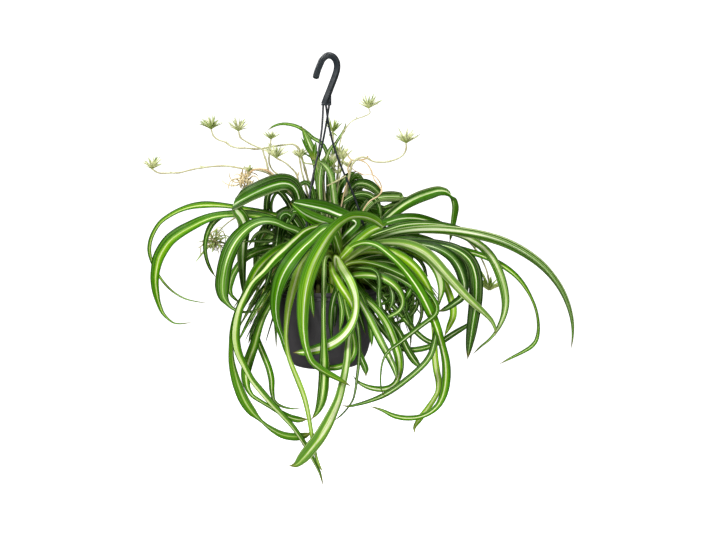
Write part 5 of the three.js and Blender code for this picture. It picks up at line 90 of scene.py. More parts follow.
 "leaf_right_pale_drop_blade": ("leaf_right_pale_drop", "underw", [], [21.3,-41.5,-329.1,0.98,0.04,0.2,2.8,17.6,-41.5,-308.2,0.99,0.03,0.12,2.9,17,-41.2,-294.2,1,0.02,-0.07,3,19.2,-40.7,-283.9,0.92,0.05,-0.38,3.1,25.2,-40.2,-275.4,0.67,0.14,-0.73,3.3,33.9,-40.2,-269.6,0.44,0.27,-0.86,3.5,47.2,-42.9,-265,0.32,0.35,-0.88,3.9,61,-46.5,-263.2,0.1,0.4,-0.91,4.2,74.7,-49.5,-264.3,-0.08,0.41,-0.91,4.6,87.8,-52.8,-268.3,-0.26,0.42,-0.87,4.9,99.6,-56.3,-275,-0.41,0.45,-0.79,4.9,112.3,-60.4,-286.1,-0.56,0.48,-0.67,4.9,122.7,-64.1,-299.4,-0.64,0.54,-0.55,5,130.8,-67.8,-314.2,-0.65,0.61,-0.45,5,136.8,-71.7,-329.9,-0.63,0.68,-0.37,4.9,142,-76.5,-349.4,-0.63,0.71,-0.31,5,144.3,-80.5,-365.9,-0.67,0.71,-0.23,4.9,145.2,-85.5,-385.9,-0.79,0.58,-0.17,4.8,146,-89.8,-402.6,-0.95,0.26,-0.14,4.6,148.1,-94,-419,-0.98,0.03,-0.19,4.8,150.9,-98.4,-435.3,-0.99,0.13,-0.1,4.4,149.3,-101.9,-448.3,-0.93,0.28,0.25,3.5,144.7,-104.6,-457.1,-0.84,0.27,0.47,3.6,135,-109,-470.5,-0.81,0.18,0.56,3.9,122.7,-114.5,-486,-0.83,0.17,0.53,3.6,117.6,-117.3,-494.5,-0.94,0.12,0.31,2,118.1,-119.1,-500.6,-0.85,-0.11,-0.52,0.8,120.4,-120,-502.9,-0.75,-0.14,-0.65,0.4]),
 "leaf_right_yellow_green_blade": ("leaf_right_yellow_green", "lime", [], [20.2,-42.3,-329.6,-0.99,-0.03,-0.14,2.8,18,-42.5,-312.1,-0.98,-0.19,-0.11,2.9,17.1,-43.1,-294.4,-0.96,-0.27,0.03,3.1,19,-43.9,-284,-0.91,0.15,0.39,3.1,23,-45,-278.1,-0.53,0.46,0.71,3.6,28.6,-47.8,-273.5,-0.27,0.63,0.72,4.4,36.6,-50.9,-266.4,-0.28,0.78,0.56,5.5,45.8,-51.8,-261.5,-0.14,0.81,0.57,6,55.8,-53.2,-258.7,0.05,0.79,0.61,6.2,69.5,-56.9,-257.8,0.25,0.72,0.64,6.3,82.9,-61,-260.1,0.4,0.63,0.67,6.4,98.4,-65.9,-266.7,0.52,0.49,0.7,6.5,109.9,-69.5,-273.8,0.62,0.35,0.7,6.4,119.9,-72.7,-282.7,0.74,0.16,0.65,6,130.2,-76,-296,0.85,0.05,0.53,5.4,136.9,-78.1,-307.7,0.89,0.05,0.45,4.6,143,-79.8,-323.6,0.96,0,0.26,3.2,146.9,-80.4,-340.5,0.98,-0.02,0.21,0.5]),
 "leaf_right_cream_blade": ("leaf_right_cream", "cream", [], [21.3,-38.4,-328.6,0.99,0.04,0.17,2.8,18.5,-38.2,-311.2,0.98,-0.13,0.13,2.9,17.4,-37.5,-293.8,0.93,-0.36,-0.02,3.3,18.8,-37.6,-283.3,0.95,-0.16,-0.27,3.1,23.5,-37.7,-274,0.77,0.26,-0.59,3.4,28.5,-38,-269,0.56,0.49,-0.67,4,40.4,-38.8,-261.8,0.37,0.7,-0.62,5.4,56.6,-40.7,-255.3,0.33,0.71,-0.63,6,70,-43.3,-251.3,0.33,0.67,-0.67,6.4,83.6,-48,-249.8,0.21,0.64,-0.74,6.4,93.7,-51.2,-251.5,-0.05,0.68,-0.74,6.4,109.7,-53.9,-257.5,-0.23,0.66,-0.71,6.4,125.3,-55.5,-264.5,-0.34,0.54,-0.77,6.3,136.7,-57,-272.2,-0.61,0.28,-0.74,6,143.8,-58.2,-279.5,-0.76,0.08,-0.64,6.1,151.2,-59.9,-291,-0.91,0,-0.42,6.1,155.3,-61.9,-304,-0.98,0.04,-0.18,5.7,155.9,-63.4,-314.1,-0.99,0.12,0.04,4.8,153.1,-65.7,-327.4,-0.92,0.34,0.21,2.8,149,-68.8,-343.8,-0.94,0.3,0.13,0.4]),
 "leaf_small_nn_blade": ("", "lime", [], [21.3,-37.2,-328.5,-0.98,-0.04,-0.19,2.8,17.7,-37,-307.6,-0.99,-0.09,-0.11,2.9,17.3,-36.4,-293.5,-0.98,-0.15,0.11,3.1,19.8,-34.1,-283.6,-0.92,0.08,0.39,3.1,23.5,-31.5,-278,-0.77,0.34,0.54,3.3,31.5,-29.7,-271.4,-0.44,0.63,0.64,3.9,40.9,-29.6,-266.7,-0.22,0.76,0.62,4.6,57.8,-30.8,-261.7,-0.08,0.8,0.59,5.1,75.1,-31.3,-259.4,-0.02,0.78,0.63,5.3,92.6,-32,-259.8,0.11,0.73,0.68,5.4,109.7,-32.7,-263.2,0.24,0.68,0.7,5.4,122.7,-33.2,-268.4,0.37,0.65,0.67,5.5,137.3,-34.3,-278,0.54,0.62,0.57,5.5,147.3,-36.2,-287.5,0.66,0.59,0.47,5.4,157.7,-39.7,-301.2,0.81,0.44,0.38,5,163.9,-43.3,-313.3,0.92,0.19,0.34,4.8,169.8,-48.6,-329,0.95,0,0.31,5.2,173,-53.5,-341.9,0.99,-0.04,0.13,5.2,172.5,-57.4,-351.7,0.98,-0.1,-0.18,4.9,167.1,-63,-363.8,0.88,-0.15,-0.45,3.8,159.5,-70.3,-378.4,0.92,-0.13,-0.37,0.5]),
 "leaf_right_underside_up_blade": ("leaf_right_underside_up", "under", [], [21.4,-55,-328.6,0.99,0.03,0.11,3.1,19.6,-54.8,-311.3,0.99,-0.14,0.09,3.2,18.8,-54.5,-294,0.96,-0.28,-0.04,3.5,19.8,-56.6,-283.3,0.97,-0.02,-0.24,3.4,22.7,-58.4,-276.9,0.81,0.26,-0.53,3.7,28,-60.4,-272.3,0.6,0.47,-0.64,4.6,39,-62.7,-263.9,0.51,0.64,-0.57,5.9,50.7,-65.7,-256.5,0.42,0.68,-0.6,6.6,63.3,-67,-251.2,0.29,0.7,-0.65,7.3,76.7,-69.2,-248.6,0.2,0.68,-0.71,7.5,93.5,-72.6,-248.2,0.08,0.59,-0.81,7.6,106.8,-75.5,-250.1,-0.1,0.47,-0.88,7.7,122.6,-78.9,-255.4,-0.34,0.29,-0.9,7.9,134.1,-81.4,-262.1,-0.55,0.25,-0.8,7.9,143.9,-83.5,-271.1,-0.67,0.3,-0.68,7.9,157.3,-85.8,-286.2,-0.65,0.4,-0.65,7.8,170.9,-87.9,-301,-0.64,0.42,-0.65,7.3,184.6,-90,-315.8,-0.62,0.44,-0.65,6.6,199.2,-91.7,-329.8,-0.54,0.5,-0.68,5.9,211.8,-92.9,-341,-0.54,0.56,-0.62,4.8,223.2,-93.7,-353.6,-0.71,0.5,-0.49,3.3,227.2,-94,-363,-0.88,0.44,-0.2,2.2,227.9,-94.1,-373.2,-0.89,0.45,0,0.4]),
 "leaf_right_longest_blade": ("leaf_right_longest", "long", [], [20.3,-43.9,-329.7,1,0.03,0.1,3.1,18.4,-44.2,-308.6,0.99,-0.14,0.07,3.2,17.8,-44.9,-291,0.96,-0.29,-0.03,3.5,18.8,-43.8,-280.7,0.97,-0.08,-0.22,3.4,21.5,-43.4,-274.4,0.82,0.12,-0.56,3.7,29.1,-44.7,-267.1,0.64,0.35,-0.68,4.4,40.4,-45.9,-258.8,0.47,0.48,-0.74,5,52.4,-46.8,-251.8,0.53,0.5,-0.69,5.4,65.2,-52.7,-246,0.5,0.51,-0.7,6,78.1,-56.7,-241.1,0.38,0.55,-0.74,6.4,97.9,-59.6,-235.3,0.25,0.58,-0.78,6.9,114.8,-61.6,-232.6,0.15,0.56,-0.82,7.1,135.2,-63.6,-231.3,0.07,0.5,-0.86,7.2,152.2,-65.1,-231.4,0,0.45,-0.89,7.2,172.6,-66.5,-232.8,-0.07,0.38,-0.92,7.2,192.8,-67.8,-235.5,-0.14,0.3,-0.94,7.3,212.8,-69,-239.5,-0.21,0.24,-0.95,7.3,232.5,-70.2,-245,-0.29,0.27,-0.92,7.3,248.3,-71.1,-251.3,-0.38,0.35,-0.86,7.3,263.5,-71.9,-259.2,-0.44,0.41,-0.8,7.2,280.7,-72.8,-270.4,-0.52,0.44,-0.74,6.8,293.8,-73.5,-281.4,-0.59,0.5,-0.64,6.5,305.4,-74.1,-294.1,-0.61,0.59,-0.52,6,317.3,-74.7,-311.1,-0.6,0.7,-0.38,5.6,325,-75.2,-326.6,-0.57,0.78,-0.26,5.1,330.8,-75.5,-343,-0.55,0.81,-0.18,4.3,334.3,-75.8,-360,-0.54,0.84,-0.07,3.5,335,-75.9,-377.4,-0.58,0.82,0.02,2.1,333.4,-76,-394.8,-0.76,0.65,0.08,0.5]),
 "leaf_small_ee2_blade": ("", "mid", [], [19,-16.6,-330.5,-0.99,-0.03,-0.12,3.2,16.6,-16.4,-309.4,-1,-0.03,-0.08,3.3,16,-16.4,-295.2,-0.99,-0.13,0,3.4,17.6,-18.5,-280.9,-0.95,-0.17,0.25,3.6,21.7,-17.9,-271.3,-0.85,0.06,0.53,3.7,28.5,-17.3,-263.3,-0.65,0.37,0.66,4,39.6,-16.5,-254.8,-0.46,0.57,0.68,4.7,48.7,-17.3,-249.5,-0.26,0.6,0.75,4.9,64.8,-21,-242.4,-0.17,0.62,0.76,5,84.5,-24.3,-235.1,-0.2,0.62,0.76,5,101,-26.2,-229.6,-0.15,0.54,0.83,5.1,114.6,-27.4,-227.4,-0.06,0.41,0.91,5.1,131.9,-28.8,-226.4,0,0.18,0.98,4.9,149.2,-30.1,-227,0.1,0.1,0.99,4.8,169.7,-31.5,-230,0.2,0.09,0.97,4.2,186.3,-32.6,-234.6,0.35,0.08,0.93,3.1,202.1,-33.6,-241.6,0.43,0.07,0.9,0.6]),
 "leaf_small_ee3_blade": ("", "mid", [], [15.7,-5.3,-330.1,-0.99,-0.04,-0.16,3.2,13,-5.2,-312.5,-0.97,-0.22,-0.13,3.3,11.4,-5,-294.7,-0.8,-0.6,-0.01,4.2,12.4,-4.9,-280.6,-0.75,-0.64,0.14,4.7,15.7,-5.4,-270.4,-0.86,-0.36,0.36,4,21.3,-6.7,-261.2,-0.79,0.07,0.61,3.9,26,-9.2,-255.6,-0.61,0.3,0.73,4.2,33.6,-14.2,-247.7,-0.45,0.57,0.69,5.1,41.9,-15.5,-241.1,-0.34,0.7,0.62,6,54.3,-17.1,-234.4,-0.16,0.77,0.62,6.9,71,-18.7,-229.3,-0.12,0.76,0.64,7.1,84.3,-19.3,-225,-0.23,0.7,0.68,7.1,97.6,-20.1,-221,-0.13,0.54,0.83,7.1,111.4,-21,-219.3,-0.04,0.28,0.96,7,125.3,-21.7,-220,0.16,0.11,0.98,7,142.2,-22.5,-223.9,0.28,0.09,0.96,6.1,162.1,-22.9,-230.3,0.36,0.14,0.92,3.9,171.7,-21.5,-234.9,0.44,0.16,0.88,2.5,180.9,-19,-240.5,0.51,0.13,0.85,0.6]),
 "leaf_right_far_hook_blade": ("leaf_right_far_hook", "bright", [], [21.2,-27.6,-329.4,-0.99,-0.03,-0.11,2.8,19.1,-27.9,-308.2,-1,-0.02,-0.08,2.9,18.6,-28.4,-290.5,-1,-0.01,0.06,3,21.8,-27.4,-277.1,-0.86,0.08,0.5,3.2,26.4,-26.5,-271.9,-0.65,0.13,0.75,3.4,37.9,-24.2,-264.3,-0.54,0.16,0.83,3.7,44,-17.5,-261.8,-0.49,0.2,0.85,3.9,50.6,-13.2,-259.7,-0.35,0.32,0.88,4,57.3,-13.4,-257.6,-0.22,0.42,0.88,4.1,77.7,-15.9,-252.4,-0.12,0.53,0.84,4.6,95,-17,-250.1,-0.03,0.53,0.85,4.9,112.5,-17.9,-250.2,0.09,0.48,0.87,5.2,133.1,-19.5,-253.3,0.22,0.44,0.87,5.2,153.6,-21.3,-257.4,0.2,0.44,0.87,5.2,174.1,-22.8,-261.1,0.19,0.43,0.88,5.3,194.4,-24.1,-266,0.26,0.52,0.81,5.2,214.4,-25.3,-272.1,0.29,0.65,0.7,5.2,230.4,-26.3,-279,0.37,0.67,0.64,5.3,248.5,-27.3,-289.6,0.42,0.72,0.55,5.3,262,-28.1,-300.7,0.47,0.77,0.42,5.2,273.2,-28.9,-314.2,0.51,0.8,0.31,4.9,282.3,-29.7,-329.3,0.54,0.81,0.23,4.1,290.1,-30.7,-348.9,0.6,0.79,0.13,3.8,293.1,-31.5,-366.3,0.67,0.74,0.01,3.7,293,-32.2,-380.4,0.83,0.54,-0.11,3.3,290.6,-32.7,-390.6,0.9,0.17,-0.4,3,284.4,-33.2,-399,0.65,-0.24,-0.72,3,275.7,-33.8,-404.8,0.46,-0.45,-0.76,2.7,257,-34.9,-414.4,0.42,-0.43,-0.8,1.9,238.4,-36,-424.1,0.47,-0.24,-0.85,0.4]),
 "leaf_right_pale_hook_blade": ("leaf_right_pale_hook", "wide", [], [20,-10.7,-330.5,0.99,0.04,0.16,2.9,17.2,-10.6,-312.9,0.98,-0.14,0.13,3,16,-10,-295.2,0.89,-0.46,0.01,3.5,18.2,-8.7,-281.3,0.89,-0.35,-0.28,3.3,21.4,-7.7,-275.2,0.82,-0.11,-0.56,3.2,28.8,-5.8,-267.8,0.54,0.29,-0.79,3.7,34.7,-5.8,-263.9,0.57,0.46,-0.68,4.3,44.1,-10.9,-258.4,0.51,0.58,-0.64,5,50.6,-11.2,-255.6,0.23,0.64,-0.73,5.3,67.2,-10.1,-250,0.21,0.68,-0.7,5.9,84.3,-10.4,-245.5,0.17,0.7,-0.69,6.4,105,-10.6,-241.6,0.11,0.7,-0.7,6.7,125.8,-11.9,-238.9,0.15,0.7,-0.7,6.8,143.3,-14.6,-238.3,0.12,0.7,-0.7,6.8,160.5,-18,-239.5,0.05,0.71,-0.7,6.8,177.4,-23.1,-242.3,0.09,0.66,-0.74,6.8,190.4,-27.4,-246.1,-0.11,0.64,-0.76,6.8,205.6,-31.2,-253.8,-0.34,0.57,-0.75,6.9,216.6,-33.1,-262,-0.54,0.52,-0.67,6.9,225.7,-34.7,-272.4,-0.7,0.43,-0.56,6.9,234.3,-36.5,-287.4,-0.87,0.23,-0.43,6.7,240.6,-38.2,-303.6,-0.95,0.07,-0.31,6.6,244.8,-39.6,-320.5,-0.98,0.09,-0.17,6.2,246.2,-40.6,-334.3,-0.97,0.25,-0.03,5.7,244.7,-41.5,-348.2,-0.84,0.52,0.16,5.1,239.1,-42.5,-364.8,-0.74,0.6,0.29,3.8,232.6,-43.1,-377.1,-0.79,0.34,0.5,2.3,223.7,-43.5,-387.8,-0.68,-0.1,0.73,1.9,213,-43.8,-396.7,-0.63,-0.24,0.74,1.6,200.4,-44,-408.9,-0.72,0.01,0.7,0.4]),
 "leaf_right_dark_drop_blade": ("leaf_right_dark_drop", "dark", [], [21.2,-25.4,-329.5,-0.98,-0.04,-0.17,3.2,18.3,-25.5,-311.8,-0.95,-0.29,-0.13,3.3,17.2,-25.8,-294.1,-0.87,-0.49,0.04,3.9,18.9,-25,-283.7,-0.92,-0.12,0.37,3.5,22.4,-23.5,-277.8,-0.75,0.3,0.59,3.7,27.9,-22.2,-273.5,-0.48,0.62,0.62,4.5,37.5,-22.3,-269.1,-0.02,0.81,0.59,6.4,47.4,-26.2,-265.2,0.07,0.83,0.55,7.1,57.4,-27.1,-261.6,-0.27,0.86,0.43,7.4,70.8,-25.1,-257.6,-0.19,0.88,0.44,7.7,88,-25,-254.2,-0.02,0.88,0.47,8.2,105.4,-26.9,-252.3,0.1,0.88,0.47,8.5,122.8,-30.4,-251.8,0.25,0.85,0.46,8.9,139.9,-36.4,-252.7,0.37,0.82,0.43,9.2,156.7,-43.5,-254.9,0.42,0.81,0.4,9.5,172.9,-50.4,-259,0.47,0.8,0.37,9.9,184.7,-55.3,-265.2,0.56,0.74,0.37,10.1,194.2,-58.6,-274.6,0.7,0.6,0.38,10.3,199,-59.7,-283.8,0.86,0.42,0.29,10.1,202.4,-60.9,-297.1,0.98,0.12,0.14,9.8,203.4,-62.2,-314.4,1,-0.08,-0.01,9.8,202.6,-63.3,-331.7,0.99,-0.1,-0.07,9.4,200,-64.3,-352.4,0.98,-0.11,-0.14,8.4,197.2,-65,-373.2,0.99,-0.1,-0.12,7.2,194.4,-65.4,-394.1,0.98,-0.09,-0.16,4.5,192.5,-65.5,-411.6,0.99,0.14,-0.07,0.6]),
 "leaf_small_hh2_blade": ("", "dark", [], [21.1,-18,-330.3,-0.98,-0.04,-0.19,2.8,17.4,-18,-309.1,-0.99,-0.03,-0.12,2.9,16.7,-17.6,-294.8,-1,0,0.05,3,18.8,-16.8,-284.5,-0.92,0.07,0.4,3.1,22.8,-16.3,-278.7,-0.68,0.16,0.71,3.2,32,-15.8,-273.4,-0.34,0.32,0.88,3.4,45.7,-16,-269.8,-0.15,0.48,0.86,3.7,66.5,-17.5,-265.4,-0.15,0.47,0.87,4,83.9,-18.7,-262,-0.12,0.41,0.9,4,104.9,-20.4,-259.3,-0.03,0.41,0.91,4,122.5,-22.8,-258.3,0.03,0.43,0.9,4,143.5,-25.5,-258.6,0.12,0.39,0.91,4,160.8,-27.8,-261.1,0.24,0.19,0.95,3.8,174,-29.7,-265.3,0.42,0.09,0.9,3.8,182.8,-31.2,-270.9,0.68,0.05,0.73,3.5,189,-32.6,-279.2,0.89,-0.01,0.46,3.5,193.5,-34.6,-292.4,0.98,-0.05,0.19,3.5,194.1,-36.7,-306.2,0.99,-0.09,-0.05,3.4,192.2,-39.2,-323.5,0.99,-0.1,-0.12,0.6]),
 "leaf_right_dark_hook_blade": ("leaf_right_dark_hook", "dark", [], [21.3,-37.9,-328.4,-0.98,-0.04,-0.18,3.1,18.3,-37.6,-311,-0.97,-0.2,-0.13,3.2,17.3,-37,-293.4,-0.96,-0.27,0.09,3.5,19.7,-36.1,-283.2,-0.89,0.14,0.42,3.5,23.9,-35.2,-277.8,-0.64,0.48,0.6,3.9,29.7,-34.2,-273.9,-0.38,0.7,0.61,4.8,42.9,-34.5,-269.1,-0.07,0.83,0.56,6.3,59.8,-36.8,-264.3,-0.06,0.85,0.52,7,80.2,-37.9,-259.2,-0.08,0.85,0.51,7.3,97.3,-39,-255.7,0.01,0.84,0.55,7.4,114.5,-42.2,-253.6,0.17,0.81,0.56,7.5,131.7,-47.5,-253.9,0.29,0.77,0.57,7.4,145,-53.2,-256.4,0.41,0.7,0.58,7.5,160.6,-59.6,-262.9,0.56,0.54,0.63,7.5,171.2,-62.9,-271,0.75,0.29,0.6,7.2,177.2,-63.9,-279,0.87,0.09,0.49,7.2,183.8,-68.7,-294.3,0.96,-0.03,0.29,7,186.1,-72.8,-307.4,1,-0.07,0.04,6.3,184.7,-75.9,-317.2,0.94,-0.12,-0.31,5.8,181.3,-78.1,-323,0.77,-0.16,-0.62,5.5,173.1,-81.4,-328.9,0.51,-0.18,-0.84,4.8,158.2,-87.2,-337.2,0.47,-0.17,-0.87,3.1,148.4,-90.8,-340.1,0.28,-0.18,-0.94,0.5]),
 "leaf_right_kinked_blade": ("leaf_right_kinked", "kinkdark", [17], [13.6,-9.7,-330,-0.98,-0.05,-0.21,3.2,10.1,-9.6,-312.4,-0.95,-0.28,-0.16,3.3,8.1,-9.9,-294.6,-0.78,-0.63,-0.04,4.3,9.3,-10.3,-280.3,-0.84,-0.51,0.19,4.1,13.4,-10.6,-270.5,-0.86,-0.08,0.51,3.6,19.9,-10.7,-262,-0.67,0.37,0.64,4,27.9,-10.1,-255.1,-0.51,0.65,0.56,5,42.5,-8.2,-245.3,-0.33,0.81,0.49,6.8,58.6,-7.4,-238,-0.23,0.81,0.53,7.8,71.4,-6.8,-232.1,-0.47,0.67,0.57,7.1,79.2,-5.5,-225.1,-0.64,0.55,0.55,7.2,95.4,-0.9,-211.6,-0.62,0.49,0.61,8.1,110,3.1,-201.8,-0.52,0.48,0.71,8.7,125.8,5.7,-193.9,-0.4,0.43,0.81,8.9,142.6,7.8,-188.1,-0.3,0.43,0.85,8.7,156.4,9.5,-184.9,-0.13,0.55,0.82,7.8,166.9,10.7,-186.3,0.35,0.39,0.85,5.2,172.7,11.4,-190.7,-0.72,0.33,-0.61,3.9,176.5,12.1,-196.5,-0.88,0.33,-0.35,4.4,178.3,13.1,-206.8,-0.72,0.69,0.05,6.2,177.1,14.2,-220.7,-0.73,0.67,0.15,5.5,174.3,15.4,-241.5,-0.86,0.49,0.14,3.4,171.5,16.1,-258.8,-0.96,0.19,0.18,0.6]),
 "leaf_small_dd2_blade": ("", "mid", [], [14.6,3.4,-329.9,-0.98,-0.04,-0.18,3.2,11.1,3.3,-308.6,-0.99,-0.04,-0.13,3.3,9.8,3,-294.3,-0.99,-0.15,-0.04,3.4,10.6,2.8,-280,-0.93,-0.32,0.17,3.7,13.8,3,-269.9,-0.88,-0.21,0.42,3.7,19.4,3.9,-260.9,-0.78,0.08,0.61,3.7,29.3,5.7,-251,-0.64,0.36,0.68,4.1,43.4,8.4,-240.6,-0.55,0.4,0.73,4.4,58.5,10.9,-231.5,-0.51,0.35,0.78,4.4,73.6,13.6,-222.4,-0.61,0.17,0.77,4.3,84,16,-212.9,-0.69,0.09,0.71,4.3,97.6,19.1,-201.7,-0.56,0.09,0.83,4.2,107,21.1,-197,-0.34,0.1,0.93,3.5,120.9,23.9,-193.9,-0.19,0.09,0.98,0.6]),
 "leaf_small_oo_blade": ("", "mid", [], [21.1,-22.6,-329.6,-0.98,-0.04,-0.19,2.8,17.5,-22.8,-308.3,-0.99,-0.03,-0.12,3,17.4,-23,-294,-0.97,0.06,0.25,3.1,18.7,-23.2,-290.7,-0.77,0.14,0.63,3.1,21.6,-23.6,-288.8,-0.23,0.19,0.95,3.2,25.1,-24.4,-288.9,0.22,0.22,0.95,3.2,31.6,-26.8,-291.3,0.52,0.31,0.8,3.3,40.6,-31.3,-296.4,0.65,0.45,0.61,3.6,54.3,-41,-306,0.74,0.55,0.4,4.1,62.2,-47,-312.1,0.66,0.61,0.44,4.3,72.5,-48.9,-321.5,0.59,0.62,0.52,4.3,87.2,-51.8,-336.2,0.65,0.58,0.49,4.3,98.8,-54.6,-348.9,0.67,0.56,0.48,4.4,112.6,-56.8,-364.6,0.63,0.57,0.52,4.4,124.8,-56.9,-377.4,0.56,0.53,0.63,4.2,136.1,-55.6,-386.1,0.4,0.4,0.83,3.9,146.1,-54,-390,0.14,0.29,0.95,3.8,153.1,-52.7,-390,-0.28,0.23,0.93,3.8,159.4,-51.3,-387,-0.54,0.19,0.82,4.1,174.3,-46.9,-378,-0.54,0.19,0.82,4,189.7,-41.5,-369.7,-0.48,0.2,0.85,3.2,204.7,-35.4,-360.9,-0.6,0.19,0.77,0.6]),
 "leaf_small_pp_blade": ("", "mid", [], [21.2,-35.6,-328.5,-0.99,-0.03,-0.12,2.8,19,-35.2,-307.4,-1,-0.02,-0.08,2.9,18.8,-34.6,-293.4,-0.95,0.17,0.28,3.1,20.4,-34.9,-290.4,-0.21,0.3,0.93,3.1,23.3,-36,-292,0.68,0.24,0.7,3.2,25.5,-37.9,-294.4,0.83,0.26,0.49,3.3,29.5,-42.8,-299.5,0.89,0.36,0.28,3.5,36.6,-55.5,-309.7,0.93,0.36,0.02,4,40,-64.2,-314.4,0.9,0.44,0.05,4.1,43.4,-67.2,-320,0.71,0.61,0.35,4.2,48.6,-67.6,-329,0.72,0.6,0.34,4.2,57.7,-70.1,-343.4,0.73,0.57,0.38,4.3,69.2,-72.9,-360.2,0.71,0.56,0.43,4.3,79.5,-74.3,-374,0.67,0.55,0.5,4.3,91.1,-74.5,-386.9,0.61,0.39,0.69,3.9,99.8,-74.8,-392.5,0.41,0.26,0.87,4,109.7,-75.3,-395.3,0.13,0.2,0.97,4.1,123.3,-76.1,-394.6,-0.18,0.2,0.96,4.1,139.9,-77.3,-390.1,-0.33,0.2,0.92,3.6,152.2,-78.4,-383.8,-0.49,0.19,0.85,0.5]),
 "leaf_small_qq_blade": ("", "mid", [], [21.3,-39,-328.6,-0.99,-0.03,-0.13,2.8,18.9,-38.9,-307.6,-0.99,-0.14,-0.09,3,18.5,-38.5,-293.7,-0.98,0.11,0.19,3,19.6,-38.5,-290.4,-0.52,0.39,0.76,3.2,22.7,-38.7,-290.7,0.43,0.54,0.72,3.4,25.3,-39.5,-293,0.7,0.56,0.45,3.7,29.7,-42.8,-297.9,0.76,0.64,0.14,4.5,35.9,-50,-305.3,0.8,0.59,-0.08,5.1,42.1,-61.3,-312,0.82,0.56,-0.1,5.4,46.4,-65.9,-316.6,0.59,0.78,0.19,5.4,51,-66.8,-321.6,0.49,0.81,0.32,5.5,60.8,-69.5,-330.9,0.53,0.78,0.34,5.5,75.6,-74.2,-344.5,0.6,0.72,0.35,5.6,86.7,-77.7,-356.9,0.64,0.67,0.38,5.5,97.1,-80.2,-370.2,0.78,0.43,0.45,5,103.3,-82.4,-382.1,0.92,0.14,0.37,5,109.3,-84.8,-394.1,0.86,0.07,0.5,5.3,118.6,-88.3,-407.9,0.8,0.09,0.59,5.1,129.9,-92.2,-420,0.7,0.12,0.71,0.5]),
 "leaf_right_low_sweep_blade": ("leaf_right_low_sweep", "mid", [], [21.3,-42.7,-329.6,-0.98,-0.04,-0.2,2.8,17.5,-43,-308.6,-0.99,-0.03,-0.13,2.9,17.1,-43.2,-294.5,-0.99,0.01,0.14,3,19.3,-43.2,-287.9,-0.82,0.07,0.57,3.1,21.8,-43.3,-285.4,-0.57,0.1,0.81,3.1,28.4,-44.1,-283.2,-0.11,0.13,0.99,3.3,42.2,-47.5,-283.8,0.17,0.13,0.98,3.6,59.2,-52.2,-286.7,0.22,0.13,0.97,3.9,76,-58.6,-290.1,0.3,0.17,0.94,4,92,-66.1,-295,0.48,0.32,0.82,4.2,106.9,-73.9,-302.2,0.62,0.4,0.68,4.3,120.3,-81,-311.7,0.71,0.41,0.58,4.4,129.6,-86.3,-320.9,0.79,0.4,0.46,4.4,138.8,-93.6,-334,0.88,0.38,0.28,4.4,143.8,-99.6,-345.7,0.93,0.36,0.12,4.4,146.2,-105.9,-358.1,0.95,0.28,-0.14,4.4,145.6,-113.4,-367,0.92,0.22,-0.31,4.4,143.5,-116.9,-376.4,0.94,0.21,-0.29,4.4,138.6,-121.9,-391.9,0.9,0,-0.43,4.3,133.4,-123.9,-400.3,0.8,-0.18,-0.57,4.2,121.9,-126.3,-412.4,0.67,-0.31,-0.67,4.1,106.4,-128.9,-425.1,0.6,-0.21,-0.77,4,90.2,-131.1,-437,0.58,-0.2,-0.79,3.9,75.8,-132.7,-445.6,0.45,-0.21,-0.87,3.6,60.3,-134.1,-451.9,0.32,-0.22,-0.92,2.9,40.9,-135.2,-457.6,0.26,-0.22,-0.94,2.1,27.7,-135.5,-460.2,0.06,-0.23,-0.97,1.3,17.9,-135.6,-458.4,-0.34,-0.23,-0.91,0.4]),
 "leaf_small_ww_blade": ("", "mid", [], [21.5,-61.2,-328.2,0.98,0.04,0.2,2.5,17.8,-61.8,-307.4,0.99,0.03,0.12,2.6,17.5,-61.6,-293.5,0.99,-0.01,-0.12,2.7,20.9,-61.5,-283.7,0.81,-0.07,-0.59,2.7,26.1,-61.9,-279.1,0.5,-0.1,-0.86,2.8,32.5,-62.7,-276.5,0.25,-0.08,-0.96,2.9,42.8,-63.8,-275.1,0.05,0.02,-1,3,59.8,-68.8,-276.2,-0.07,0.21,-0.98,3.4,73,-74.8,-279.1,-0.12,0.28,-0.95,3.7,88.8,-83.2,-284.2,-0.16,0.33,-0.93,3.9,106.9,-92.6,-291.8,-0.27,0.37,-0.89,3.9,118.5,-97.2,-298.2,-0.39,0.4,-0.83,3.9,131.8,-100.9,-308.1,-0.52,0.44,-0.74,3.9,142.8,-105,-320.3,-0.67,0.46,-0.59,3.9,147,-107.7,-329.2,-0.85,0.4,-0.33,3.7,147.3,-109.5,-335.6,-0.95,0.3,0.13,3.4,144,-112.3,-341.1,-0.75,0.14,0.65,3.4,138.7,-116,-345,-0.53,-0.06,0.85,3.5,130.5,-118.5,-350.6,-0.54,-0.25,0.81,3.7,114.3,-122.3,-362.4,-0.51,-0.27,0.82,3.6,98.6,-125.8,-374.6,-0.53,-0.35,0.77,3.2,85,-128.5,-384.2,-0.54,-0.31,0.78,2.5,78.2,-129.9,-391.4,-0.83,-0.06,0.55,1.8,74.1,-131.2,-400.5,-0.92,0.3,0.25,1.4,71.7,-132.7,-413.6,-0.79,0.61,0.01,1.5,71.4,-134,-430.5,-0.79,0.6,-0.08,1.3,73.2,-134.6,-440.5,-0.88,0.31,-0.37,0.9,78.7,-134.8,-449,-0.79,0.02,-0.61,0.3]),
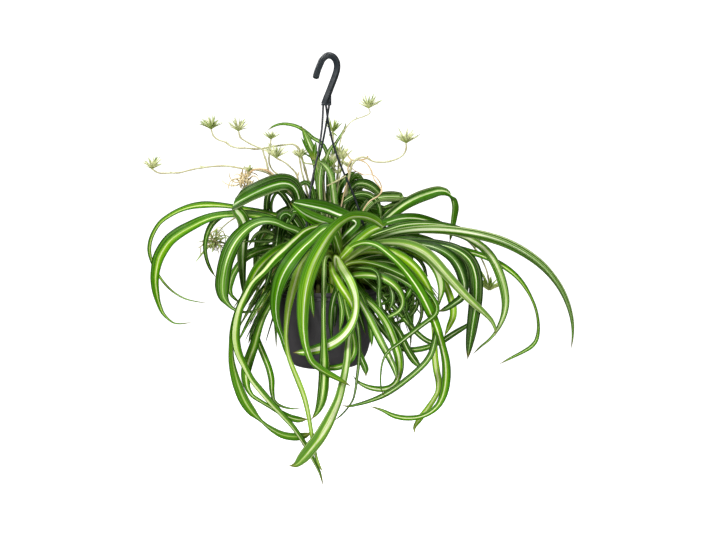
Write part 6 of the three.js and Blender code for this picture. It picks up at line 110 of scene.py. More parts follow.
 "leaf_small_i1_blade": ("", "mid", [], [22.3,-41.2,-328.8,0.99,0.03,0.13,2.8,20.2,-41.2,-311.1,0.99,-0.06,0.1,2.9,19.6,-41,-293.4,0.99,-0.06,-0.11,3,21.8,-40.3,-286.9,0.62,0.16,-0.76,3.2,25.1,-40.2,-285.9,0.1,0.29,-0.95,3.5,32.1,-40.9,-286.7,0,0.47,-0.88,4.3,42.6,-42.9,-285.7,0.27,0.54,-0.8,5,56.5,-45.9,-284,0.1,0.53,-0.84,5,73.8,-50,-285.8,0.03,0.51,-0.86,4.9,87.6,-53.1,-287.1,-0.06,0.34,-0.94,4.7,97.7,-55.3,-289.6,-0.34,0.11,-0.93,4.8,106.5,-57.4,-294.9,-0.64,-0.03,-0.77,4.8,116.2,-60,-304.6,-0.77,-0.07,-0.64,4.7,121.7,-61.7,-313.3,-0.92,-0.02,-0.38,3.9,125.1,-63.6,-326.6,-0.98,0.01,-0.19,0.5]),
 "leaf_small_i3_blade": ("", "mid", [], [21.3,-41,-328.9,-0.99,-0.03,-0.11,2.8,19.1,-41.1,-307.9,-0.99,-0.14,-0.07,2.9,18.7,-40.9,-293.9,-0.99,-0.14,0.07,3,19.8,-40,-287.1,-0.93,0.1,0.35,3.1,24.4,-39,-282.4,-0.41,0.44,0.8,3.5,27.7,-38.8,-281.4,-0.29,0.52,0.81,3.8,40.7,-40,-276.1,-0.26,0.55,0.79,4.7,53.8,-41.3,-271.7,-0.19,0.46,0.87,4.7,70.8,-42.8,-268.6,-0.06,0.41,0.91,4.7,84.7,-42.2,-269,0.12,0.28,0.95,4.4,94.7,-41.5,-271.7,0.37,0.16,0.92,4.1,103.8,-40.8,-276.8,0.58,0.1,0.81,3.7,113.9,-40,-286.5,0.78,0.06,0.62,2.6,121.8,-39.1,-298.2,0.85,0.04,0.53,0.6]),
 "leaf_small_i4_blade": ("", "mid", [], [21.3,-40.8,-328.3,0.99,0.03,0.15,2.8,18.9,-40.9,-310.7,0.99,-0.04,0.11,2.9,18.2,-40.9,-296.6,1,-0.06,-0.05,3,19.5,-40.5,-289.8,0.86,0.08,-0.51,3.1,21.9,-40.2,-287.3,0.46,0.16,-0.87,3.3,25.3,-40.5,-286.7,0.12,0.27,-0.96,3.6,35.7,-42.5,-285.5,0.34,0.36,-0.87,4.2,45.7,-44.1,-282.4,0.27,0.29,-0.92,4.3,59.5,-46.8,-280.3,0.08,0.13,-0.99,4.3,73.3,-49.1,-281.2,-0.19,-0.04,-0.98,4.2,83.3,-50.4,-284.1,-0.38,-0.11,-0.92,3.9,92.3,-51.4,-289.2,-0.61,-0.09,-0.79,3.3,102,-51.8,-299.2,-0.77,-0.07,-0.64,0.6]),
 "leaf_small_v1_blade": ("", "mid", [], [21.3,-43.5,-329.4,-0.99,-0.04,-0.17,2.5,18.7,-43.7,-311.8,-0.99,-0.06,-0.11,2.6,18.4,-44.1,-297.5,-0.99,0.04,0.15,2.7,20.6,-44.4,-290.7,-0.79,0.3,0.54,2.8,23,-44.8,-288.1,-0.49,0.44,0.76,3,29.6,-47.4,-285.3,0.1,0.57,0.81,3.4,40.1,-53.9,-284.4,0.42,0.59,0.69,3.9,50.5,-62.7,-284.1,0.49,0.57,0.66,3.9,60.7,-71.5,-284.6,0.62,0.6,0.5,3.9,66.3,-76.2,-287.9,0.79,0.58,0.2,3.9,69.1,-79.6,-293.7,0.82,0.57,-0.01,3.8,69.8,-82.2,-303.7,0.86,0.49,-0.16,3.6,69.2,-84.7,-317.3,0.96,0.29,0.01,3.2,70.8,-86.5,-334.4,0.99,0.04,0.1,2.9,72.5,-89.2,-351.4,0.99,0,0.1,0.5]),
 "leaf_small_v2_blade": ("", "mid", [], [22.2,-41.8,-329.1,-0.98,-0.04,-0.19,2.5,19,-41.8,-311.3,-0.99,-0.08,-0.14,2.6,18.2,-41.8,-297,-1,-0.04,0.07,2.7,19.7,-41.7,-290,-0.89,0.21,0.41,2.7,24.5,-41.5,-285,-0.38,0.51,0.77,3.1,27.9,-41.4,-284,-0.15,0.61,0.78,3.3,35,-41.8,-283.8,0.12,0.7,0.7,3.8,49,-44.5,-286.1,0.33,0.7,0.63,4,62.4,-48.8,-290,0.47,0.68,0.56,4,74.2,-54,-297,0.69,0.58,0.43,3.7,81,-58,-304.6,0.82,0.4,0.4,3.5,87.5,-63.4,-316.4,0.95,0.12,0.28,3.3,88.9,-66.6,-322.8,1,0.01,0.06,3.3,87.3,-71.8,-332.5,0.94,-0.08,-0.34,2.6,82.3,-77.5,-341,0.86,-0.11,-0.5,0.5]),
 "leaf_small_v3_blade": ("", "mid", [], [22.3,-40.9,-328.9,-0.98,-0.04,-0.21,2.8,18.9,-40.9,-311.2,-0.99,-0.04,-0.15,2.9,18,-40.8,-296.9,-1,0.02,0.08,3,20.9,-40,-286.8,-0.82,0.29,0.5,3.2,23.2,-39.4,-284.2,-0.66,0.41,0.64,3.3,29.3,-38.7,-280.6,-0.32,0.58,0.74,3.7,43.2,-39.5,-277.6,0,0.7,0.72,4.2,57.4,-41.3,-276.9,0.09,0.68,0.73,4.3,75,-44.6,-277.3,0.19,0.63,0.76,4.3,88.8,-47.8,-279.5,0.36,0.58,0.73,4.4,101.6,-51.6,-284.9,0.55,0.5,0.67,4.2,109.8,-54.5,-291.2,0.74,0.33,0.58,3.9,115,-57.8,-299.8,0.97,0.1,0.24,4,115.5,-60.5,-306.4,0.99,-0.03,-0.13,4.1,113.4,-63.6,-312.8,0.92,-0.1,-0.38,4.1,106.6,-70.7,-324.2,0.87,-0.11,-0.49,3.8,97.2,-80.6,-337.7,0.84,-0.11,-0.52,0.5]),
 "leaf_small_ee4_blade": ("", "mid", [], [20,-14.7,-330.5,0.99,0.03,0.12,2.9,17.7,-14.6,-309.4,1,-0.05,0.08,2.9,17.2,-14.4,-295.3,0.95,-0.32,-0.01,3.2,19,-14.1,-281.4,0.91,-0.3,-0.28,3.3,22,-13.5,-275.1,0.84,-0.11,-0.54,3.3,29.1,-11.5,-267.6,0.58,0.22,-0.79,3.7,37.4,-8.7,-261.5,0.42,0.44,-0.8,4.4,49.6,-5.4,-255,0.23,0.49,-0.84,4.9,62.8,-3.4,-250.5,0.2,0.48,-0.86,5.1,79.8,-2.7,-246.3,0.16,0.42,-0.89,5.1,93.7,-2.2,-244.5,0.02,0.35,-0.94,5.2,111.3,-1.6,-245.7,-0.15,0.24,-0.96,5.2,125.1,-1.1,-248.3,-0.22,0.07,-0.97,5,142,-0.6,-253.3,-0.37,-0.08,-0.93,4.9,154.7,-0.2,-259.5,-0.49,-0.08,-0.87,4.7,169.6,0.1,-269.1,-0.6,-0.06,-0.8,4.1,180.1,0.3,-278.6,-0.74,-0.04,-0.68,3.1,191.3,0.4,-292.5,-0.8,-0.02,-0.6,0.6]),
 "leaf_small_t1_blade": ("", "tlime", [], [-0.3,22.5,-330.4,1,0.01,-0.07,3.9,0.9,22.7,-312.2,1,0,-0.05,3.9,1.5,23,-294.1,0.98,-0.17,-0.02,4.2,1.2,21.4,-279.3,0.93,-0.36,0.05,4.7,0,21.1,-264.8,0.91,-0.41,0.06,5.2,-2.3,18.9,-246.7,0.94,-0.34,0.08,5.7,-4.8,16.2,-228.6,0.98,-0.17,0.1,5.9,-7,13.8,-210.6,0.99,0,0.12,6.2,-9.4,11.5,-192.7,0.98,0.14,0.16,6.4,-12.3,9.5,-175,0.96,0.22,0.18,6.5,-14.4,7.7,-157.2,0.99,0.11,0.11,6.3,-17.1,6.3,-143.3,0.95,0.05,0.31,6.2,-23.2,4.8,-126.7,0.93,0.05,0.36,6.2,-30.1,3.6,-110.5,0.91,0.05,0.41,4.9,-38.3,2.4,-91.2,0.92,0.05,0.38,0.6]),
 "leaf_small_t2_blade": ("", "tlime", [], [0.3,28,-330,-1,-0.01,0.07,2.9,1.7,28,-308.1,-1,-0.01,0.06,3.1,2.5,28,-289.9,-1,-0.02,0.02,3.2,2.4,28,-268,-1,-0.09,-0.03,3.2,1.6,27.8,-249.9,-0.96,-0.27,-0.05,3.3,0.4,27.6,-228.2,-0.94,-0.34,-0.06,3.4,-0.7,27.1,-206.6,-0.95,-0.3,-0.04,3.3,-1.2,26.7,-188.6,-0.97,-0.25,-0.03,3.3,-1.3,26.1,-167,-0.98,-0.22,0,3.3,-1.2,25.2,-145.5,-0.93,-0.36,-0.06,3.2,-2.5,24.5,-134.9,-0.83,-0.51,-0.22,3.2,-7.6,23.3,-121.6,-0.63,-0.62,-0.46,3.5,-12.2,22.5,-116.3,-0.42,-0.62,-0.66,3.5,-21.4,21.3,-111,-0.4,-0.57,-0.71,3.3,-32.2,19.5,-101.8,-0.52,-0.49,-0.7,3.1,-43.9,17.5,-94.2,-0.29,-0.44,-0.85,2.8,-54,15.9,-91.1,-0.13,-0.35,-0.93,2.5,-68,13.6,-90.4,0.15,-0.14,-0.98,1.9,-77.9,11.8,-93.6,0.49,-0.03,-0.87,1.5,-86.4,10,-99.8,0.63,0.01,-0.78,0.4]),
 "leaf_small_t4_blade": ("", "tlime", [], [6.3,26.7,-330.4,-1,-0.02,-0.02,2.6,5.9,26.9,-308.8,-1,-0.02,-0.02,2.8,5.5,27.3,-287.3,-0.99,-0.16,-0.01,2.9,5.4,27.4,-269.3,-0.92,-0.38,-0.01,3.1,5.4,26.6,-251.4,-0.88,-0.48,-0.03,3.2,5.5,25.3,-229.8,-0.86,-0.5,-0.02,3.3,5.8,24,-208.3,-0.85,-0.52,-0.02,3.3,6,22.8,-187,-0.83,-0.55,-0.02,3.4,6.1,21.5,-165.7,-0.82,-0.57,-0.04,3.4,5.5,20.3,-144.5,-0.86,-0.51,-0.06,3.2,5.9,19.3,-130.5,-0.94,-0.31,0.11,2.6,8.6,18.4,-120.3,-0.93,-0.07,0.37,2.3,15.8,17.2,-108.3,-0.79,0.1,0.6,1.9,21.6,16.3,-99.5,-0.9,0.06,0.43,1.8,25.1,14.9,-86,-0.99,0,0.17,0.4]),
 "leaf_small_t5_blade": ("", "tlime", [], [2,25.2,-330.5,-1,-0.02,0,2.6,2,25.4,-308.7,-1,-0.03,-0.01,2.8,1.6,25.8,-290.6,-0.99,-0.16,-0.03,2.9,0.7,26.5,-272.6,-0.93,-0.37,-0.06,3.1,-0.8,25.8,-254.5,-0.9,-0.43,-0.12,3.1,-2.4,23.2,-236.2,-0.91,-0.4,-0.15,3.1,-4.3,20.8,-218.2,-0.94,-0.32,-0.14,3,-6.3,18.8,-200.2,-0.98,-0.15,-0.12,2.9,-7.9,16.8,-182.3,-0.99,0.1,-0.05,2.9,-8,14.8,-164.4,-0.95,0.28,0.09,3,-6.3,13.3,-150.2,-0.95,0.24,0.2,2.9,-2.6,11.7,-136.5,-0.93,0.09,0.35,2.8,3.1,10.2,-123.5,-0.87,0.02,0.5,2.4,11.8,8.7,-112.4,-0.73,0.02,0.68,0.6]),
 "leaf_small_t6_blade": ("", "tlime", [], [5,6.4,-330.1,-1,-0.01,0.03,3.8,5.6,6.3,-308.5,-1,-0.02,0.03,3.9,6.3,6.1,-290.6,-0.97,-0.24,0.05,4.2,7.3,6.6,-276.4,-0.88,-0.46,0.11,4.8,8.6,6.2,-262.2,-0.86,-0.5,0,5.3,9.7,1.9,-251,-0.9,-0.41,-0.17,5.4,10.2,-2.6,-243.5,-0.9,-0.41,-0.11,5.4,10.5,-3.9,-232.7,-0.91,-0.41,-0.02,5.5,9.4,-4.7,-211.5,-0.93,-0.34,-0.09,5.6,7.7,-5.9,-194,-0.97,-0.22,-0.12,5.4,5.9,-7.2,-176.5,-0.99,-0.05,-0.1,5.2,3.9,-8.4,-162.6,-0.97,-0.04,-0.24,5.2,0.1,-9.3,-152.8,-0.86,-0.05,-0.51,4.6,-6.7,-10.2,-145,-0.63,-0.06,-0.77,3.5,-18.5,-11.5,-137.7,-0.46,-0.07,-0.89,0.6]),
 "leaf_small_t7_blade": ("", "tlime", [], [1.1,9.3,-329.9,-1,-0.01,0.05,3.8,2,9.3,-311.8,-1,-0.01,0.04,3.9,2.3,9.3,-293.7,-1,-0.09,-0.02,4.1,1.1,9,-275.6,-0.93,-0.36,-0.13,4.6,-1.2,8.3,-261.3,-0.9,-0.39,-0.2,5,-5,7.3,-243.7,-0.96,-0.18,-0.22,5,-8.5,6.5,-226.1,-0.98,0.09,-0.17,5,-10.7,5.9,-211.9,-0.97,0.22,-0.11,5.1,-12.2,5,-194.1,-0.98,0.21,-0.04,4.9,-12.8,4.2,-176.3,-1,0.03,0.01,4.5,-11.6,3.3,-158.6,-0.99,-0.02,0.12,3.9,-8.9,2.5,-144.7,-0.96,-0.01,0.29,3.1,-3.5,1.8,-131.6,-0.91,0,0.42,0.6]),
 "leaf_small_a1_blade": ("", "dim", [], [8,16.7,-330.4,-1,-0.02,-0.01,3.9,7.6,16.8,-308.7,-0.99,-0.1,-0.01,4,7.4,17,-294.2,-0.92,-0.39,-0.01,4.4,7.1,16.9,-276.2,-0.79,-0.62,-0.05,5.4,6.8,14.5,-257.9,-0.79,-0.61,-0.07,5.8,7.1,13.2,-243.4,-0.82,-0.57,0.01,5.9,8.4,13.3,-225.5,-0.85,-0.52,0.1,6,10.2,14.1,-207.8,-0.9,-0.42,0.1,5.9,11.8,15.5,-190.2,-0.97,-0.13,0.19,5.7,14.7,16.6,-180.1,-0.92,0,0.39,6,20.2,18.3,-171.1,-0.79,0.04,0.62,5.8,30.3,20.2,-161.4,-0.54,0.06,0.84,3.8,39.9,21.6,-156.8,-0.4,0.06,0.91,0.6]),
 "leaf_small_a2_blade": ("", "dim", [], [11,24.1,-330.3,1,0.02,0.06,3.2,9.7,24.3,-308.4,1,-0.02,0.04,3.4,9.4,24.5,-290.2,0.95,-0.3,-0.01,3.7,10.1,23.7,-275.6,0.89,-0.44,-0.11,4,12.8,23.8,-257.7,0.88,-0.45,-0.15,4.3,17.1,25,-236.5,0.87,-0.47,-0.15,4.4,20.5,25.7,-218.8,0.85,-0.51,-0.14,4.5,24.7,26.7,-197.7,0.84,-0.51,-0.16,4.5,28.8,27.5,-180.3,0.91,-0.36,-0.22,4.2,34.2,28.1,-167.1,0.74,-0.16,-0.65,4.3,36.9,28.3,-164.9,0.42,-0.13,-0.9,4.4,40.4,28.4,-164.3,-0.26,-0.11,-0.96,4.6,43,28.6,-166.6,-0.8,-0.07,-0.59,4.8,44.5,28.7,-169.9,-0.95,-0.03,-0.3,5,45.1,28.9,-173.4,-1,-0.01,-0.09,5,44.4,29.2,-180.5,-0.96,0.02,0.27,4.7,39.3,29.6,-190,-0.76,0.05,0.65,3.2,31.3,30.1,-197.3,-0.63,0.06,0.77,0.6]),
 "leaf_small_a3_blade": ("", "dim", [], [12.5,16,-330,-1,-0.03,-0.08,3.9,11,16,-312,-0.98,-0.16,-0.07,4,10,16.1,-294.1,-0.83,-0.55,-0.03,4.8,9.9,15.9,-276.1,-0.7,-0.71,0.01,6,11.6,16.1,-258.3,-0.73,-0.67,0.14,6.1,15,17,-240.8,-0.77,-0.6,0.2,6.2,19.9,18.1,-220.1,-0.79,-0.56,0.24,6.5,24.4,19.4,-203.1,-0.83,-0.49,0.27,6.6,30,20.7,-186.3,-0.89,-0.15,0.43,6.1,33.6,21.2,-180.2,-0.79,0.02,0.61,6.1,38.8,21.8,-175.7,-0.45,0.13,0.89,6.4,45.7,22.3,-174.3,-0.01,0.14,0.99,6.9,56,23.1,-176.5,0.39,0.09,0.92,7.4,65.1,23.9,-182.2,0.62,0.06,0.79,6.4,72.3,24.8,-190,0.85,0.04,0.53,4.5,76.9,25.6,-199.7,0.92,0.02,0.38,0.6]),
 "leaf_small_a4_blade": ("", "dim", [13], [14.6,-2.2,-329.3,-0.98,-0.04,-0.17,3.8,11.8,-2.3,-311.6,-0.97,-0.19,-0.14,4,10.1,-2.8,-293.6,-0.81,-0.58,-0.04,4.9,10.8,-3.1,-279.3,-0.72,-0.69,0.11,5.8,13.5,-2.7,-269,-0.75,-0.57,0.32,5.4,19.8,-1,-256.5,-0.79,-0.29,0.54,4.9,29.7,2.4,-242,-0.8,-0.13,0.58,5,39.2,5.8,-227.4,-0.82,-0.15,0.55,5.4,48.7,7.6,-212.5,-0.82,0.04,0.57,5.8,57.7,8.6,-201.6,-0.66,0.37,0.66,6.7,66.2,9.3,-195.4,-0.41,0.48,0.77,7.3,76.5,10,-192.9,-0.09,0.37,0.92,7.5,90.7,10.9,-192.2,-0.05,0.15,0.99,7.8,104.9,11.8,-192.1,-0.83,0.36,-0.43,5.7,95.6,12.5,-201.9,-0.52,-0.18,0.84,4.7,86.3,13,-205.8,-0.28,-0.37,0.88,3.7,69.6,13.7,-209.3,-0.18,-0.17,0.97,0.6]),
 "leaf_small_a5_blade": ("", "dim", [], [12.7,-1.4,-329.8,-1,-0.03,-0.08,3.2,11,-1.6,-308.3,-1,-0.06,-0.07,3.3,10.2,-2,-290.4,-0.92,-0.38,-0.03,3.7,10.2,-2.4,-276.1,-0.8,-0.59,0.02,4.4,11.3,-1.2,-258.5,-0.74,-0.64,0.2,4.9,12.5,1.2,-244.6,-0.75,-0.65,0.14,5,13.1,2.5,-227,-0.76,-0.65,0.03,5.1,13.3,3.5,-213,-0.88,-0.45,0.15,4.4,15.1,4,-206.2,-0.88,-0.19,0.44,4,19.3,4.5,-200.6,-0.71,0.09,0.7,4.2,30.7,5.5,-192.4,-0.48,0.28,0.83,4.9,40.5,6,-188.5,-0.22,0.18,0.96,4.9,51,6.5,-188.1,0.15,0.1,0.98,4.9,57.7,6.8,-190.1,0.42,0.08,0.9,4.8,66,7.2,-196.6,0.77,0.05,0.64,4.3,69.7,7.5,-202.7,0.92,0.02,0.39,3.9,72.2,8,-213,0.99,0,0.12,3.3,73.1,8.9,-230.8,1,-0.01,0.03,0.6]),
 "leaf_small_a6_blade": ("", "dim", [], [-5.4,-1,-330.2,-1,-0.01,0.09,3.2,-3.7,-0.9,-308.4,-1,-0.02,0.06,3.3,-3.1,-0.8,-290.3,-0.99,-0.13,-0.01,3.4,-3.8,-0.7,-275.9,-0.99,-0.14,-0.1,3.6,-6.9,-0.8,-258.1,-0.96,0.2,-0.22,3.8,-11.4,-0.8,-240.7,-0.94,0.24,-0.26,4,-16,-1.1,-223.4,-0.95,0.23,-0.22,4,-19.6,-1.7,-205.8,-0.98,0.09,-0.16,3.9,-21.9,-2.7,-188,-0.99,-0.04,-0.15,3.9,-24.6,-3.3,-177.7,-0.91,-0.07,-0.41,3.8,-28.8,-3.8,-172.1,-0.49,-0.09,-0.87,3.5,-32.2,-4.1,-171.1,-0.05,-0.08,-1,3.4,-35.6,-4.4,-171.7,0.32,-0.06,-0.95,3.3,-41.4,-4.9,-175.7,0.73,-0.02,-0.68,2.6,-45.5,-5.5,-181.5,0.84,-0.01,-0.54,0.6]),
 "leaf_small_a7_blade": ("", "dim", [], [-9.2,-0.2,-330.3,-0.99,-0.01,0.13,3.8,-6.7,-0.1,-308.7,-1,-0.01,0.09,4,-5.8,0,-290.7,-0.99,0.15,0,4.2,-6.6,0.2,-276.3,-0.92,0.38,-0.12,4.7,-9.4,0.2,-262.3,-0.87,0.44,-0.23,5.1,-14.9,0,-245.2,-0.88,0.36,-0.32,5.2,-22.4,-0.2,-225.1,-0.9,0.28,-0.32,5.3,-28.4,-0.5,-208.3,-0.92,0.22,-0.33,5.4,-35.2,-0.7,-191.8,-0.89,0.08,-0.44,5.3,-42.9,-0.7,-180.1,-0.71,-0.09,-0.7,5,-48.5,-0.7,-175.8,-0.47,-0.19,-0.86,4.8,-55.2,-0.7,-173.5,-0.12,-0.28,-0.95,4.5,-62.2,-0.7,-174.2,0.29,-0.34,-0.89,4.2,-71.5,-0.6,-179.4,0.53,-0.4,-0.75,3.7,-82.2,-0.3,-188.8,0.67,-0.39,-0.63,2.3,-90.8,0.1,-200.2,0.8,-0.18,-0.56,0.6]),
 "leaf_small_m1_blade": ("", "mid", [], [3,-42.6,-329.6,-0.96,0.02,0.27,3.1,8.3,-43,-309,-0.98,0,0.21,3.2,10.3,-43.3,-295.1,-0.98,-0.21,0.03,3.4,8.7,-42.9,-284.8,-0.78,-0.48,-0.39,3.8,6.7,-43.1,-281.9,-0.53,-0.53,-0.66,3.9,4,-44.7,-279.6,-0.2,-0.5,-0.84,4,-2.5,-51.2,-276.8,0.26,-0.42,-0.87,4.2,-9.1,-60,-276,0.53,-0.36,-0.77,4.2,-15.2,-68.6,-277.5,0.71,-0.32,-0.62,4.3,-22.5,-75.9,-283.4,0.8,-0.35,-0.48,4.3,-27.9,-79.6,-291.6,0.89,-0.31,-0.34,4.3,-32.9,-84,-303.8,0.95,-0.22,-0.23,4.1,-36.7,-88.4,-319.9,0.99,-0.03,-0.17,3.7,-38.8,-91.2,-336.5,1,0.03,-0.07,3.3,-39.4,-92.2,-353.6,1,0.04,-0.02,0.5]),
 "leaf_small_m2_blade": ("", "mid", [], [2.8,-39.6,-329.4,0.98,-0.01,-0.19,3.1,6.6,-39.9,-308.2,0.99,-0.02,-0.14,3.2,7.7,-40.3,-293.9,0.98,-0.19,0.01,3.4,6.1,-40.6,-283.3,0.89,-0.34,0.31,3.8,2.6,-42.4,-277,0.84,-0.28,0.46,4,-0.1,-45.6,-274.3,0.78,-0.21,0.59,4.1,-6.5,-54.9,-270.9,0.41,-0.12,0.91,4.2,-12.8,-65.3,-271.3,-0.19,-0.13,0.97,4.2,-15.4,-69.6,-272.9,-0.45,-0.17,0.88,4.3,-19.3,-74,-278,-0.82,-0.26,0.52,4.3,-21.5,-75.9,-284.4,-0.92,-0.26,0.28,4.2,-22.7,-78.4,-294.5,-0.97,-0.22,0.1,4.2,-22.6,-81.7,-311.5,-0.99,-0.1,-0.03,3.7,-21,-84.1,-332.1,-0.99,-0.05,-0.11,3.3,-18.6,-84.7,-349.4,-0.99,-0.06,-0.15,0.5]),
 "leaf_small_m3_blade": ("", "mid", [], [10.8,-64.6,-327,-1,-0.01,0.05,3.1,11.9,-64.6,-306.1,-1,-0.02,0.06,3.2,13.1,-62.2,-289.1,-0.99,0.06,0.08,3.3,13.4,-61.8,-285.7,-0.95,0.24,0.21,3.4,14.1,-61.2,-285.4,0.85,0.45,0.29,3.5,14.3,-61.4,-288.9,0.98,0.2,-0.02,3.6,14.4,-63,-292.1,0.98,0.15,-0.1,3.7,14.3,-69.5,-298.1,0.98,0.09,-0.18,3.7,12.3,-86.7,-309.1,0.97,-0.06,-0.23,4,10.3,-92.3,-314.8,0.96,-0.13,-0.26,4.1,6.8,-96.4,-327.4,0.98,-0.1,-0.18,4.1,5.1,-99.7,-340.5,1,-0.01,-0.06,3.9,4.8,-103,-360.5,1,0.03,0.03,2.9,6.2,-103.9,-377.5,0.99,0.04,0.11,0.5]),
 "leaf_small_m4_blade": ("", "mid", [], [18.7,-54.7,-328.3,-1,-0.02,-0.08,2.8,17.2,-54.6,-307.2,-1,-0.02,-0.05,2.9,17.1,-55,-293.1,-0.99,0.14,0.1,3,17.7,-54.4,-289.7,-0.88,0.25,0.4,3.1,20,-53.2,-288,-0.14,0.5,0.86,3.3,22.7,-52.1,-290.3,0.5,0.56,0.66,3.4,26.9,-51.1,-296,0.7,0.52,0.49,3.7,30.9,-53.3,-301.5,0.87,0.42,0.25,3.9,32.9,-56.7,-303.8,0.91,0.35,0.21,3.9,39.3,-69.5,-310.2,0.89,0.34,0.3,3.9,45.4,-79.8,-317,0.91,0.33,0.26,4,49.6,-86.1,-325.5,0.93,0.33,0.17,3.9,53.4,-91.6,-337.9,0.96,0.22,0.17,3.8,56.9,-97,-354,0.99,0.04,0.16,3.7,59.1,-100.6,-370.5,1,0.01,0.09,3.3,60.2,-101.9,-387.5,1,0,0.06,0.5]),
 "leaf_small_th1_blade": ("", "mid", [], [17.5,-64.4,-327.7,-1,-0.01,0.01,2.5,17.9,-64.1,-306.9,-1,-0.01,0.03,2.6,18.6,-60.2,-293.6,-0.99,0.06,0.09,2.7,20.3,-58.9,-287.1,-0.29,0.42,0.86,2.8,22.4,-58.7,-289.4,0.73,0.48,0.49,2.8,23.7,-58.4,-292.7,0.84,0.42,0.34,2.9,26.7,-57.7,-302.8,0.85,0.5,0.16,3.2,28.4,-61,-309,0.89,0.42,-0.18,3.3,30.1,-69,-314.5,0.87,0.39,-0.29,3.5,32.5,-77.5,-323.3,0.81,0.54,-0.21,3.6,36.4,-89.3,-338.1,0.8,0.56,-0.22,3.6,39.8,-98.7,-353.3,0.78,0.61,-0.15,3.5,42,-103.9,-369.4,0.78,0.62,-0.07,3.4,42.9,-107.4,-385.9,0.81,0.57,-0.11,3.1,42,-111.2,-405.7,0.87,0.46,-0.17,2.6,39.7,-114.7,-425.5,0.91,0.39,-0.16,2.2,37.7,-117.1,-442,0.97,0.19,-0.18,1.7,34.6,-118.7,-455.1,0.91,-0.28,-0.31,1.4,29.5,-119.6,-463.7,0.65,-0.62,-0.44,1.4,18.3,-120.6,-476.4,0.53,-0.62,-0.58,1.3,7.6,-120.8,-484.7,0.56,-0.34,-0.75,0.3]),
 "leaf_small_k00_blade": ("", "dim", [], [17,33.5,-329.9,-0.99,0.01,0.12,3.7,19.5,33.7,-311.7,-0.98,-0.15,0.16,4.6,22.9,33.3,-294.7,-0.92,-0.32,0.21,5.7,28.5,33.3,-275.4,-0.9,-0.28,0.32,6.5,33.7,35,-262,-0.9,-0.11,0.42,6.8,39.8,38.1,-250,-0.86,0.18,0.47,7.4,46.8,41.1,-240.8,-0.7,0.52,0.5,8.3,54.5,44.1,-236,-0.41,0.69,0.59,9.6,60.5,46.4,-236.2,-0.11,0.72,0.68,9.9,66.8,49,-238.9,0.1,0.72,0.69,9.8,79.7,54.3,-248.3,0.22,0.72,0.66,9.6,94.5,60.2,-257.9,0.12,0.72,0.69,9.4,104.9,64.2,-265.6,0.38,0.71,0.6,8.1,108.4,65.6,-270.9,0.59,0.7,0.41,7.3,111.5,67.1,-283,0.74,0.66,0.13,5.9,112,67.6,-298,0.78,0.63,-0.01,3.9,110.9,67.7,-318,0.79,0.62,-0.06,0.5]),
 "leaf_behind_01_blade": ("leaf_behind_01", "dim", [], [15.6,49.4,-330.8,0.99,-0.01,-0.11,3.7,18.1,51.2,-311.1,0.98,-0.13,-0.13,4.5,19.8,51.3,-300.6,0.95,-0.2,-0.23,5,21.2,46,-292.7,0.9,-0.21,-0.38,5.3,23,38.2,-284.1,0.88,-0.28,-0.37,5.6,25,36.6,-276.1,0.92,-0.32,-0.22,5.9,28.8,40.6,-264.3,0.95,-0.23,-0.22,6.2,33.3,46.5,-252.5,0.93,-0.1,-0.35,6.5,40.4,54.8,-238.2,0.81,0.14,-0.58,7.3,46.4,61.5,-229.6,0.56,0.31,-0.77,8.4,53,67.6,-223.7,0.21,0.44,-0.87,9.3,59.8,72.9,-221.3,-0.3,0.45,-0.84,9.9,67,78.7,-222.5,-0.62,0.47,-0.63,10,76.5,86.8,-228.1,-0.75,0.51,-0.43,9.8,88.2,96.6,-238.4,-0.77,0.53,-0.35,9.7,100.6,106.7,-251.4,-0.78,0.56,-0.27,9.4,107.4,112.1,-261.1,-0.78,0.6,-0.17,9.1,113.3,117,-276,-0.76,0.64,-0.06,7.7,115.9,119.4,-290.4,-0.76,0.65,-0.01,6.6,117.1,120.9,-311,-0.76,0.65,0.02,5.2,116.8,121.3,-328.9,-0.77,0.64,0.03,3.3,115.8,121.4,-352.1,-0.77,0.63,0.04,0.5]),
 "leaf_behind_02_blade": ("leaf_behind_02", "dim", [], [13.4,38.4,-329.8,1,0,-0.1,4.1,15.7,40,-309,0.98,-0.16,-0.12,5.2,17.8,43,-296.6,0.96,-0.23,-0.13,5.8,20.9,44.8,-282.8,0.96,-0.2,-0.2,6.4,24.1,49.2,-272.2,0.96,-0.1,-0.27,6.8,30.6,57.8,-255.6,0.86,0.13,-0.5,7.7,35.1,63.9,-247.6,0.66,0.28,-0.7,8.8,39.9,70.2,-242,0.29,0.36,-0.89,10.2,44.9,76.3,-239.7,-0.32,0.33,-0.89,11,49.9,82.8,-240.7,-0.74,0.35,-0.58,11.2,56.7,92,-245.8,-0.86,0.42,-0.28,11,64.8,103.2,-255.6,-0.87,0.47,-0.17,10.8,73.5,115,-268.3,-0.85,0.51,-0.1,10.5,79.4,122.7,-280.2,-0.82,0.57,-0.03,10.2,83.5,128.2,-294.7,-0.79,0.61,0.01,8.7,85.3,131,-308.7,-0.79,0.61,0.02,7.4,86.2,132.8,-328.3,-0.8,0.59,0.02,5.9,86,133.4,-349.7,-0.82,0.58,0.03,3.5,85.3,133.5,-372,-0.82,0.57,0.03,0.5]),
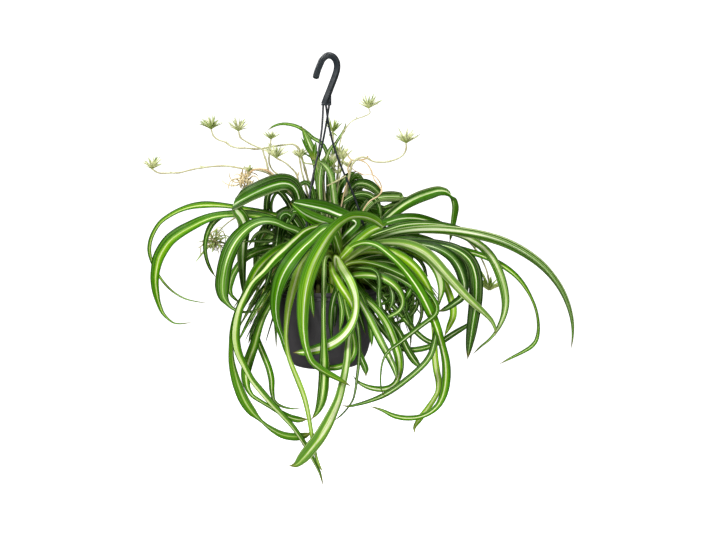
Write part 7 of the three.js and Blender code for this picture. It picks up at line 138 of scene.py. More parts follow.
 "leaf_small_k03_blade": ("", "dim", [], [9.7,104.3,-337.6,-1,0,0.08,4.3,11.4,107.9,-317.1,-1,-0.01,0.1,5,12.8,108.7,-304.2,-0.99,0.02,0.13,5.4,14.1,104.5,-294.7,-0.98,0.05,0.17,5.7,16.5,97.8,-279.9,-0.97,0.1,0.21,6.1,19.7,94.4,-264.9,-0.96,0.15,0.25,6.6,24.9,93.6,-245.5,-0.93,0.25,0.27,7.4,29.5,95.3,-232.5,-0.89,0.35,0.28,8.1,36,100.2,-219.1,-0.86,0.46,0.23,9.7,39.4,105.2,-214.9,-0.9,0.38,0.2,10.4,42.8,112.8,-212.7,-0.87,0.31,0.37,10.9,48,125.7,-212.8,-0.54,0.32,0.78,11.2,53.1,138.3,-216,-0.09,0.38,0.92,11.1,58.1,149.6,-221.6,0.19,0.44,0.88,10.9,62.9,160.3,-228.7,0.33,0.46,0.82,10.8,68.9,173.4,-239.8,0.46,0.49,0.74,10.6,74.2,184.8,-252.4,0.59,0.52,0.62,10.3,78.6,194.4,-266.9,0.7,0.54,0.47,9.9,81.1,200.1,-279.4,0.77,0.53,0.34,9,83.5,205.8,-298.1,0.84,0.51,0.19,7.7,84.5,208.6,-313.7,0.87,0.48,0.11,6.7,85,210.5,-330.2,0.89,0.45,0.06,5.9,85.1,211.9,-353.4,0.91,0.42,0.01,4.5,84.9,212.4,-371.5,0.91,0.4,-0.01,2.8,84.4,212.6,-396,0.92,0.39,-0.02,0.5]),
 "leaf_behind_03_blade": ("leaf_behind_03", "dim", [], [6.7,101.4,-337.5,1,0.01,-0.05,4.7,7.7,106.1,-319.1,1,-0.01,-0.06,5.5,8.9,108.3,-303.5,1,0,-0.09,6.1,10.2,105.8,-290.6,0.99,0.04,-0.11,6.6,12.8,102,-272.2,0.99,0.09,-0.14,7.3,15.3,100.4,-258.7,0.97,0.14,-0.19,7.9,19,101.9,-243.2,0.91,0.26,-0.33,8.9,21.9,105.4,-234.7,0.75,0.36,-0.55,10.1,25,109.6,-229.7,0.35,0.41,-0.84,11.5,28,112.1,-228.4,-0.38,0.5,-0.78,12.2,29,112.6,-228.7,-0.62,0.49,-0.61,12.3,32,116.4,-231.8,-0.91,0.4,-0.1,12.1,34.8,125.6,-237.6,-0.95,0.27,0.17,11.8,37.4,140,-245.6,-0.92,0.34,0.2,11.6,39.8,150.8,-254.3,-0.9,0.39,0.2,11.2,42.7,163.2,-267.3,-0.89,0.43,0.18,10.8,45.1,173.3,-282.2,-0.89,0.44,0.14,10.3,46.9,181.3,-299,-0.9,0.44,0.09,9.4,48.1,187.2,-318,-0.91,0.41,0.06,8.1,48.6,190.4,-333.4,-0.92,0.39,0.04,7.2,49,193.2,-355.1,-0.93,0.37,0.03,6.1,49,194.9,-378,-0.94,0.35,0.02,4.7,48.8,195.5,-395.6,-0.94,0.34,0.02,2.9,48.5,195.8,-419.3,-0.94,0.33,0.01,0.5]),
 "leaf_behind_04_blade": ("leaf_behind_04", "dim", [], [3.4,105.2,-337.8,1,0.01,-0.04,4.3,4.1,108.8,-319.4,1,0,-0.04,4.8,5.4,114.6,-295.7,1,0.02,-0.08,5.6,6.7,117.1,-280.6,0.99,0.05,-0.1,6,9.2,117.7,-259.1,0.99,0.1,-0.12,6.7,11.5,116,-242.9,0.98,0.14,-0.16,7.2,14.1,118.2,-228.6,0.95,0.2,-0.24,7.8,16,120.8,-220.5,0.9,0.24,-0.37,8.3,18.8,130.3,-211.7,0.72,0.25,-0.65,9.4,20.6,136.9,-208.1,0.45,0.19,-0.87,10.1,22.5,145.1,-206.5,-0.07,0.09,-0.99,10.7,25.3,158,-207.5,-0.9,0.1,-0.43,11.1,27.1,166.8,-210,-0.98,0.18,-0.04,11,29.7,179.9,-216.1,-0.95,0.27,0.15,10.6,32.9,196.4,-227.4,-0.92,0.33,0.19,10.1,35.2,207.6,-237.6,-0.92,0.36,0.17,9.8,37.9,220.6,-253.3,-0.92,0.37,0.13,9.3,40.1,231.4,-271.6,-0.93,0.37,0.09,9,41.4,237.8,-287,-0.94,0.35,0.06,8.4,42.3,242.8,-303.8,-0.94,0.33,0.04,7.5,43,246.5,-322,-0.95,0.3,0.02,6.7,43.4,249.6,-347.8,-0.96,0.27,0.01,5.7,43.5,251,-368.2,-0.97,0.26,0.01,5,43.5,251.7,-389.1,-0.97,0.25,0.01,3.7,43.3,252.1,-410.5,-0.97,0.24,0.01,2.1,43.1,252.3,-432.1,-0.97,0.24,0.01,0.5]),
 "leaf_small_k06_blade": ("", "dim", [], [0.4,112.5,-338.7,-1,-0.02,0,3.9,0.4,114.2,-319.1,-1,-0.05,0.01,4.6,0.5,116,-301.7,-1,-0.09,0.01,5.3,0.6,118.3,-282.6,-1,-0.09,0.02,6,0.8,121.9,-260.8,-1,-0.08,0.03,6.9,1.1,125.6,-245.7,-0.99,0.14,0.02,7.8,1.2,125.7,-244.6,-0.75,0.57,0.33,7.9,1.3,125.6,-244.5,0.92,0.29,0.25,8,1.3,125.4,-244.7,0.95,0.3,0.01,8,1.5,124.9,-246,0.95,0.3,-0.03,7.9,1.8,123.6,-251.1,0.97,0.23,-0.01,7.5,2.1,121.9,-260.2,0.98,0.2,0,7.4,2.3,121.5,-268.8,0.98,0.17,0.07,7.2,2.3,125.9,-274.1,0.98,0.11,0.13,7.2,2.2,139.3,-283.8,0.99,0.11,0.12,7.1,2.1,153.4,-297.9,0.99,0.11,0.08,6.8,2,161.8,-309.8,0.99,0.11,0.06,6.2,1.9,170.2,-327.2,0.99,0.11,0.04,5.4,1.8,174.8,-341.2,0.99,0.1,0.03,4.8,1.8,179,-360.8,0.99,0.1,0.01,4,1.8,181.3,-381.1,1,0.1,0.01,2.2,1.7,182.2,-401.7,1,0.1,0,0.4]),
 "leaf_behind_05_blade": ("leaf_behind_05", "dim", [], [-1.9,112.5,-338.9,1,0.02,0.03,4.7,-2.6,113.9,-319.1,1,-0.03,0.04,5.3,-3.5,115.9,-298.9,0.99,-0.12,0.07,6,-4.9,118.3,-277.8,0.98,-0.16,0.09,6.7,-6.9,120.8,-255.7,0.97,-0.19,0.12,7.5,-8.7,122.9,-239.6,0.96,-0.21,0.17,8.1,-10.8,128.2,-225.5,0.93,-0.21,0.31,8.8,-12.4,136.2,-217.9,0.88,-0.16,0.45,9.4,-14,146.1,-212,0.81,-0.18,0.56,10.1,-16.4,157.5,-206.3,0.55,-0.14,0.83,11.3,-17.9,165.6,-204.9,0.01,-0.05,1,11.8,-19.5,174.1,-205.3,-0.8,-0.06,0.59,12,-21.7,187.3,-208.8,-0.97,-0.2,-0.11,11.5,-23.9,200.5,-215.3,-0.95,-0.26,-0.19,10.8,-25.9,213.2,-224,-0.95,-0.28,-0.16,10.3,-28.4,228.6,-238.3,-0.95,-0.28,-0.11,9.8,-30.1,238.8,-250.9,-0.96,-0.27,-0.08,9.6,-31.6,247.6,-265.1,-0.97,-0.25,-0.05,9.4,-33.2,257.3,-286.4,-0.97,-0.23,-0.02,9,-34.1,262.8,-304.2,-0.98,-0.2,-0.01,8.2,-34.7,266.8,-323.4,-0.98,-0.18,-0.01,7.5,-35.1,269.6,-343.7,-0.99,-0.16,-0.01,6.7,-35.3,271.5,-365,-0.99,-0.15,-0.01,5.9,-35.3,272.3,-379.7,-0.99,-0.14,-0.01,5.4,-35.2,272.9,-402.2,-0.99,-0.14,-0.01,4,-35.1,273.3,-425.1,-0.99,-0.13,-0.01,2.3,-34.9,273.4,-448.3,-0.99,-0.13,-0.01,0.5]),
 "leaf_small_k08_blade": ("", "dim", [], [-4.7,113.1,-338.5,1,0.03,0.04,4.3,-5.5,115.5,-318.8,1,-0.02,0.05,5,-6.5,116.2,-302.3,0.99,-0.11,0.06,5.6,-8,116.3,-284.5,0.98,-0.17,0.13,6.3,-10.1,119.6,-266.1,0.96,-0.21,0.17,7,-12.2,122.7,-252.9,0.94,-0.24,0.24,7.6,-14.5,129.2,-241.6,0.87,-0.22,0.43,8.4,-16.9,137.7,-233.1,0.81,-0.36,0.47,9.4,-18.5,138.6,-229,0.79,-0.48,0.37,10.3,-20.7,138.6,-226.1,0.3,-0.6,0.75,10.9,-21.5,138.7,-225.9,-0.15,-0.61,0.78,11,-22.2,138.8,-226.2,-0.58,-0.56,0.58,11,-23.7,140.6,-227.8,-0.94,-0.35,0.05,10.8,-26.1,150.4,-233.2,-0.94,-0.29,-0.19,10.3,-28.4,161.8,-240.6,-0.92,-0.33,-0.19,9.8,-31.2,175,-252.3,-0.92,-0.36,-0.15,9.3,-33.6,186.1,-265.9,-0.93,-0.36,-0.11,8.9,-35.6,195.1,-281.5,-0.94,-0.34,-0.06,8.6,-37.1,202.1,-299.2,-0.95,-0.31,-0.03,8,-38.1,207,-319.1,-0.96,-0.27,-0.02,7,-38.7,210.2,-340.7,-0.97,-0.24,-0.01,6,-38.9,211.8,-357.9,-0.97,-0.22,-0.01,5.3,-38.9,212.9,-381.7,-0.98,-0.21,-0.01,4.1,-38.7,213.2,-400.1,-0.98,-0.2,-0.01,2.5,-38.5,213.4,-424.9,-0.98,-0.19,-0.01,0.5]),
 "leaf_behind_06_blade": ("leaf_behind_06", "dim", [], [-7.8,112.5,-338.6,-1,-0.04,-0.07,4.7,-9.5,114.4,-316.8,-0.99,-0.11,-0.08,5.5,-10.9,115.3,-303.3,-0.97,-0.21,-0.12,6.1,-12.6,112.2,-288.8,-0.94,-0.28,-0.22,6.6,-15.8,105,-268,-0.9,-0.34,-0.26,7.5,-19.1,102,-252.5,-0.88,-0.39,-0.26,8.1,-23,101.2,-238,-0.86,-0.45,-0.25,8.8,-28.7,103,-222,-0.81,-0.54,-0.23,10.2,-34.8,107.6,-211.6,-0.79,-0.57,-0.23,11.7,-39.4,112.3,-208.6,-0.69,-0.51,-0.51,12.2,-42.4,115.8,-208.6,-0.4,-0.51,-0.77,12.3,-46.8,121,-211.2,0.11,-0.54,-0.83,12.2,-52.5,127.6,-218.3,0.41,-0.55,-0.72,11.9,-56.6,135.6,-225.6,0.44,-0.4,-0.81,11.7,-60.9,150.7,-234.7,0.51,-0.35,-0.79,11.4,-64.9,165.3,-244.9,0.6,-0.38,-0.7,11.2,-69.5,182,-260.2,0.73,-0.41,-0.55,10.7,-72.3,192.2,-273.2,0.8,-0.41,-0.43,9.8,-74.4,200.5,-287.6,0.87,-0.4,-0.3,8.7,-75.9,207,-303.3,0.91,-0.37,-0.19,7.7,-76.8,211.9,-320.3,0.93,-0.34,-0.12,6.8,-77.3,215.4,-338.2,0.95,-0.31,-0.06,5.9,-77.3,217.8,-356.8,0.96,-0.29,-0.03,4.7,-77.1,219.5,-382.3,0.96,-0.27,0,2.3,-76.7,220,-401.7,0.97,-0.26,0.01,0.5]),
 "leaf_behind_07_blade": ("leaf_behind_07", "dim", [], [-9.4,52.3,-331.5,1,0.04,0.09,4.2,-11.4,55.3,-313.4,0.99,0,0.13,5,-13.9,60.4,-297.7,0.96,-0.11,0.24,5.8,-17.2,67.2,-284.3,0.91,-0.2,0.37,6.6,-21.6,75.6,-270.3,0.86,-0.28,0.43,7.5,-25.4,79.1,-259.9,0.8,-0.35,0.48,8.3,-29.7,84.9,-251.2,0.68,-0.39,0.62,9.4,-34.1,87.7,-244.4,0.54,-0.5,0.68,10.6,-38.7,91.2,-240.7,-0.03,-0.41,0.91,11.1,-41.7,94.6,-240.2,-0.47,-0.35,0.81,11.2,-46.4,100.6,-242,-0.81,-0.37,0.45,11.1,-52.5,109.6,-247.6,-0.88,-0.44,0.18,10.9,-61.2,123.3,-259.4,-0.88,-0.47,0.09,10.7,-67.9,133.5,-269.8,-0.86,-0.51,0.03,10.4,-73.2,142,-281.9,-0.82,-0.57,-0.03,9.8,-76.9,147.9,-296.9,-0.81,-0.59,-0.03,8.1,-78.4,150.8,-311.3,-0.82,-0.57,-0.03,6.7,-79.1,152.7,-331.7,-0.85,-0.53,-0.02,5.2,-78.9,153.2,-349.3,-0.86,-0.5,-0.03,3.3,-78.2,153.3,-372,-0.87,-0.49,-0.03,0.5]),
 "leaf_small_k11_blade": ("", "dim", [], [-12,62.9,-332.3,0.99,0.04,0.11,3.8,-14.2,65.3,-315.2,0.99,0,0.14,4.4,-17.3,70.9,-297.6,0.96,-0.11,0.26,5.1,-21.1,78.3,-282.7,0.91,-0.21,0.36,5.9,-25,81.8,-270.4,0.91,-0.29,0.31,6.4,-29.5,80.9,-257.4,0.89,-0.33,0.3,7.1,-36.5,79,-241.2,0.84,-0.41,0.37,8,-42.5,79,-231.4,0.66,-0.48,0.57,9,-48.9,81.7,-224.5,0.28,-0.46,0.84,9.7,-51.1,83.8,-223.1,0.03,-0.35,0.94,9.8,-55.8,91.5,-221.9,-0.36,-0.26,0.9,10,-60.5,97.7,-222.1,-0.51,-0.42,0.75,10,-69.6,105.1,-225.8,-0.73,-0.49,0.47,9.9,-78.7,113.4,-233,-0.79,-0.52,0.32,9.8,-89.4,123.9,-243.8,-0.8,-0.53,0.26,9.6,-98.9,133.2,-255.4,-0.8,-0.57,0.17,9.4,-106.4,140.6,-269.2,-0.78,-0.62,0.06,8.5,-110.3,144.7,-282.8,-0.76,-0.65,0.01,7.3,-112.4,147.3,-298.7,-0.77,-0.64,-0.01,6.1,-113.1,148.7,-316.5,-0.78,-0.62,-0.02,5,-112.8,149.3,-340.3,-0.8,-0.6,-0.03,2.6,-112,149.4,-360,-0.81,-0.59,-0.04,0.5]),
 "leaf_behind_08_blade": ("leaf_behind_08", "dim", [], [-13.3,30.5,-329.6,-0.99,-0.05,-0.12,3.7,-15.8,31.2,-310.7,-0.99,0,-0.16,4.6,-20,32.2,-289.9,-0.97,0,-0.25,5.5,-25,33.7,-273.1,-0.95,-0.07,-0.32,6.2,-31.7,35.8,-256.1,-0.89,-0.23,-0.39,7,-38.2,38.1,-244.7,-0.78,-0.47,-0.42,8,-45.4,41.4,-237.1,-0.67,-0.61,-0.42,9.2,-51.2,45.5,-235.1,-0.49,-0.63,-0.6,9.8,-57.2,49.9,-236.3,-0.16,-0.64,-0.75,9.9,-65.5,56,-241.3,0.11,-0.64,-0.76,9.8,-77.9,64.9,-251.7,0.16,-0.64,-0.75,9.6,-91.2,74.2,-262.2,0.22,-0.64,-0.73,9.3,-98.4,79.1,-270.8,0.52,-0.64,-0.56,8,-102,81.8,-280.1,0.71,-0.63,-0.3,6.9,-103.7,83.5,-291.6,0.79,-0.61,-0.12,5.8,-104.1,84.4,-308.2,0.82,-0.57,0,3.8,-103,84.6,-329.9,0.83,-0.55,0.05,0.5]),
 "leaf_behind_11_blade": ("leaf_behind_11", "dim", [], [14.5,26.9,-329.7,1,0,-0.06,3.3,15.7,27.6,-311.5,0.98,-0.2,-0.06,4,17.3,28.3,-291.8,0.86,-0.51,-0.08,5.4,18.9,28.1,-277.1,0.81,-0.57,-0.09,6.2,21.6,29.3,-256.7,0.82,-0.56,-0.08,6.9,25.2,31.1,-235.5,0.85,-0.51,-0.12,7.4,28.9,33,-220.6,0.91,-0.35,-0.22,6.9,33.3,35.6,-209.7,0.85,0.08,-0.52,6.4,35.7,37.2,-206.4,0.54,0.3,-0.78,6.9,38.3,39.1,-204.9,-0.1,0.4,-0.91,7.8,41.1,41.2,-205.2,-0.6,0.46,-0.65,8.5,47,45.9,-209.8,-0.77,0.56,-0.31,8.6,56,52.8,-220.8,-0.76,0.59,-0.28,8.4,62.8,58.7,-228.9,-0.85,0.5,-0.15,8.3,68.2,67.2,-238,-0.84,0.55,0.04,7.1,70.9,72.2,-247.5,-0.78,0.62,0.09,6.1,72.4,76.1,-262.5,-0.76,0.65,0.08,4.9,72.4,77.8,-279.9,-0.76,0.64,0.05,2.9,71.7,78.2,-298.5,-0.77,0.64,0.03,0.4]),
 "leaf_small_k14_blade": ("", "dim", [], [5,98.7,-338.3,1,0.01,-0.02,3.8,5.3,102.5,-320.4,1,-0.02,-0.01,4.5,5.8,108.5,-301.7,1,-0.07,-0.02,5.1,6.4,113.7,-285.3,1,-0.06,-0.02,5.7,7,117.1,-271.8,1,-0.05,-0.04,6.1,8.1,118.2,-251.9,1,-0.03,-0.06,6.7,9.1,121.3,-237.5,1,0,-0.08,7.2,10.8,124.6,-220.5,0.99,0.09,-0.12,7.7,13.2,124.9,-206,0.89,0.37,-0.26,8.1,14.9,124.9,-202.8,0.39,0.58,-0.72,9.1,15.5,124.9,-202.7,-0.17,0.61,-0.78,9.3,16.1,125,-203,-0.53,0.6,-0.6,9.5,17.3,125,-204.7,-0.72,0.6,-0.36,9.5,21.3,125.1,-217.1,-0.8,0.56,-0.2,8.8,23.7,127.1,-227.6,-0.86,0.5,0,8.5,25.7,128.4,-239.3,-0.87,0.48,-0.11,7.6,26.9,130.1,-254.4,-0.91,0.4,0.09,6.3,27.4,134.8,-269.6,-0.93,0.36,0.06,5.3,27.6,137.3,-286.5,-0.94,0.34,0.03,4.4,27.5,138.4,-304.6,-0.95,0.32,0.02,2.8,27.3,138.6,-328,-0.95,0.31,0.01,0.4]),
 "leaf_small_k15_blade": ("", "dim", [], [-3.7,96.9,-339.4,-1,-0.02,-0.02,3.8,-4.1,100.1,-321.4,-1,-0.05,-0.01,4.5,-4.6,107,-306.8,-1,-0.08,0.01,5,-5,113.2,-295.1,-0.99,-0.12,0,5.4,-5.7,117.9,-277.6,-0.99,-0.13,-0.01,6,-6.6,120.3,-258,-0.99,-0.14,-0.04,6.6,-7.3,119.3,-242.9,-0.98,-0.16,-0.08,7.1,-8.4,113.1,-224.3,-0.97,-0.2,-0.13,7.7,-9.7,109.3,-210.7,-0.91,-0.36,-0.2,8,-11.1,108.7,-204.4,-0.77,-0.52,-0.37,8.8,-11.5,109,-204.1,-0.52,-0.48,-0.71,9,-12,109.5,-204.3,0.07,-0.56,-0.83,9.1,-12.8,110.8,-205.9,0.63,-0.51,-0.58,8.9,-14.9,115.1,-214.6,0.85,-0.42,-0.33,8.1,-17.1,119.3,-227.9,0.9,-0.35,-0.25,7.6,-18.6,121.3,-240.2,0.95,-0.3,-0.07,7.3,-19.7,121.5,-258.4,0.98,-0.2,-0.06,6,-20.1,123.9,-273.7,0.99,-0.16,-0.02,5.1,-20.2,122.1,-285.9,0.99,-0.13,0.05,4.5,-20,116.9,-298.6,0.99,-0.12,0.04,3.9,-19.9,114.5,-316.8,0.99,-0.12,0.02,2.2,-19.7,113.3,-335.8,0.99,-0.11,0.01,0.4]),
 "leaf_small_k16_blade": ("", "dim", [], [-11.1,50.1,-332.2,1,0.03,0.06,3.3,-12.3,52.1,-313.3,1,0.05,0.07,4,-13.8,55.7,-296.7,1,0.05,0.08,4.6,-15.9,62.3,-278.5,0.99,0.02,0.12,5.2,-17.6,68.9,-266.5,0.99,0,0.16,5.6,-19.7,77.4,-254,0.98,-0.04,0.19,6,-22.1,79.7,-240.9,0.98,-0.1,0.18,6.4,-24.6,77.8,-228.4,0.96,-0.18,0.2,6.9,-28.7,77,-215.3,0.84,-0.37,0.39,7.3,-32.2,78.5,-209.4,0.47,-0.48,0.74,8,-34.8,80.5,-207.7,-0.17,-0.43,0.89,8.5,-36.2,81.8,-207.7,-0.48,-0.4,0.78,8.6,-40.5,86.6,-209.9,-0.82,-0.45,0.34,8.7,-43.4,89.5,-212.8,-0.71,-0.6,0.37,8.7,-49,89.4,-220,-0.61,-0.66,0.44,8.5,-57.7,89.6,-232.6,-0.68,-0.66,0.32,8.3,-61.7,92.3,-240.4,-0.77,-0.63,0.07,7.5,-65.5,96.3,-255.9,-0.77,-0.64,0,5.9,-66.6,98,-272.5,-0.79,-0.61,-0.02,4.6,-66.5,98.5,-291.4,-0.81,-0.59,-0.02,2.7,-65.9,98.4,-311.4,-0.82,-0.57,-0.03,0.4]),
 "leaf_behind_09_blade": ("leaf_behind_09", "dim", [], [12,106,-336.7,0.99,-0.01,-0.13,3.8,14.5,109.7,-319.8,0.99,0.02,-0.16,4.4,17.8,110.8,-302.2,0.97,0.14,-0.21,4.9,21.5,108.7,-288.1,0.94,0.25,-0.22,5.5,26.4,105.4,-273.5,0.9,0.33,-0.29,6.1,32.5,104.4,-259.3,0.82,0.4,-0.41,6.8,42.1,106.7,-242.5,0.67,0.47,-0.58,7.9,47.2,109.6,-235.6,0.51,0.47,-0.72,8.6,55.2,117,-228.1,0.2,0.42,-0.89,9.6,63.2,126.1,-224.3,-0.22,0.34,-0.91,10.2,68.5,133.3,-223.9,-0.5,0.3,-0.81,10.2,76.2,145.2,-226.2,-0.77,0.31,-0.56,10.1,83.7,157.3,-231.4,-0.87,0.35,-0.34,10,90.8,169,-238.8,-0.89,0.4,-0.19,9.9,97.5,179.8,-247.9,-0.89,0.45,-0.11,9.7,105.6,192.7,-262.4,-0.86,0.5,-0.03,9.5,110.9,201.1,-275,-0.85,0.53,0,9.4,116.8,210.4,-294,-0.83,0.56,0.02,9.1,120.2,216,-309.9,-0.82,0.57,0.02,8.5,122.7,220.3,-327.1,-0.82,0.57,0.03,7.7,124.4,223.5,-345.4,-0.83,0.56,0.02,6.8,125.5,226.4,-371.2,-0.84,0.54,0.02,5.7,125.7,227.7,-391.5,-0.85,0.53,0.03,5,125.6,228.5,-412.4,-0.86,0.52,0.03,3.6,125.1,228.8,-433.5,-0.86,0.51,0.03,2,124.6,229,-454.9,-0.86,0.51,0.03,0.5]),
 "leaf_behind_10_blade": ("leaf_behind_10", "dim", [], [-7.8,114.9,-338.3,-0.99,-0.04,-0.09,3.9,-9.7,117.6,-319.9,-0.99,-0.12,-0.1,4.4,-12.2,118.2,-300.9,-0.95,-0.29,-0.14,5,-14.9,119.7,-286.4,-0.91,-0.39,-0.13,5.6,-20.1,121.4,-266.6,-0.85,-0.47,-0.24,6.4,-23.1,120.3,-256.7,-0.79,-0.5,-0.34,6.9,-28.1,117.4,-242.7,-0.77,-0.55,-0.32,7.6,-31.8,120.1,-234.9,-0.87,-0.49,-0.08,8.1,-35.7,128,-228.9,-0.92,-0.39,-0.01,8.8,-39.8,138.1,-224.5,-0.94,-0.34,-0.06,9.5,-45.7,153.5,-221,-0.88,-0.31,-0.35,10.1,-49.6,163.1,-220.6,-0.7,-0.31,-0.64,10.2,-55.2,177.3,-222.8,-0.22,-0.33,-0.92,10.1,-60.6,191.2,-227.9,0.17,-0.36,-0.92,9.9,-65.8,204.5,-235.2,0.4,-0.39,-0.83,9.7,-70.6,216.8,-244.5,0.53,-0.41,-0.74,9.5,-75.2,228.1,-255.4,0.64,-0.43,-0.63,9.3,-79.3,238.2,-267.8,0.72,-0.44,-0.53,9,-83,247,-281.9,0.79,-0.44,-0.42,8.8,-86,254.4,-297.5,0.85,-0.42,-0.32,8.5,-88.4,260.3,-314.5,0.89,-0.39,-0.22,7.7,-90.1,264.8,-333,0.92,-0.36,-0.14,6.8,-91.2,268,-352.7,0.94,-0.32,-0.08,6.1,-91.8,270.1,-373.4,0.96,-0.29,-0.04,5.3,-92,271.5,-394.9,0.96,-0.26,-0.01,4.6,-91.8,272.2,-417.1,0.97,-0.24,0.01,3.4,-91.5,272.5,-439.6,0.97,-0.23,0.01,1.9,-91.1,272.7,-462.4,0.97,-0.22,0.02,0.4]),
 "leaf_small_k19_blade": ("", "dim", [], [0.9,112.5,-339,1,0.02,-0.01,3.4,1.1,114.8,-315.6,1,-0.02,0,4,1.3,116.7,-296.2,1,-0.05,0,4.5,1.4,120.2,-281,1,-0.05,0,4.8,1.8,122.3,-259,1,-0.04,-0.02,5.3,2.4,124,-236.1,1,-0.03,-0.03,5.9,2.9,127.2,-220.2,1,-0.01,-0.03,6.2,3.4,132.4,-206.6,1,0.02,-0.05,6.6,4.3,134.2,-193.5,0.97,0.18,-0.15,6.9,4.7,135.9,-190,0.88,0.26,-0.39,7.1,5.2,138.3,-188.7,0.16,0.12,-0.98,7.5,5.4,139.6,-188.7,-0.75,0,-0.66,7.7,5.8,142.5,-190,-0.97,0.21,0.1,7.7,6.7,148.4,-196.5,-0.95,0.3,0.1,7.1,7.7,153.8,-208.7,-0.96,0.27,0,6.8,8.4,155.1,-220.3,-0.97,0.25,-0.06,6.6,9.2,151.7,-237,-0.97,0.2,-0.11,6.4,9.8,144,-252.6,-0.98,0.17,-0.13,5.7,10.1,135.2,-265.7,-0.98,0.16,-0.13,5.2,10.4,130.7,-280.5,-0.98,0.19,0.01,4.6,10.4,131.8,-286.1,-0.98,0.18,0.05,4.4,10.3,138,-303.8,-0.98,0.17,0.06,3.9,10.3,144.1,-328.5,-0.99,0.16,0.03,2.8,10.2,146.6,-347.4,-0.99,0.16,0.02,1.6,10.2,147.6,-366.4,-0.99,0.16,0.01,0.4]),
}
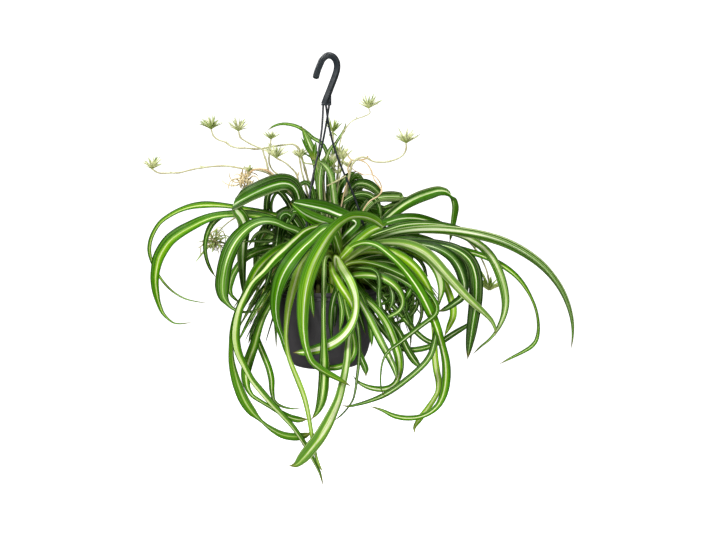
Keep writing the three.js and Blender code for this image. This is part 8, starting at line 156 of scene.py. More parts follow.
# A stalk: node, x, y, z, radius along its length.
STALKS = {
 "R1": ("runner_far_left_with_plantlet", [-1.3,11.2,-329.9,2,-0.7,11.2,-319.1,2,-0.3,11.2,-308.3,2,-0.1,11.2,-297.5,2,-0.5,11.2,-286.7,2,-1.4,10.9,-275.9,2,-3.2,11,-265.4,1.9,-5.6,11,-254.9,1.7,-8.8,10.8,-244.7,1.5,-12.5,10.7,-234.7,1.4,-16.9,10.5,-224.9,1.3,-21.8,10.2,-215.5,1.3,-27.3,9.9,-206.4,1.3,-33.5,9.5,-197.8,1.3,-40.5,9.1,-189.8,1.3,-48.3,8.7,-182.7,1.3,-56.7,8.2,-176.3,1.3,-65.4,7.6,-170.4,1.2,-74.3,7.1,-164.7,1.2,-83.5,6.5,-159.6,1.1,-93.2,5.9,-155.8,1.1,-103.5,5.2,-153.6,1.1,-113.9,4.3,-152.4,1.1,-124.3,3.2,-151.3,1.1,-134.5,1.9,-149.3,1,-144.8,0.5,-148.1,1,-155.1,-1.1,-148.2,1,-165.4,-2.8,-149,1,-175.7,-4.6,-150.2,1,-185.8,-6.6,-151.7,1,-195.8,-8.6,-154,1,-205.8,-10.8,-156.4,0.9,-215.9,-13,-157,0.9,-226,-15.3,-157.2,0.9,-236.1,-17.6,-156.5,0.9,-244.4,-20,-151.1,0.9]),
 "R2": ("runner_left_upper_with_plantlet", [1.3,22.2,-330.3,2,2.1,22.2,-319.4,2,2.7,22.3,-308.5,2,2.9,22.5,-301.3,2,2.6,22.8,-290.4,2,1.4,23.7,-279.7,2,-0.5,24.2,-269.1,2,-3.2,23.6,-258.5,1.9,-5.2,23.1,-251.5,1.7,-8.5,22.6,-241.1,1.6,-11.9,22.3,-230.8,1.4,-15.2,22.1,-220.6,1.4,-18.4,21.9,-210.3,1.4,-20.5,21.9,-203.4,1.4,-23.4,21.8,-193,1.3,-26.1,21.8,-182.7,1.3,-28.9,21.9,-172.3,1.3,-31.6,22,-162,1.3,-33.5,22,-155.1,1.3,-36.3,22.2,-144.8,1.2,-39.2,22.3,-134.6,1.2,-42.8,22.5,-124.5,1.2,-51,22.8,-118.9,1.1,-58.1,23,-119.4,1.1,-68.7,23.4,-120.6,1.1,-79.3,23.8,-122.1,1.1,-89.8,24.3,-124.3,1.1,-100.5,24.9,-125.8,1,-107.6,25.3,-125.6,1,-118.3,25.9,-124.5,1,-129,26.6,-124.4,1,-139.2,27.2,-121.5,1,-148.1,28,-115.6,1.1,-154.9,28.5,-113.8,1,-163.3,29.2,-107.7,0.9,-166.9,30,-97.8,0.9]),
 "R3": ("runner_left_inner_with_plantlet", [-1.3,7.8,-330,2,0.4,7.8,-319.2,2,1.3,7.8,-312,2,2.1,7.8,-301.2,2,2,7.8,-293.9,2,0.7,7.5,-283.2,2,-1.3,6.6,-276.1,2,-6,5.9,-266.4,1.9,-10,6,-260.4,1.8,-16.6,6.1,-252,1.6,-21.3,6,-246.6,1.5,-28.3,5.8,-238.5,1.4,-32.8,5.6,-232.9,1.3,-39.1,5.2,-224.3,1.3,-43,4.9,-218.3,1.3,-48.6,4.3,-209.2,1.3,-52.3,3.9,-203.1,1.3,-58,3.3,-194.1,1.3,-62.1,2.8,-188.3,1.3,-68.7,2,-180,1.3,-73.2,1.5,-174.5,1.3,-79.4,0.5,-165.9,1.2,-82.6,-0.1,-159.6,1.2,-85.4,-1.3,-149.4,1.2,-86.7,-2.2,-142.4,1.1,-90,-3.8,-132.4,1.1,-91.7,-4.9,-125.6,1.1,-100.5,-6.8,-120.7,1,-106.8,-8.2,-117.8,1,-115.8,-10.3,-112.6,1,-121.4,-11.8,-108.6,0.9,-124.3,-14,-98.8,0.9]),
 "R4": ("runner_left_branched_with_plantlets", [1.5,13.7,-330,2,2.5,13.7,-319.2,2,3,13.8,-312,2,3.5,13.8,-301.2,2,3.5,13.8,-294.1,2,2.6,14,-283.4,2,1.2,14.5,-276.4,2,-2.1,15.4,-266.3,1.9,-4.9,15.6,-259.8,1.7,-9.9,15.3,-250.3,1.5,-13.3,15.1,-244.1,1.4,-18.4,14.8,-234.6,1.3,-21.6,14.5,-228.3,1.3,-26.1,14.2,-218.6,1.3,-30.4,13.8,-208.9,1.3,-33.1,13.6,-202.3,1.3,-37,13.2,-192.4,1.3,-39.4,12.9,-185.8,1.3,-42.1,12.4,-175.5,1.2,-43.1,12,-168.5,1.2,-46.5,10.7,-158.6,1.1,-51.2,9.6,-153.4,1.1,-58.6,7.7,-145.9,1.1,-64.4,6.4,-142.1,1,-73.7,4.3,-137.3,0.9]),
 "R4b": ("runner_left_branched_with_plantlets", [2.6,14,-283.4,2,0.6,14.6,-272.8,2,-1.6,15.3,-265.9,1.9,-5.6,15.7,-255.9,1.6,-8.5,15.6,-249.2,1.4,-13,15.2,-239.3,1.3,-15.8,15,-232.6,1.3,-19.7,14.6,-222.5,1.3,-22.2,14.3,-215.8,1.3,-25.6,14,-205.6,1.3,-27.6,13.7,-198.7,1.3,-30.3,13.3,-188.3,1.3,-32,13.1,-181.4,1.3,-34.4,12.7,-171,1.2,-36.2,12.3,-164.1,1.2,-38.7,11.4,-153.7,1.1,-39.6,10.7,-146.6,1.1,-41.7,9.5,-136.2,0.9]),
 "R4c": ("runner_left_branched_with_plantlets", [2.6,14,-283.4,2,0.4,14.7,-272.8,2,-1.8,15.4,-265.9,1.9,-6.1,15.6,-255.9,1.6,-9.3,15.4,-249.3,1.5,-14.3,15.1,-239.6,1.3,-17.7,14.8,-233.2,1.3,-22.6,14.5,-223.5,1.3,-25.9,14.2,-217.1,1.3,-31,13.8,-207.6,1.3,-34.6,13.6,-201.4,1.3,-40.3,13.2,-192.3,1.3,-46.5,12.8,-183.6,1.2,-51.1,12.5,-178.1,1.1,-58.8,12,-170.7,1.1,-64.3,11.5,-166.3,1.1,-72.9,10.6,-160,1.1,-78.3,9.9,-155.4,1,-83.2,8.7,-146.1,1,-83.8,7.9,-139,0.9,-82.8,6.5,-128.4,0.9,-81.8,5.6,-121.3,0.9,-80.5,4.2,-110.7,0.9]),
 "R5": ("runner_top_right_with_plantlet", [9.9,20.6,-329.8,2,9.8,20.6,-322.5,2,9.8,20.6,-311.7,2,9.7,20.6,-300.9,2,9.8,20.6,-293.7,2,9.8,20.7,-286.5,2,9.9,20.7,-275.7,2,10.1,20.8,-264.9,2,10.3,20.9,-257.7,1.9,10.5,21,-250.6,1.7,10.8,21.1,-239.9,1.6,11.1,21.1,-229.1,1.4,11.4,20.8,-222,1.4,11.6,20.5,-214.8,1.3,11.9,20,-204.1,1.3,12.2,19.5,-193.4,1.3,12.4,19.1,-186.3,1.3,12.6,18.8,-179.1,1.2,12.9,18.1,-168.5,1.2,13.1,17.6,-157.8,1.2,13.3,17.3,-150.7,1.2,13.5,16.9,-143.7,1.2,14,16.4,-133.1,1.2,15,15.9,-122.6,1.1,16.1,15.5,-115.6,1.1,17.9,15.1,-108.8,1.1,22.1,14.5,-99.2,1.1,28.3,13.9,-90.7,1.1,33.4,13.5,-85.9,1,39.7,13.2,-82.8,1,49.7,12.6,-79.5,1,58.3,12,-74.2,0.9,56,11.5,-67.8,0.9]),
 "R6": ("runner_right_with_plantlet", [13,1.4,-329.6,2,12.9,1.4,-322.4,2,12.7,1.3,-311.6,2,12.6,1.1,-300.8,2,12.6,0.9,-293.6,2,12.7,0.7,-286.4,2,13,0.7,-275.7,2,13.6,1.2,-265.1,1.9,14.2,1.6,-258,1.8,14.8,1.9,-251,1.6,16.1,4.6,-240.7,1.4,17.5,5.8,-230.2,1.3,18.6,6.3,-223.3,1.3,19.8,6.6,-216.3,1.3,21.6,7.1,-205.8,1.3,23.4,7.5,-195.4,1.3,24.6,7.5,-188.4,1.3,25.8,7.3,-181.4,1.3,27.5,7,-170.9,1.3,29.4,6.5,-160.5,1.3,30.9,6.2,-153.6,1.3,33,5.8,-146.8,1.3,39.5,5.1,-139.1,1.4,49.6,4.4,-136.1,1.1,55.8,3.8,-138.2,1.1,61.8,3.2,-141.7,1,72.2,2.2,-143,1,82.7,1.2,-142.4,1,89.5,0.4,-140.6,1,96,-0.3,-138.2,1,104.7,-1.6,-132.4,1,108.7,-2.8,-122.9,0.9,108.2,-3.7,-115.9,0.9]),
 "R7": ("runner_with_dried_plantlet", [-3.8,-3.2,-329.8,2,-3.1,-3.2,-322.6,2,-2.1,-3.2,-311.8,2,-1.7,-3.2,-304.6,2,-1.6,-3.1,-293.8,2,-2,-2.7,-286.6,2,-3.6,-2.7,-275.9,2,-5.5,-2.8,-269,2,-9.2,-3,-258.9,1.8,-12.2,-3.1,-252.4,1.7,-17.1,-3.1,-242.8,1.5,-20.6,-3.1,-236.6,1.4,-25.9,-3.1,-227.3,1.3,-29.3,-3.1,-221.1,1.3,-34.5,-3.4,-211.7,1.3,-38.1,-3.5,-205.6,1.3,-43.7,-3.7,-196.5,1.3,-47.8,-3.8,-190.8,1.3,-55,-3.8,-182.9,1.3,-60.1,-3.8,-178.1,1.2,-67.5,-3.8,-170.5,1.2,-72.2,-3.9,-165.2,1.2,-79.7,-3.9,-157.8,1.2,-85.8,-3.9,-154.3,1.2,-96.1,-3.9,-152.1,1.2,-103.1,-3.9,-152.9,1.2,-111.9,-3.9,-158.6,1.2,-115.4,-3.9,-164.8,1.3]),
 "R8": ("runner_upright_with_plantlets", [6.9,30,-330,2.1,6.9,30,-319.2,2,6.9,30,-311.9,2,6.9,30,-301.1,2,6.9,30,-293.9,2,6.9,30,-283.1,2,6.9,30,-275.9,2,6.9,30.2,-265.2,1.9,6.9,30.5,-258.1,1.8,6.9,31.1,-247.4,1.6,6.9,31.9,-236.7,1.5,6.9,32.6,-229.7,1.4,7,33.7,-219.1,1.4,7,34.5,-212,1.4,7.1,35.8,-201.4,1.4,7.2,36.7,-194.4,1.4,7.2,38.2,-183.8,1.4,7.2,39.7,-173.3,1.4,7.1,40.7,-166.2,1.4,6.9,42.2,-155.7,1.4,6.7,43.3,-148.6,1.4,6.2,45.4,-138.1,1.3,5.9,47,-131.1,1.3,5.5,49.5,-120.6,1.2,5.4,51.3,-113.6,1.2,5.5,54,-103.1,1.1]),
 "R9": ("runner_upright_with_plantlets", [6.9,30,-283.1,2,7.3,30.1,-272.2,2,7.6,30.3,-265,1.9,8.2,30.8,-254.2,1.8,8.6,31.3,-247,1.6,9.2,32.2,-236.2,1.5,9.5,32.9,-229,1.4,9.9,34,-218.3,1.4,10.1,34.9,-211.2,1.4,10.2,36.2,-200.5,1.4,10.4,37.6,-189.9,1.4,10.6,38.5,-182.8,1.4,11.2,39.9,-172.1,1.4,11.8,40.9,-165,1.3,13.4,42.6,-154.5,1.3,14.4,44,-147.5,1.2,15.5,46,-137,1.1]),
 "R11": ("", [15.7,10.7,-330.1,2,15.3,10.7,-322.9,2,14.7,10.7,-312.1,2,14.4,10.7,-301.2,2,14.4,10.7,-294,2,14.7,10.6,-286.8,2,15.8,10.6,-276.1,2,17.9,10.6,-265.5,1.9,19.8,10.7,-258.6,1.8,22.2,10.9,-251.9,1.6,26.7,11.1,-242.2,1.4,32.5,11.5,-233.2,1.3,36.8,11.7,-227.6,1.3,41.3,12,-222.1,1.3,47.4,12.3,-213.4,1.3,51.9,12.8,-203.8,1.2,57.2,13.1,-199.1,1.2,63.3,13.5,-195.6,1.2,71.7,14.1,-189.2,1.2,74.6,14.9,-179.4,1.2,72.4,15.4,-172.7,1.2,68.5,15.9,-166.8,1.2,60,16.8,-160.8,1.1,49.5,17.7,-162.1,1.1,43.2,18.4,-159.1,1.1,36.9,19.1,-155.9,1.1,28.6,20.1,-149.6,0.9]),
 "R13": ("runner_hanging_with_plantlet", [-7.2,18,-330,2,-5.6,18,-319.2,2,-4.8,18,-312,2,-4.1,18,-301.2,2,-4.2,18,-293.9,2,-5.6,18,-283.2,2,-7.7,18,-276.3,2,-12.4,18.3,-266.7,1.9,-16.4,18.9,-260.8,1.9,-23.4,20,-252.7,1.7,-28.5,21,-247.8,1.6,-36.7,22.8,-241,1.4,-42.4,24.1,-236.7,1.4,-51.3,26.2,-230.8,1.3,-60.5,28.4,-225.3,1.3,-66.8,29.9,-222.1,1.3,-76.8,32.2,-217.9,1.2,-83.6,33.6,-215.7,1.2,-94.3,35.7,-213.8,1.2,-101.5,37,-213.6,1.2,-112.4,39,-215.3,1.2,-119.4,40.4,-217.5,1.2,-129.6,42.5,-222,1.2,-136,43.9,-225.7,1.2,-145.2,46.2,-232.1,1.2,-151,47.7,-236.9,1.2,-158.8,50,-245.1,1.1,-163.3,51.6,-251.2,1.1,-166.7,54,-261.9,1]),
 "R14": ("", [18.6,9.2,-329.9,2,16.5,9.2,-319.1,2,15.4,9.2,-311.9,2,14.4,9.2,-301,2,14.6,9.2,-293.8,2,16.9,9.1,-283.2,2,22.3,9.2,-273.7,2,27.2,9.2,-268.4,1.9,35.6,9.2,-261.7,1.8,41.7,9.1,-257.9,1.7,51.3,9,-252.9,1.5,61.1,8.8,-248.5,1.4,67.8,8.6,-245.8,1.4,77.9,8.3,-242,1.3,84.6,8.1,-239.6,1.3,94.9,7.7,-236.4,1.3,105.3,7.3,-233.8,1.2,112.3,7,-232.4,1.2,123,6.5,-230.9,1.2,130.1,6.2,-230.5,1.2,140.8,5.7,-230.7,1.2,151.4,5,-232.1,1.2,158.4,4.4,-233.7,1.2,168.5,3.4,-236.9,1.2,175.1,2.6,-239.7,1.2,184.4,1.2,-244.7,1.2,193.1,-0.3,-250.8,1.2,198.4,-1.4,-255.4,1.2,205.5,-3.2,-263.3,1.2,209.6,-4.5,-268.9,1.2,215.1,-6.4,-277.9,1.1,219.6,-8.5,-287.4,1.1,222.1,-10,-293.9,1.1,224.6,-12.2,-304.1,1.1,225.4,-13.7,-311,1,225.5,-16,-321.5,0.9]),
 "R15": ("", [-9.4,-5.9,-330,2,-7.5,-5.9,-319.3,2,-6.3,-5.9,-312.1,2,-5.3,-5.8,-301.3,2,-5.3,-5.6,-294,2,-7.7,-5.5,-283.5,2,-11.7,-5.5,-277.6,2,-20.6,-5.9,-271.6,1.8,-27.4,-7,-269.4,1.6,-38,-9.4,-268.3,1.4,-45,-11.2,-269,1.3,-55,-14,-272.2,1.2,-61,-16,-275.7,1.2,-68.9,-18.8,-282.4,1.2,-75.6,-21.2,-290.4,1.2,-79.4,-22.9,-296.3,1.2,-84.3,-25.2,-305.4,1.2,-87.2,-26.8,-311.7,1.2,-90.9,-29.1,-321.5,1.2,-92.9,-30.6,-328.1,1.1,-95.3,-32.9,-338.3,1.1,-96.7,-34.4,-345.1,1.1,-99,-36.6,-355.2,1.1,-100.7,-38,-362,1,-103.2,-40.2,-372.1,1,-104.7,-41.6,-378.8,1,-106.4,-43.7,-389.1,0.9]),
}
ARMS = {
 "hanger_arm_left_front": (245, [-7.2,-4,-66,-8.8,-11.4,-94.8,-13.4,-19.7,-126.8,-19.8,-27,-154.8,-25.5,-35.3,-186.3,-28.8,-43.6,-218.1,-31.7,-51,-246.3,-34.3,-59.3,-277.9,-36,-67.6,-309.5]),
 "hanger_arm_right": (5, [-3,0,-66.1,1.2,0.8,-94.9,9.3,1.6,-126.6,19.7,2.4,-154,33.1,3.2,-184.3,44.2,4.1,-215.7,52.6,4.8,-244.2,61.5,5.7,-276.7,69.8,6.5,-309.5]),
 "hanger_arm_left_rear": (125, [0.8,4,-65.5,-3.8,10.6,-92.9,-10.2,18.1,-123.7,-17.4,24.7,-151.2,-24.7,32.1,-182.6,-31.3,39.6,-214.5,-36.7,46.2,-243.3,-42.5,53.7,-276.2,-47.3,61.1,-309.5]),
}
LOOKS = {
 "mid": (0.1, 0.02, 0.42, 0.65, 0.2, 0.0),
 "bright": (0.12, -0.04, 0.64, 0.65, 0.25, 0.0),
 "dark": (0.075, 0.05, 0.2, 0.7, 0.2, 0.0),
 "darklines": (0.085, 0.1, 0.24, 0.8, 0.25, 0.0, ((0, 1), (0.62, 1.1), (0.68, 3.2), (0.76, 2.2), (0.9, 1.6), (1, 1))),
 "thin": (0.065, 0.0, 0.48, 0.9, 0.1, 0.0),
 "outer": (0.14, 0.1, 0.64, 0.3, 0.2, 0.0),
 "wide": (0.27, -0.15, 0.56, 0.75, 0.5, 0.0),
 "cream": (0.4, 0.1, 0.62, 0.7, 0.5, 0.0),
 "edge": (0.3, -0.45, 0.55, 0.42, 0.35, 0.0, ((0, 0.2), (0.28, 0.4), (0.42, 1.1), (0.75, 1.2), (1, 0.6))),
 "edge2": (0.15, 0.28, 0.42, 0.9, 0.1, 0.0),
 "olive": (0.12, 0.0, 0.42, 0.4, 0.7, 0.03),
 "lime": (0.17, 0.0, 0.92, 0.4, 0.6, 0.0),
 "under": (0.28, 0.05, 0.62, 0.6, 1.0, 0.25),
 "long": (0.2, -0.15, 0.34, 0.8, 0.8, 0.05, ((0, 1.2), (0.35, 1.3), (0.5, 0.8), (0.65, 0.4), (1, 0.3))),
 "underw": (0.3, 0.05, 1.0, 0.3, 0.6, 0.05),
 # folded: the wider pale stripe just past the fold (0.31 to 0.38) is partly the leaf's own pale band and partly a
 # painted highlight where the fold faces the light
 "folded": (0.09, 0.0, 0.78, 0.95, 0.2, 0.0, ((0, 1), (0.26, 1.3), (0.31, 2.4), (0.38, 2.0), (0.44, 1.3), (0.6, 1.0), (1, 0.9))),
 "curl": (0.42, 0.05, 0.74, 0.82, 0.5, 0.1),
 "oliveband": (0.36, -0.1, 0.62, 0.55, 0.6, 0.12, ((0, 0.5), (0.35, 0.9), (0.5, 1.2), (0.76, 1.1), (0.86, 0.35), (1, 0.25))),
 "kinkdark": (0.13, 0.15, 0.34, 0.6, 0.4, 0.0),
 "silver": (0.22, 0.0, 0.58, 0.85, 0.4, 0.1),
 "tlime": (0.15, 0.0, 0.6, 0.75, 0.7, 0.05),
 "dim": (0.055, 0.05, 0.3, 0.5, 0.5, 0.0),
 "base": (0.11, 0.0, 0.62, 0.1, 0.4, 0.0),
 "tuft": (0.3, 0.0, 0.95, 0.5, 0.6, 0.85),
 "young": (0.14, 0.0, 0.72, 0.5, 0.4, 0.1),
 "pale": (0.3, 0.0, 0.85, 0.55, 0.6, 0.5),
 "bud": (0.3, 0.0, 1.0, 0.6, 0.2, 0.8),
 "bract": (0.3, 0.0, 1.0, 0.6, 0.4, 0.9),
}
AX = -4.5
RIM_Z = -317.0
SOIL_Z = -331.4
BASE_Z = -429.5

# ------------------------------------------------------------------ small helpers
def unit(a):
    n = np.linalg.norm(a, axis=-1, keepdims=True)
    return a / np.maximum(n, 1e-9)


def hermite(x, y, xs):
    """Monotone-ish cubic through y at x, with chord-weighted tangents."""
    d = np.diff(x)
    s = np.diff(y, axis=0) / d[:, None]
    m = np.empty_like(y)
    m[0], m[-1] = s[0], s[-1]
    m[1:-1] = (s[:-1] * d[1:, None] + s[1:] * d[:-1, None]) / (d[1:] + d[:-1])[:, None]
    i = np.clip(np.searchsorted(x, xs, side="right") - 1, 0, len(d) - 1)
    t = ((xs - x[i]) / d[i])[:, None]
    h = d[i][:, None]
    return ((2 * t**3 - 3 * t**2 + 1) * y[i] + (t**3 - 2 * t**2 + t) * h * m[i]
            + (-2 * t**3 + 3 * t**2) * y[i + 1] + (t**3 - t**2) * h * m[i + 1])


def add_mesh(name, verts, faces, mat, point=None, face=None, vec=None, sharp=None, smooth=True):
    """verts in millimetres."""
    me = bpy.data.meshes.new(name)
    me.from_pydata((np.asarray(verts) * 0.001).tolist(), [], [list(map(int, f)) for f in faces])
    me.update()
    for k, a in (point or {}).items():
        at = me.attributes.new(k, "FLOAT", "POINT")
        at.data.foreach_set("value", np.asarray(a, dtype=np.float32).ravel())
    for k, a in (face or {}).items():
        at = me.attributes.new(k, "FLOAT", "FACE")
        at.data.foreach_set("value", np.asarray(a, dtype=np.float32).ravel())
    for k, a in (vec or {}).items():
        at = me.attributes.new(k, "FLOAT_VECTOR", "POINT")
        at.data.foreach_set("vector", np.asarray(a, dtype=np.float32).ravel())
    if smooth:
        me.polygons.foreach_set("use_smooth", [True] * len(me.polygons))
        if sharp:
            me.set_sharp_from_angle(angle=math.radians(sharp))
    me.materials.append(mat)
    ob = bpy.data.objects.new(name, me)
    bpy.context.scene.collection.objects.link(ob)
    return ob


class Build:
    """Collects several closed skins into one mesh."""

    def __init__(self):
        self.v, self.f, self.p, self.fa, self.ve = [], [], {}, {}, {}
        self.n = 0

    def add(self, part):
        v, f, point, face, vec = part
        self.v.append(v)
        self.f += [[i + self.n for i in q] for q in f]
        for d, s in ((self.p, point), (self.fa, face), (self.ve, vec)):
            for k, a in s.items():
                d.setdefault(k, []).append(np.asarray(a, dtype=float))
        self.n += len(v)

    def done(self, name, mat, sharp=55):
        cat = lambda d: {k: np.concatenate(a) for k, a in d.items()}
        return add_mesh(name, np.vstack(self.v), self.f, mat, cat(self.p), cat(self.fa), cat(self.ve), sharp)


def rings_of(P, S, h, step, start_fold, end_fold):
    """Dense stations along one run of blade between folds. A fold's ring lies along the crease."""
    seg = np.linalg.norm(np.diff(P, axis=0), axis=1)
    x = np.r_[0, np.cumsum(np.maximum(seg, 0.2))]
    n = max(8, int(x[-1] / step))
    xs = np.unique(np.r_[np.linspace(0, x[-1], n), x])
    keep = np.r_[True, np.diff(xs) > 0.8]
    keep[-1] = True
    if len(xs) > 2 and xs[-1] - xs[-2] < 0.5:
        keep[-2] = False
    keep[0] = True
    xs = xs[keep]
    S = S.copy()
    if start_fold is not None:
        S[0] = S[1]
    if end_fold is not None:
        S[-1] = S[-2]
    Q = hermite(x, P, xs)
    A = hermite(x, S, xs)
    H = np.maximum(hermite(x, h[:, None], xs)[:, 0], 0.3)
    T = unit(np.gradient(Q, xs, axis=0))
    A = unit(A - T * (A * T).sum(1)[:, None])
    N = unit(np.cross(T, A))
    skew = np.zeros(len(xs))
    flat = np.ones(len(xs))
    for fold, at in ((start_fold, 0), (end_fold, -1)):
        if fold is None:
            continue
        c = fold - N[at] * (fold @ N[at])
        c = c / max(np.linalg.norm(c), 1e-6)
        along, across = c @ T[at], c @ A[at]
        cot = np.clip(along / (across if abs(across) > 0.25 else math.copysign(0.25, across if across else 1)), -1.6, 1.6)
        dist = abs(xs - xs[at])
        reach = max(2.4 * H[at] * abs(cot), 5.0)
        skew = skew + cot * np.clip(1 - dist / reach, 0, 1)
        flat = flat * (1 - np.exp(-((dist / 7.0) ** 2)))
    return x, xs, Q, A, H, T, N, skew, flat


def blade(st, look, across=10, step=4.0, thick=0.8, fold=0.2, seed=0, wave=0.0, kinks=(), stretch=None):
    """A strap leaf from stations (x, y, z, sx, sy, sz, half width): a shallow channel with a rounded keel and thin edges."""
    st = np.asarray(st, dtype=float)
    P, S, h = st[:, :3], st[:, 3:6], np.maximum(st[:, 6], 0.35)
    cuts = [0] + [k for k in kinks if 2 < k < len(P) - 3] + [len(P) - 1]
    creases = []
    for k in cuts[1:-1]:
        t1, t2 = unit(P[k] - P[k - 1]), unit(P[k + 1] - P[k])
        c = t1 + t2
        c = S[k - 1] if np.linalg.norm(c) < 0.25 else unit(c)
        if c @ S[k - 1] < 0:
            c = -c
        creases.append((c, t1, t2))
    parts = []
    base = 0.0
    for q in range(len(cuts) - 1):
        a, b = cuts[q], cuts[q + 1]
        x, xs, Q, A, H, T, N, skew, flat = rings_of(P[a:b + 1], S[a:b + 1], h[a:b + 1], step, creases[q - 1][0] if q else None, creases[q][0] if q < len(creases) else None)
        if q < len(creases):
            # room for the doubled leaf, and one ring at the very fold
            c, t1, t2 = creases[q]
            out = unit(t1 - t2)
            n1 = N[-1]
            after = P[min(b + 3, len(P) - 1)] - P[b]
            m = out if after @ n1 < 0 else -out
            Q = np.vstack([Q, Q[-1] + out * 0.5])
            A, H, T = np.vstack([A, A[-1]]), np.r_[H, H[-1]], np.vstack([T, T[-1]])
            N = np.vstack([N, m])
            skew, flat, xs = np.r_[skew, skew[-1]], np.r_[flat, 0.0], np.r_[xs, xs[-1] + 0.3]
        parts.append((xs + base, Q, A, H, T, N, skew, flat))
        base += xs[-1] + 0.3
    xs, Q, A, H, T, N, skew, flat = (np.concatenate([p[i] for p in parts]) for i in range(8))
    total = xs[-1]
    tail = np.clip((total - xs) / min(9.0, 0.3 * total), 0, 1) ** 0.7
    H = H * (0.12 + 0.88 * tail)
    rs = np.random.RandomState(seed + SEED)
    ph = rs.uniform(0, 6.28, 4)
    m = across
    u = np.linspace(-1, 1, m + 1)
    u = np.sign(u) * np.abs(u) ** 0.9
    lift = fold * (np.abs(u) ** 1.35)
    rib = -0.05 * np.exp(-((u / 0.16) ** 2))
    t2 = thick * 0.5 * (1 - 0.82 * np.abs(u) ** 1.6)
    rows_v, rows_u, rows_x = [], [], []
    for i in range(len(xs)):
        ripple = (wave * np.sin(xs[i] / 17.0 + ph[0]) * u**3 + 0.6 * wave * np.sin(xs[i] / 29.0 + ph[1]) * np.abs(u) ** 2.5) * flat[i]
        off = H[i] * (lift * flat[i] + rib * flat[i] + ripple)
        tt = t2 * (0.35 + 0.65 * tail[i]) * min(1.0, H[i] / 3.0 + 0.25)
        side = A[i] + T[i] * skew[i]
        top = Q[i] + side * (u * H[i])[:, None] + N[i] * (off + tt)[:, None]
        bot = Q[i] + side * (u[1:-1] * H[i])[:, None] + N[i] * (off - tt * 1.25 - 0.25 * np.exp(-((u / 0.12) ** 2)) * min(1, H[i] / 6))[1:-1, None]
        rows_v.append(np.vstack([top, bot[::-1]]))
        rows_u.append(np.r_[u, u[1:-1][::-1]])
        rows_x.append(np.full(2 * m, xs[i]))
    k = 2 * m
    V = np.vstack(rows_v)
    F, side = [], []
    for i in range(len(xs) - 1):
        a, b = i * k, (i + 1) * k
        for j in range(k):
            j2 = (j + 1) % k
            F.append([a + j, a + j2, b + j2, b + j])
            side.append(1.0 if j < m else 0.0)
    e = (len(xs) - 1) * k

    # the two ends close with strips between the upper and the lower row
    def cap(base, turn):
        out = []
        up = [base + j for j in range(m + 1)]
        lo = [base] + [base + k - j for j in range(1, m)] + [base + m]
        for j in range(m):
            q = [up[j], lo[j], lo[j + 1], up[j + 1]]
            q = [p for n_, p in enumerate(q) if p not in q[:n_]]
            if len(q) > 2:
                out.append(q if turn else q[::-1])
        return out

    for base, turn in ((0, False), (e, True)):
        c = cap(base, turn)
        F += c
        side += [0.5] * len(c)
    Fa = np.array([f[:3] for f in F])
    if np.einsum("ij,ij->i", V[Fa[:, 0]], np.cross(V[Fa[:, 1]], V[Fa[:, 2]])).sum() < 0:
        F = [f[::-1] for f in F]
    X = np.concatenate(rows_x)
    ws, offc, green, cream, lines, under = look[:6]
    scale = np.interp(X / total, *zip(*look[6])) if len(look) > 6 else np.ones(len(X))
    rnd = float(rs.uniform())
    nV = len(V)
    point = {"lu": np.concatenate(rows_u), "lm": X * 0.001, "lt": X / total, "lk": np.full(nV, under)}
    vec = {"look_a": np.c_[ws * scale, np.full(nV, offc), np.full(nV, green)], "look_b": np.tile([cream, lines, rnd], (nV, 1))}
    return V, F, point, {"ls": side}, vec


def tube(P, r, sides=10, step=3.0, knots=0.0, seed=0, square=0.0):
    P = np.asarray(P, dtype=float)
    r = np.asarray(r, dtype=float)
    seg = np.linalg.norm(np.diff(P, axis=0), axis=1)
    x = np.r_[0, np.cumsum(np.maximum(seg, 0.05))]
    xs = np.linspace(0, x[-1], max(4, int(x[-1] / step)))
    Q = hermite(x, P, xs)
    R = hermite(x, r[:, None], xs)[:, 0]
    rs = np.random.RandomState(seed + 7)
    if knots:
        for c in np.arange(rs.uniform(10, 25), x[-1], 32):
            R = R * (1 + knots * np.exp(-(((xs - c) / 2.5) ** 2)))
        R = R * (1 + 0.08 * np.sin(xs / 3.1 + rs.uniform(0, 6)))
    T = unit(np.gradient(Q, xs, axis=0))
    ref = np.array([0.2, 1.0, 0.1])
    A = unit(np.cross(T, ref))
    B = np.cross(T, A)
    w = np.arange(sides) * 2 * math.pi / sides
    V = np.vstack([Q[i] + R[i] * (np.cos(w)[:, None] * A[i] + np.sin(w)[:, None] * B[i]) for i in range(len(xs))])
    F = []
    for i in range(len(xs) - 1):
        for j in range(sides):
            a, b = i * sides + j, i * sides + (j + 1) % sides
            F.append([a, b, b + sides, a + sides])
    F.append(list(range(sides))[::-1])
    F.append([(len(xs) - 1) * sides + j for j in range(sides)])
    Fa = np.array([f[:3] for f in F])
    if np.einsum("ij,ij->i", V[Fa[:, 0]], np.cross(V[Fa[:, 1]], V[Fa[:, 2]])).sum() < 0:
        F = [f[::-1] for f in F]
    n = len(V)
    return V, F, {"lm": np.repeat(xs, sides) * 0.001, "lt": np.repeat(xs / x[-1], sides)}, {}, {}


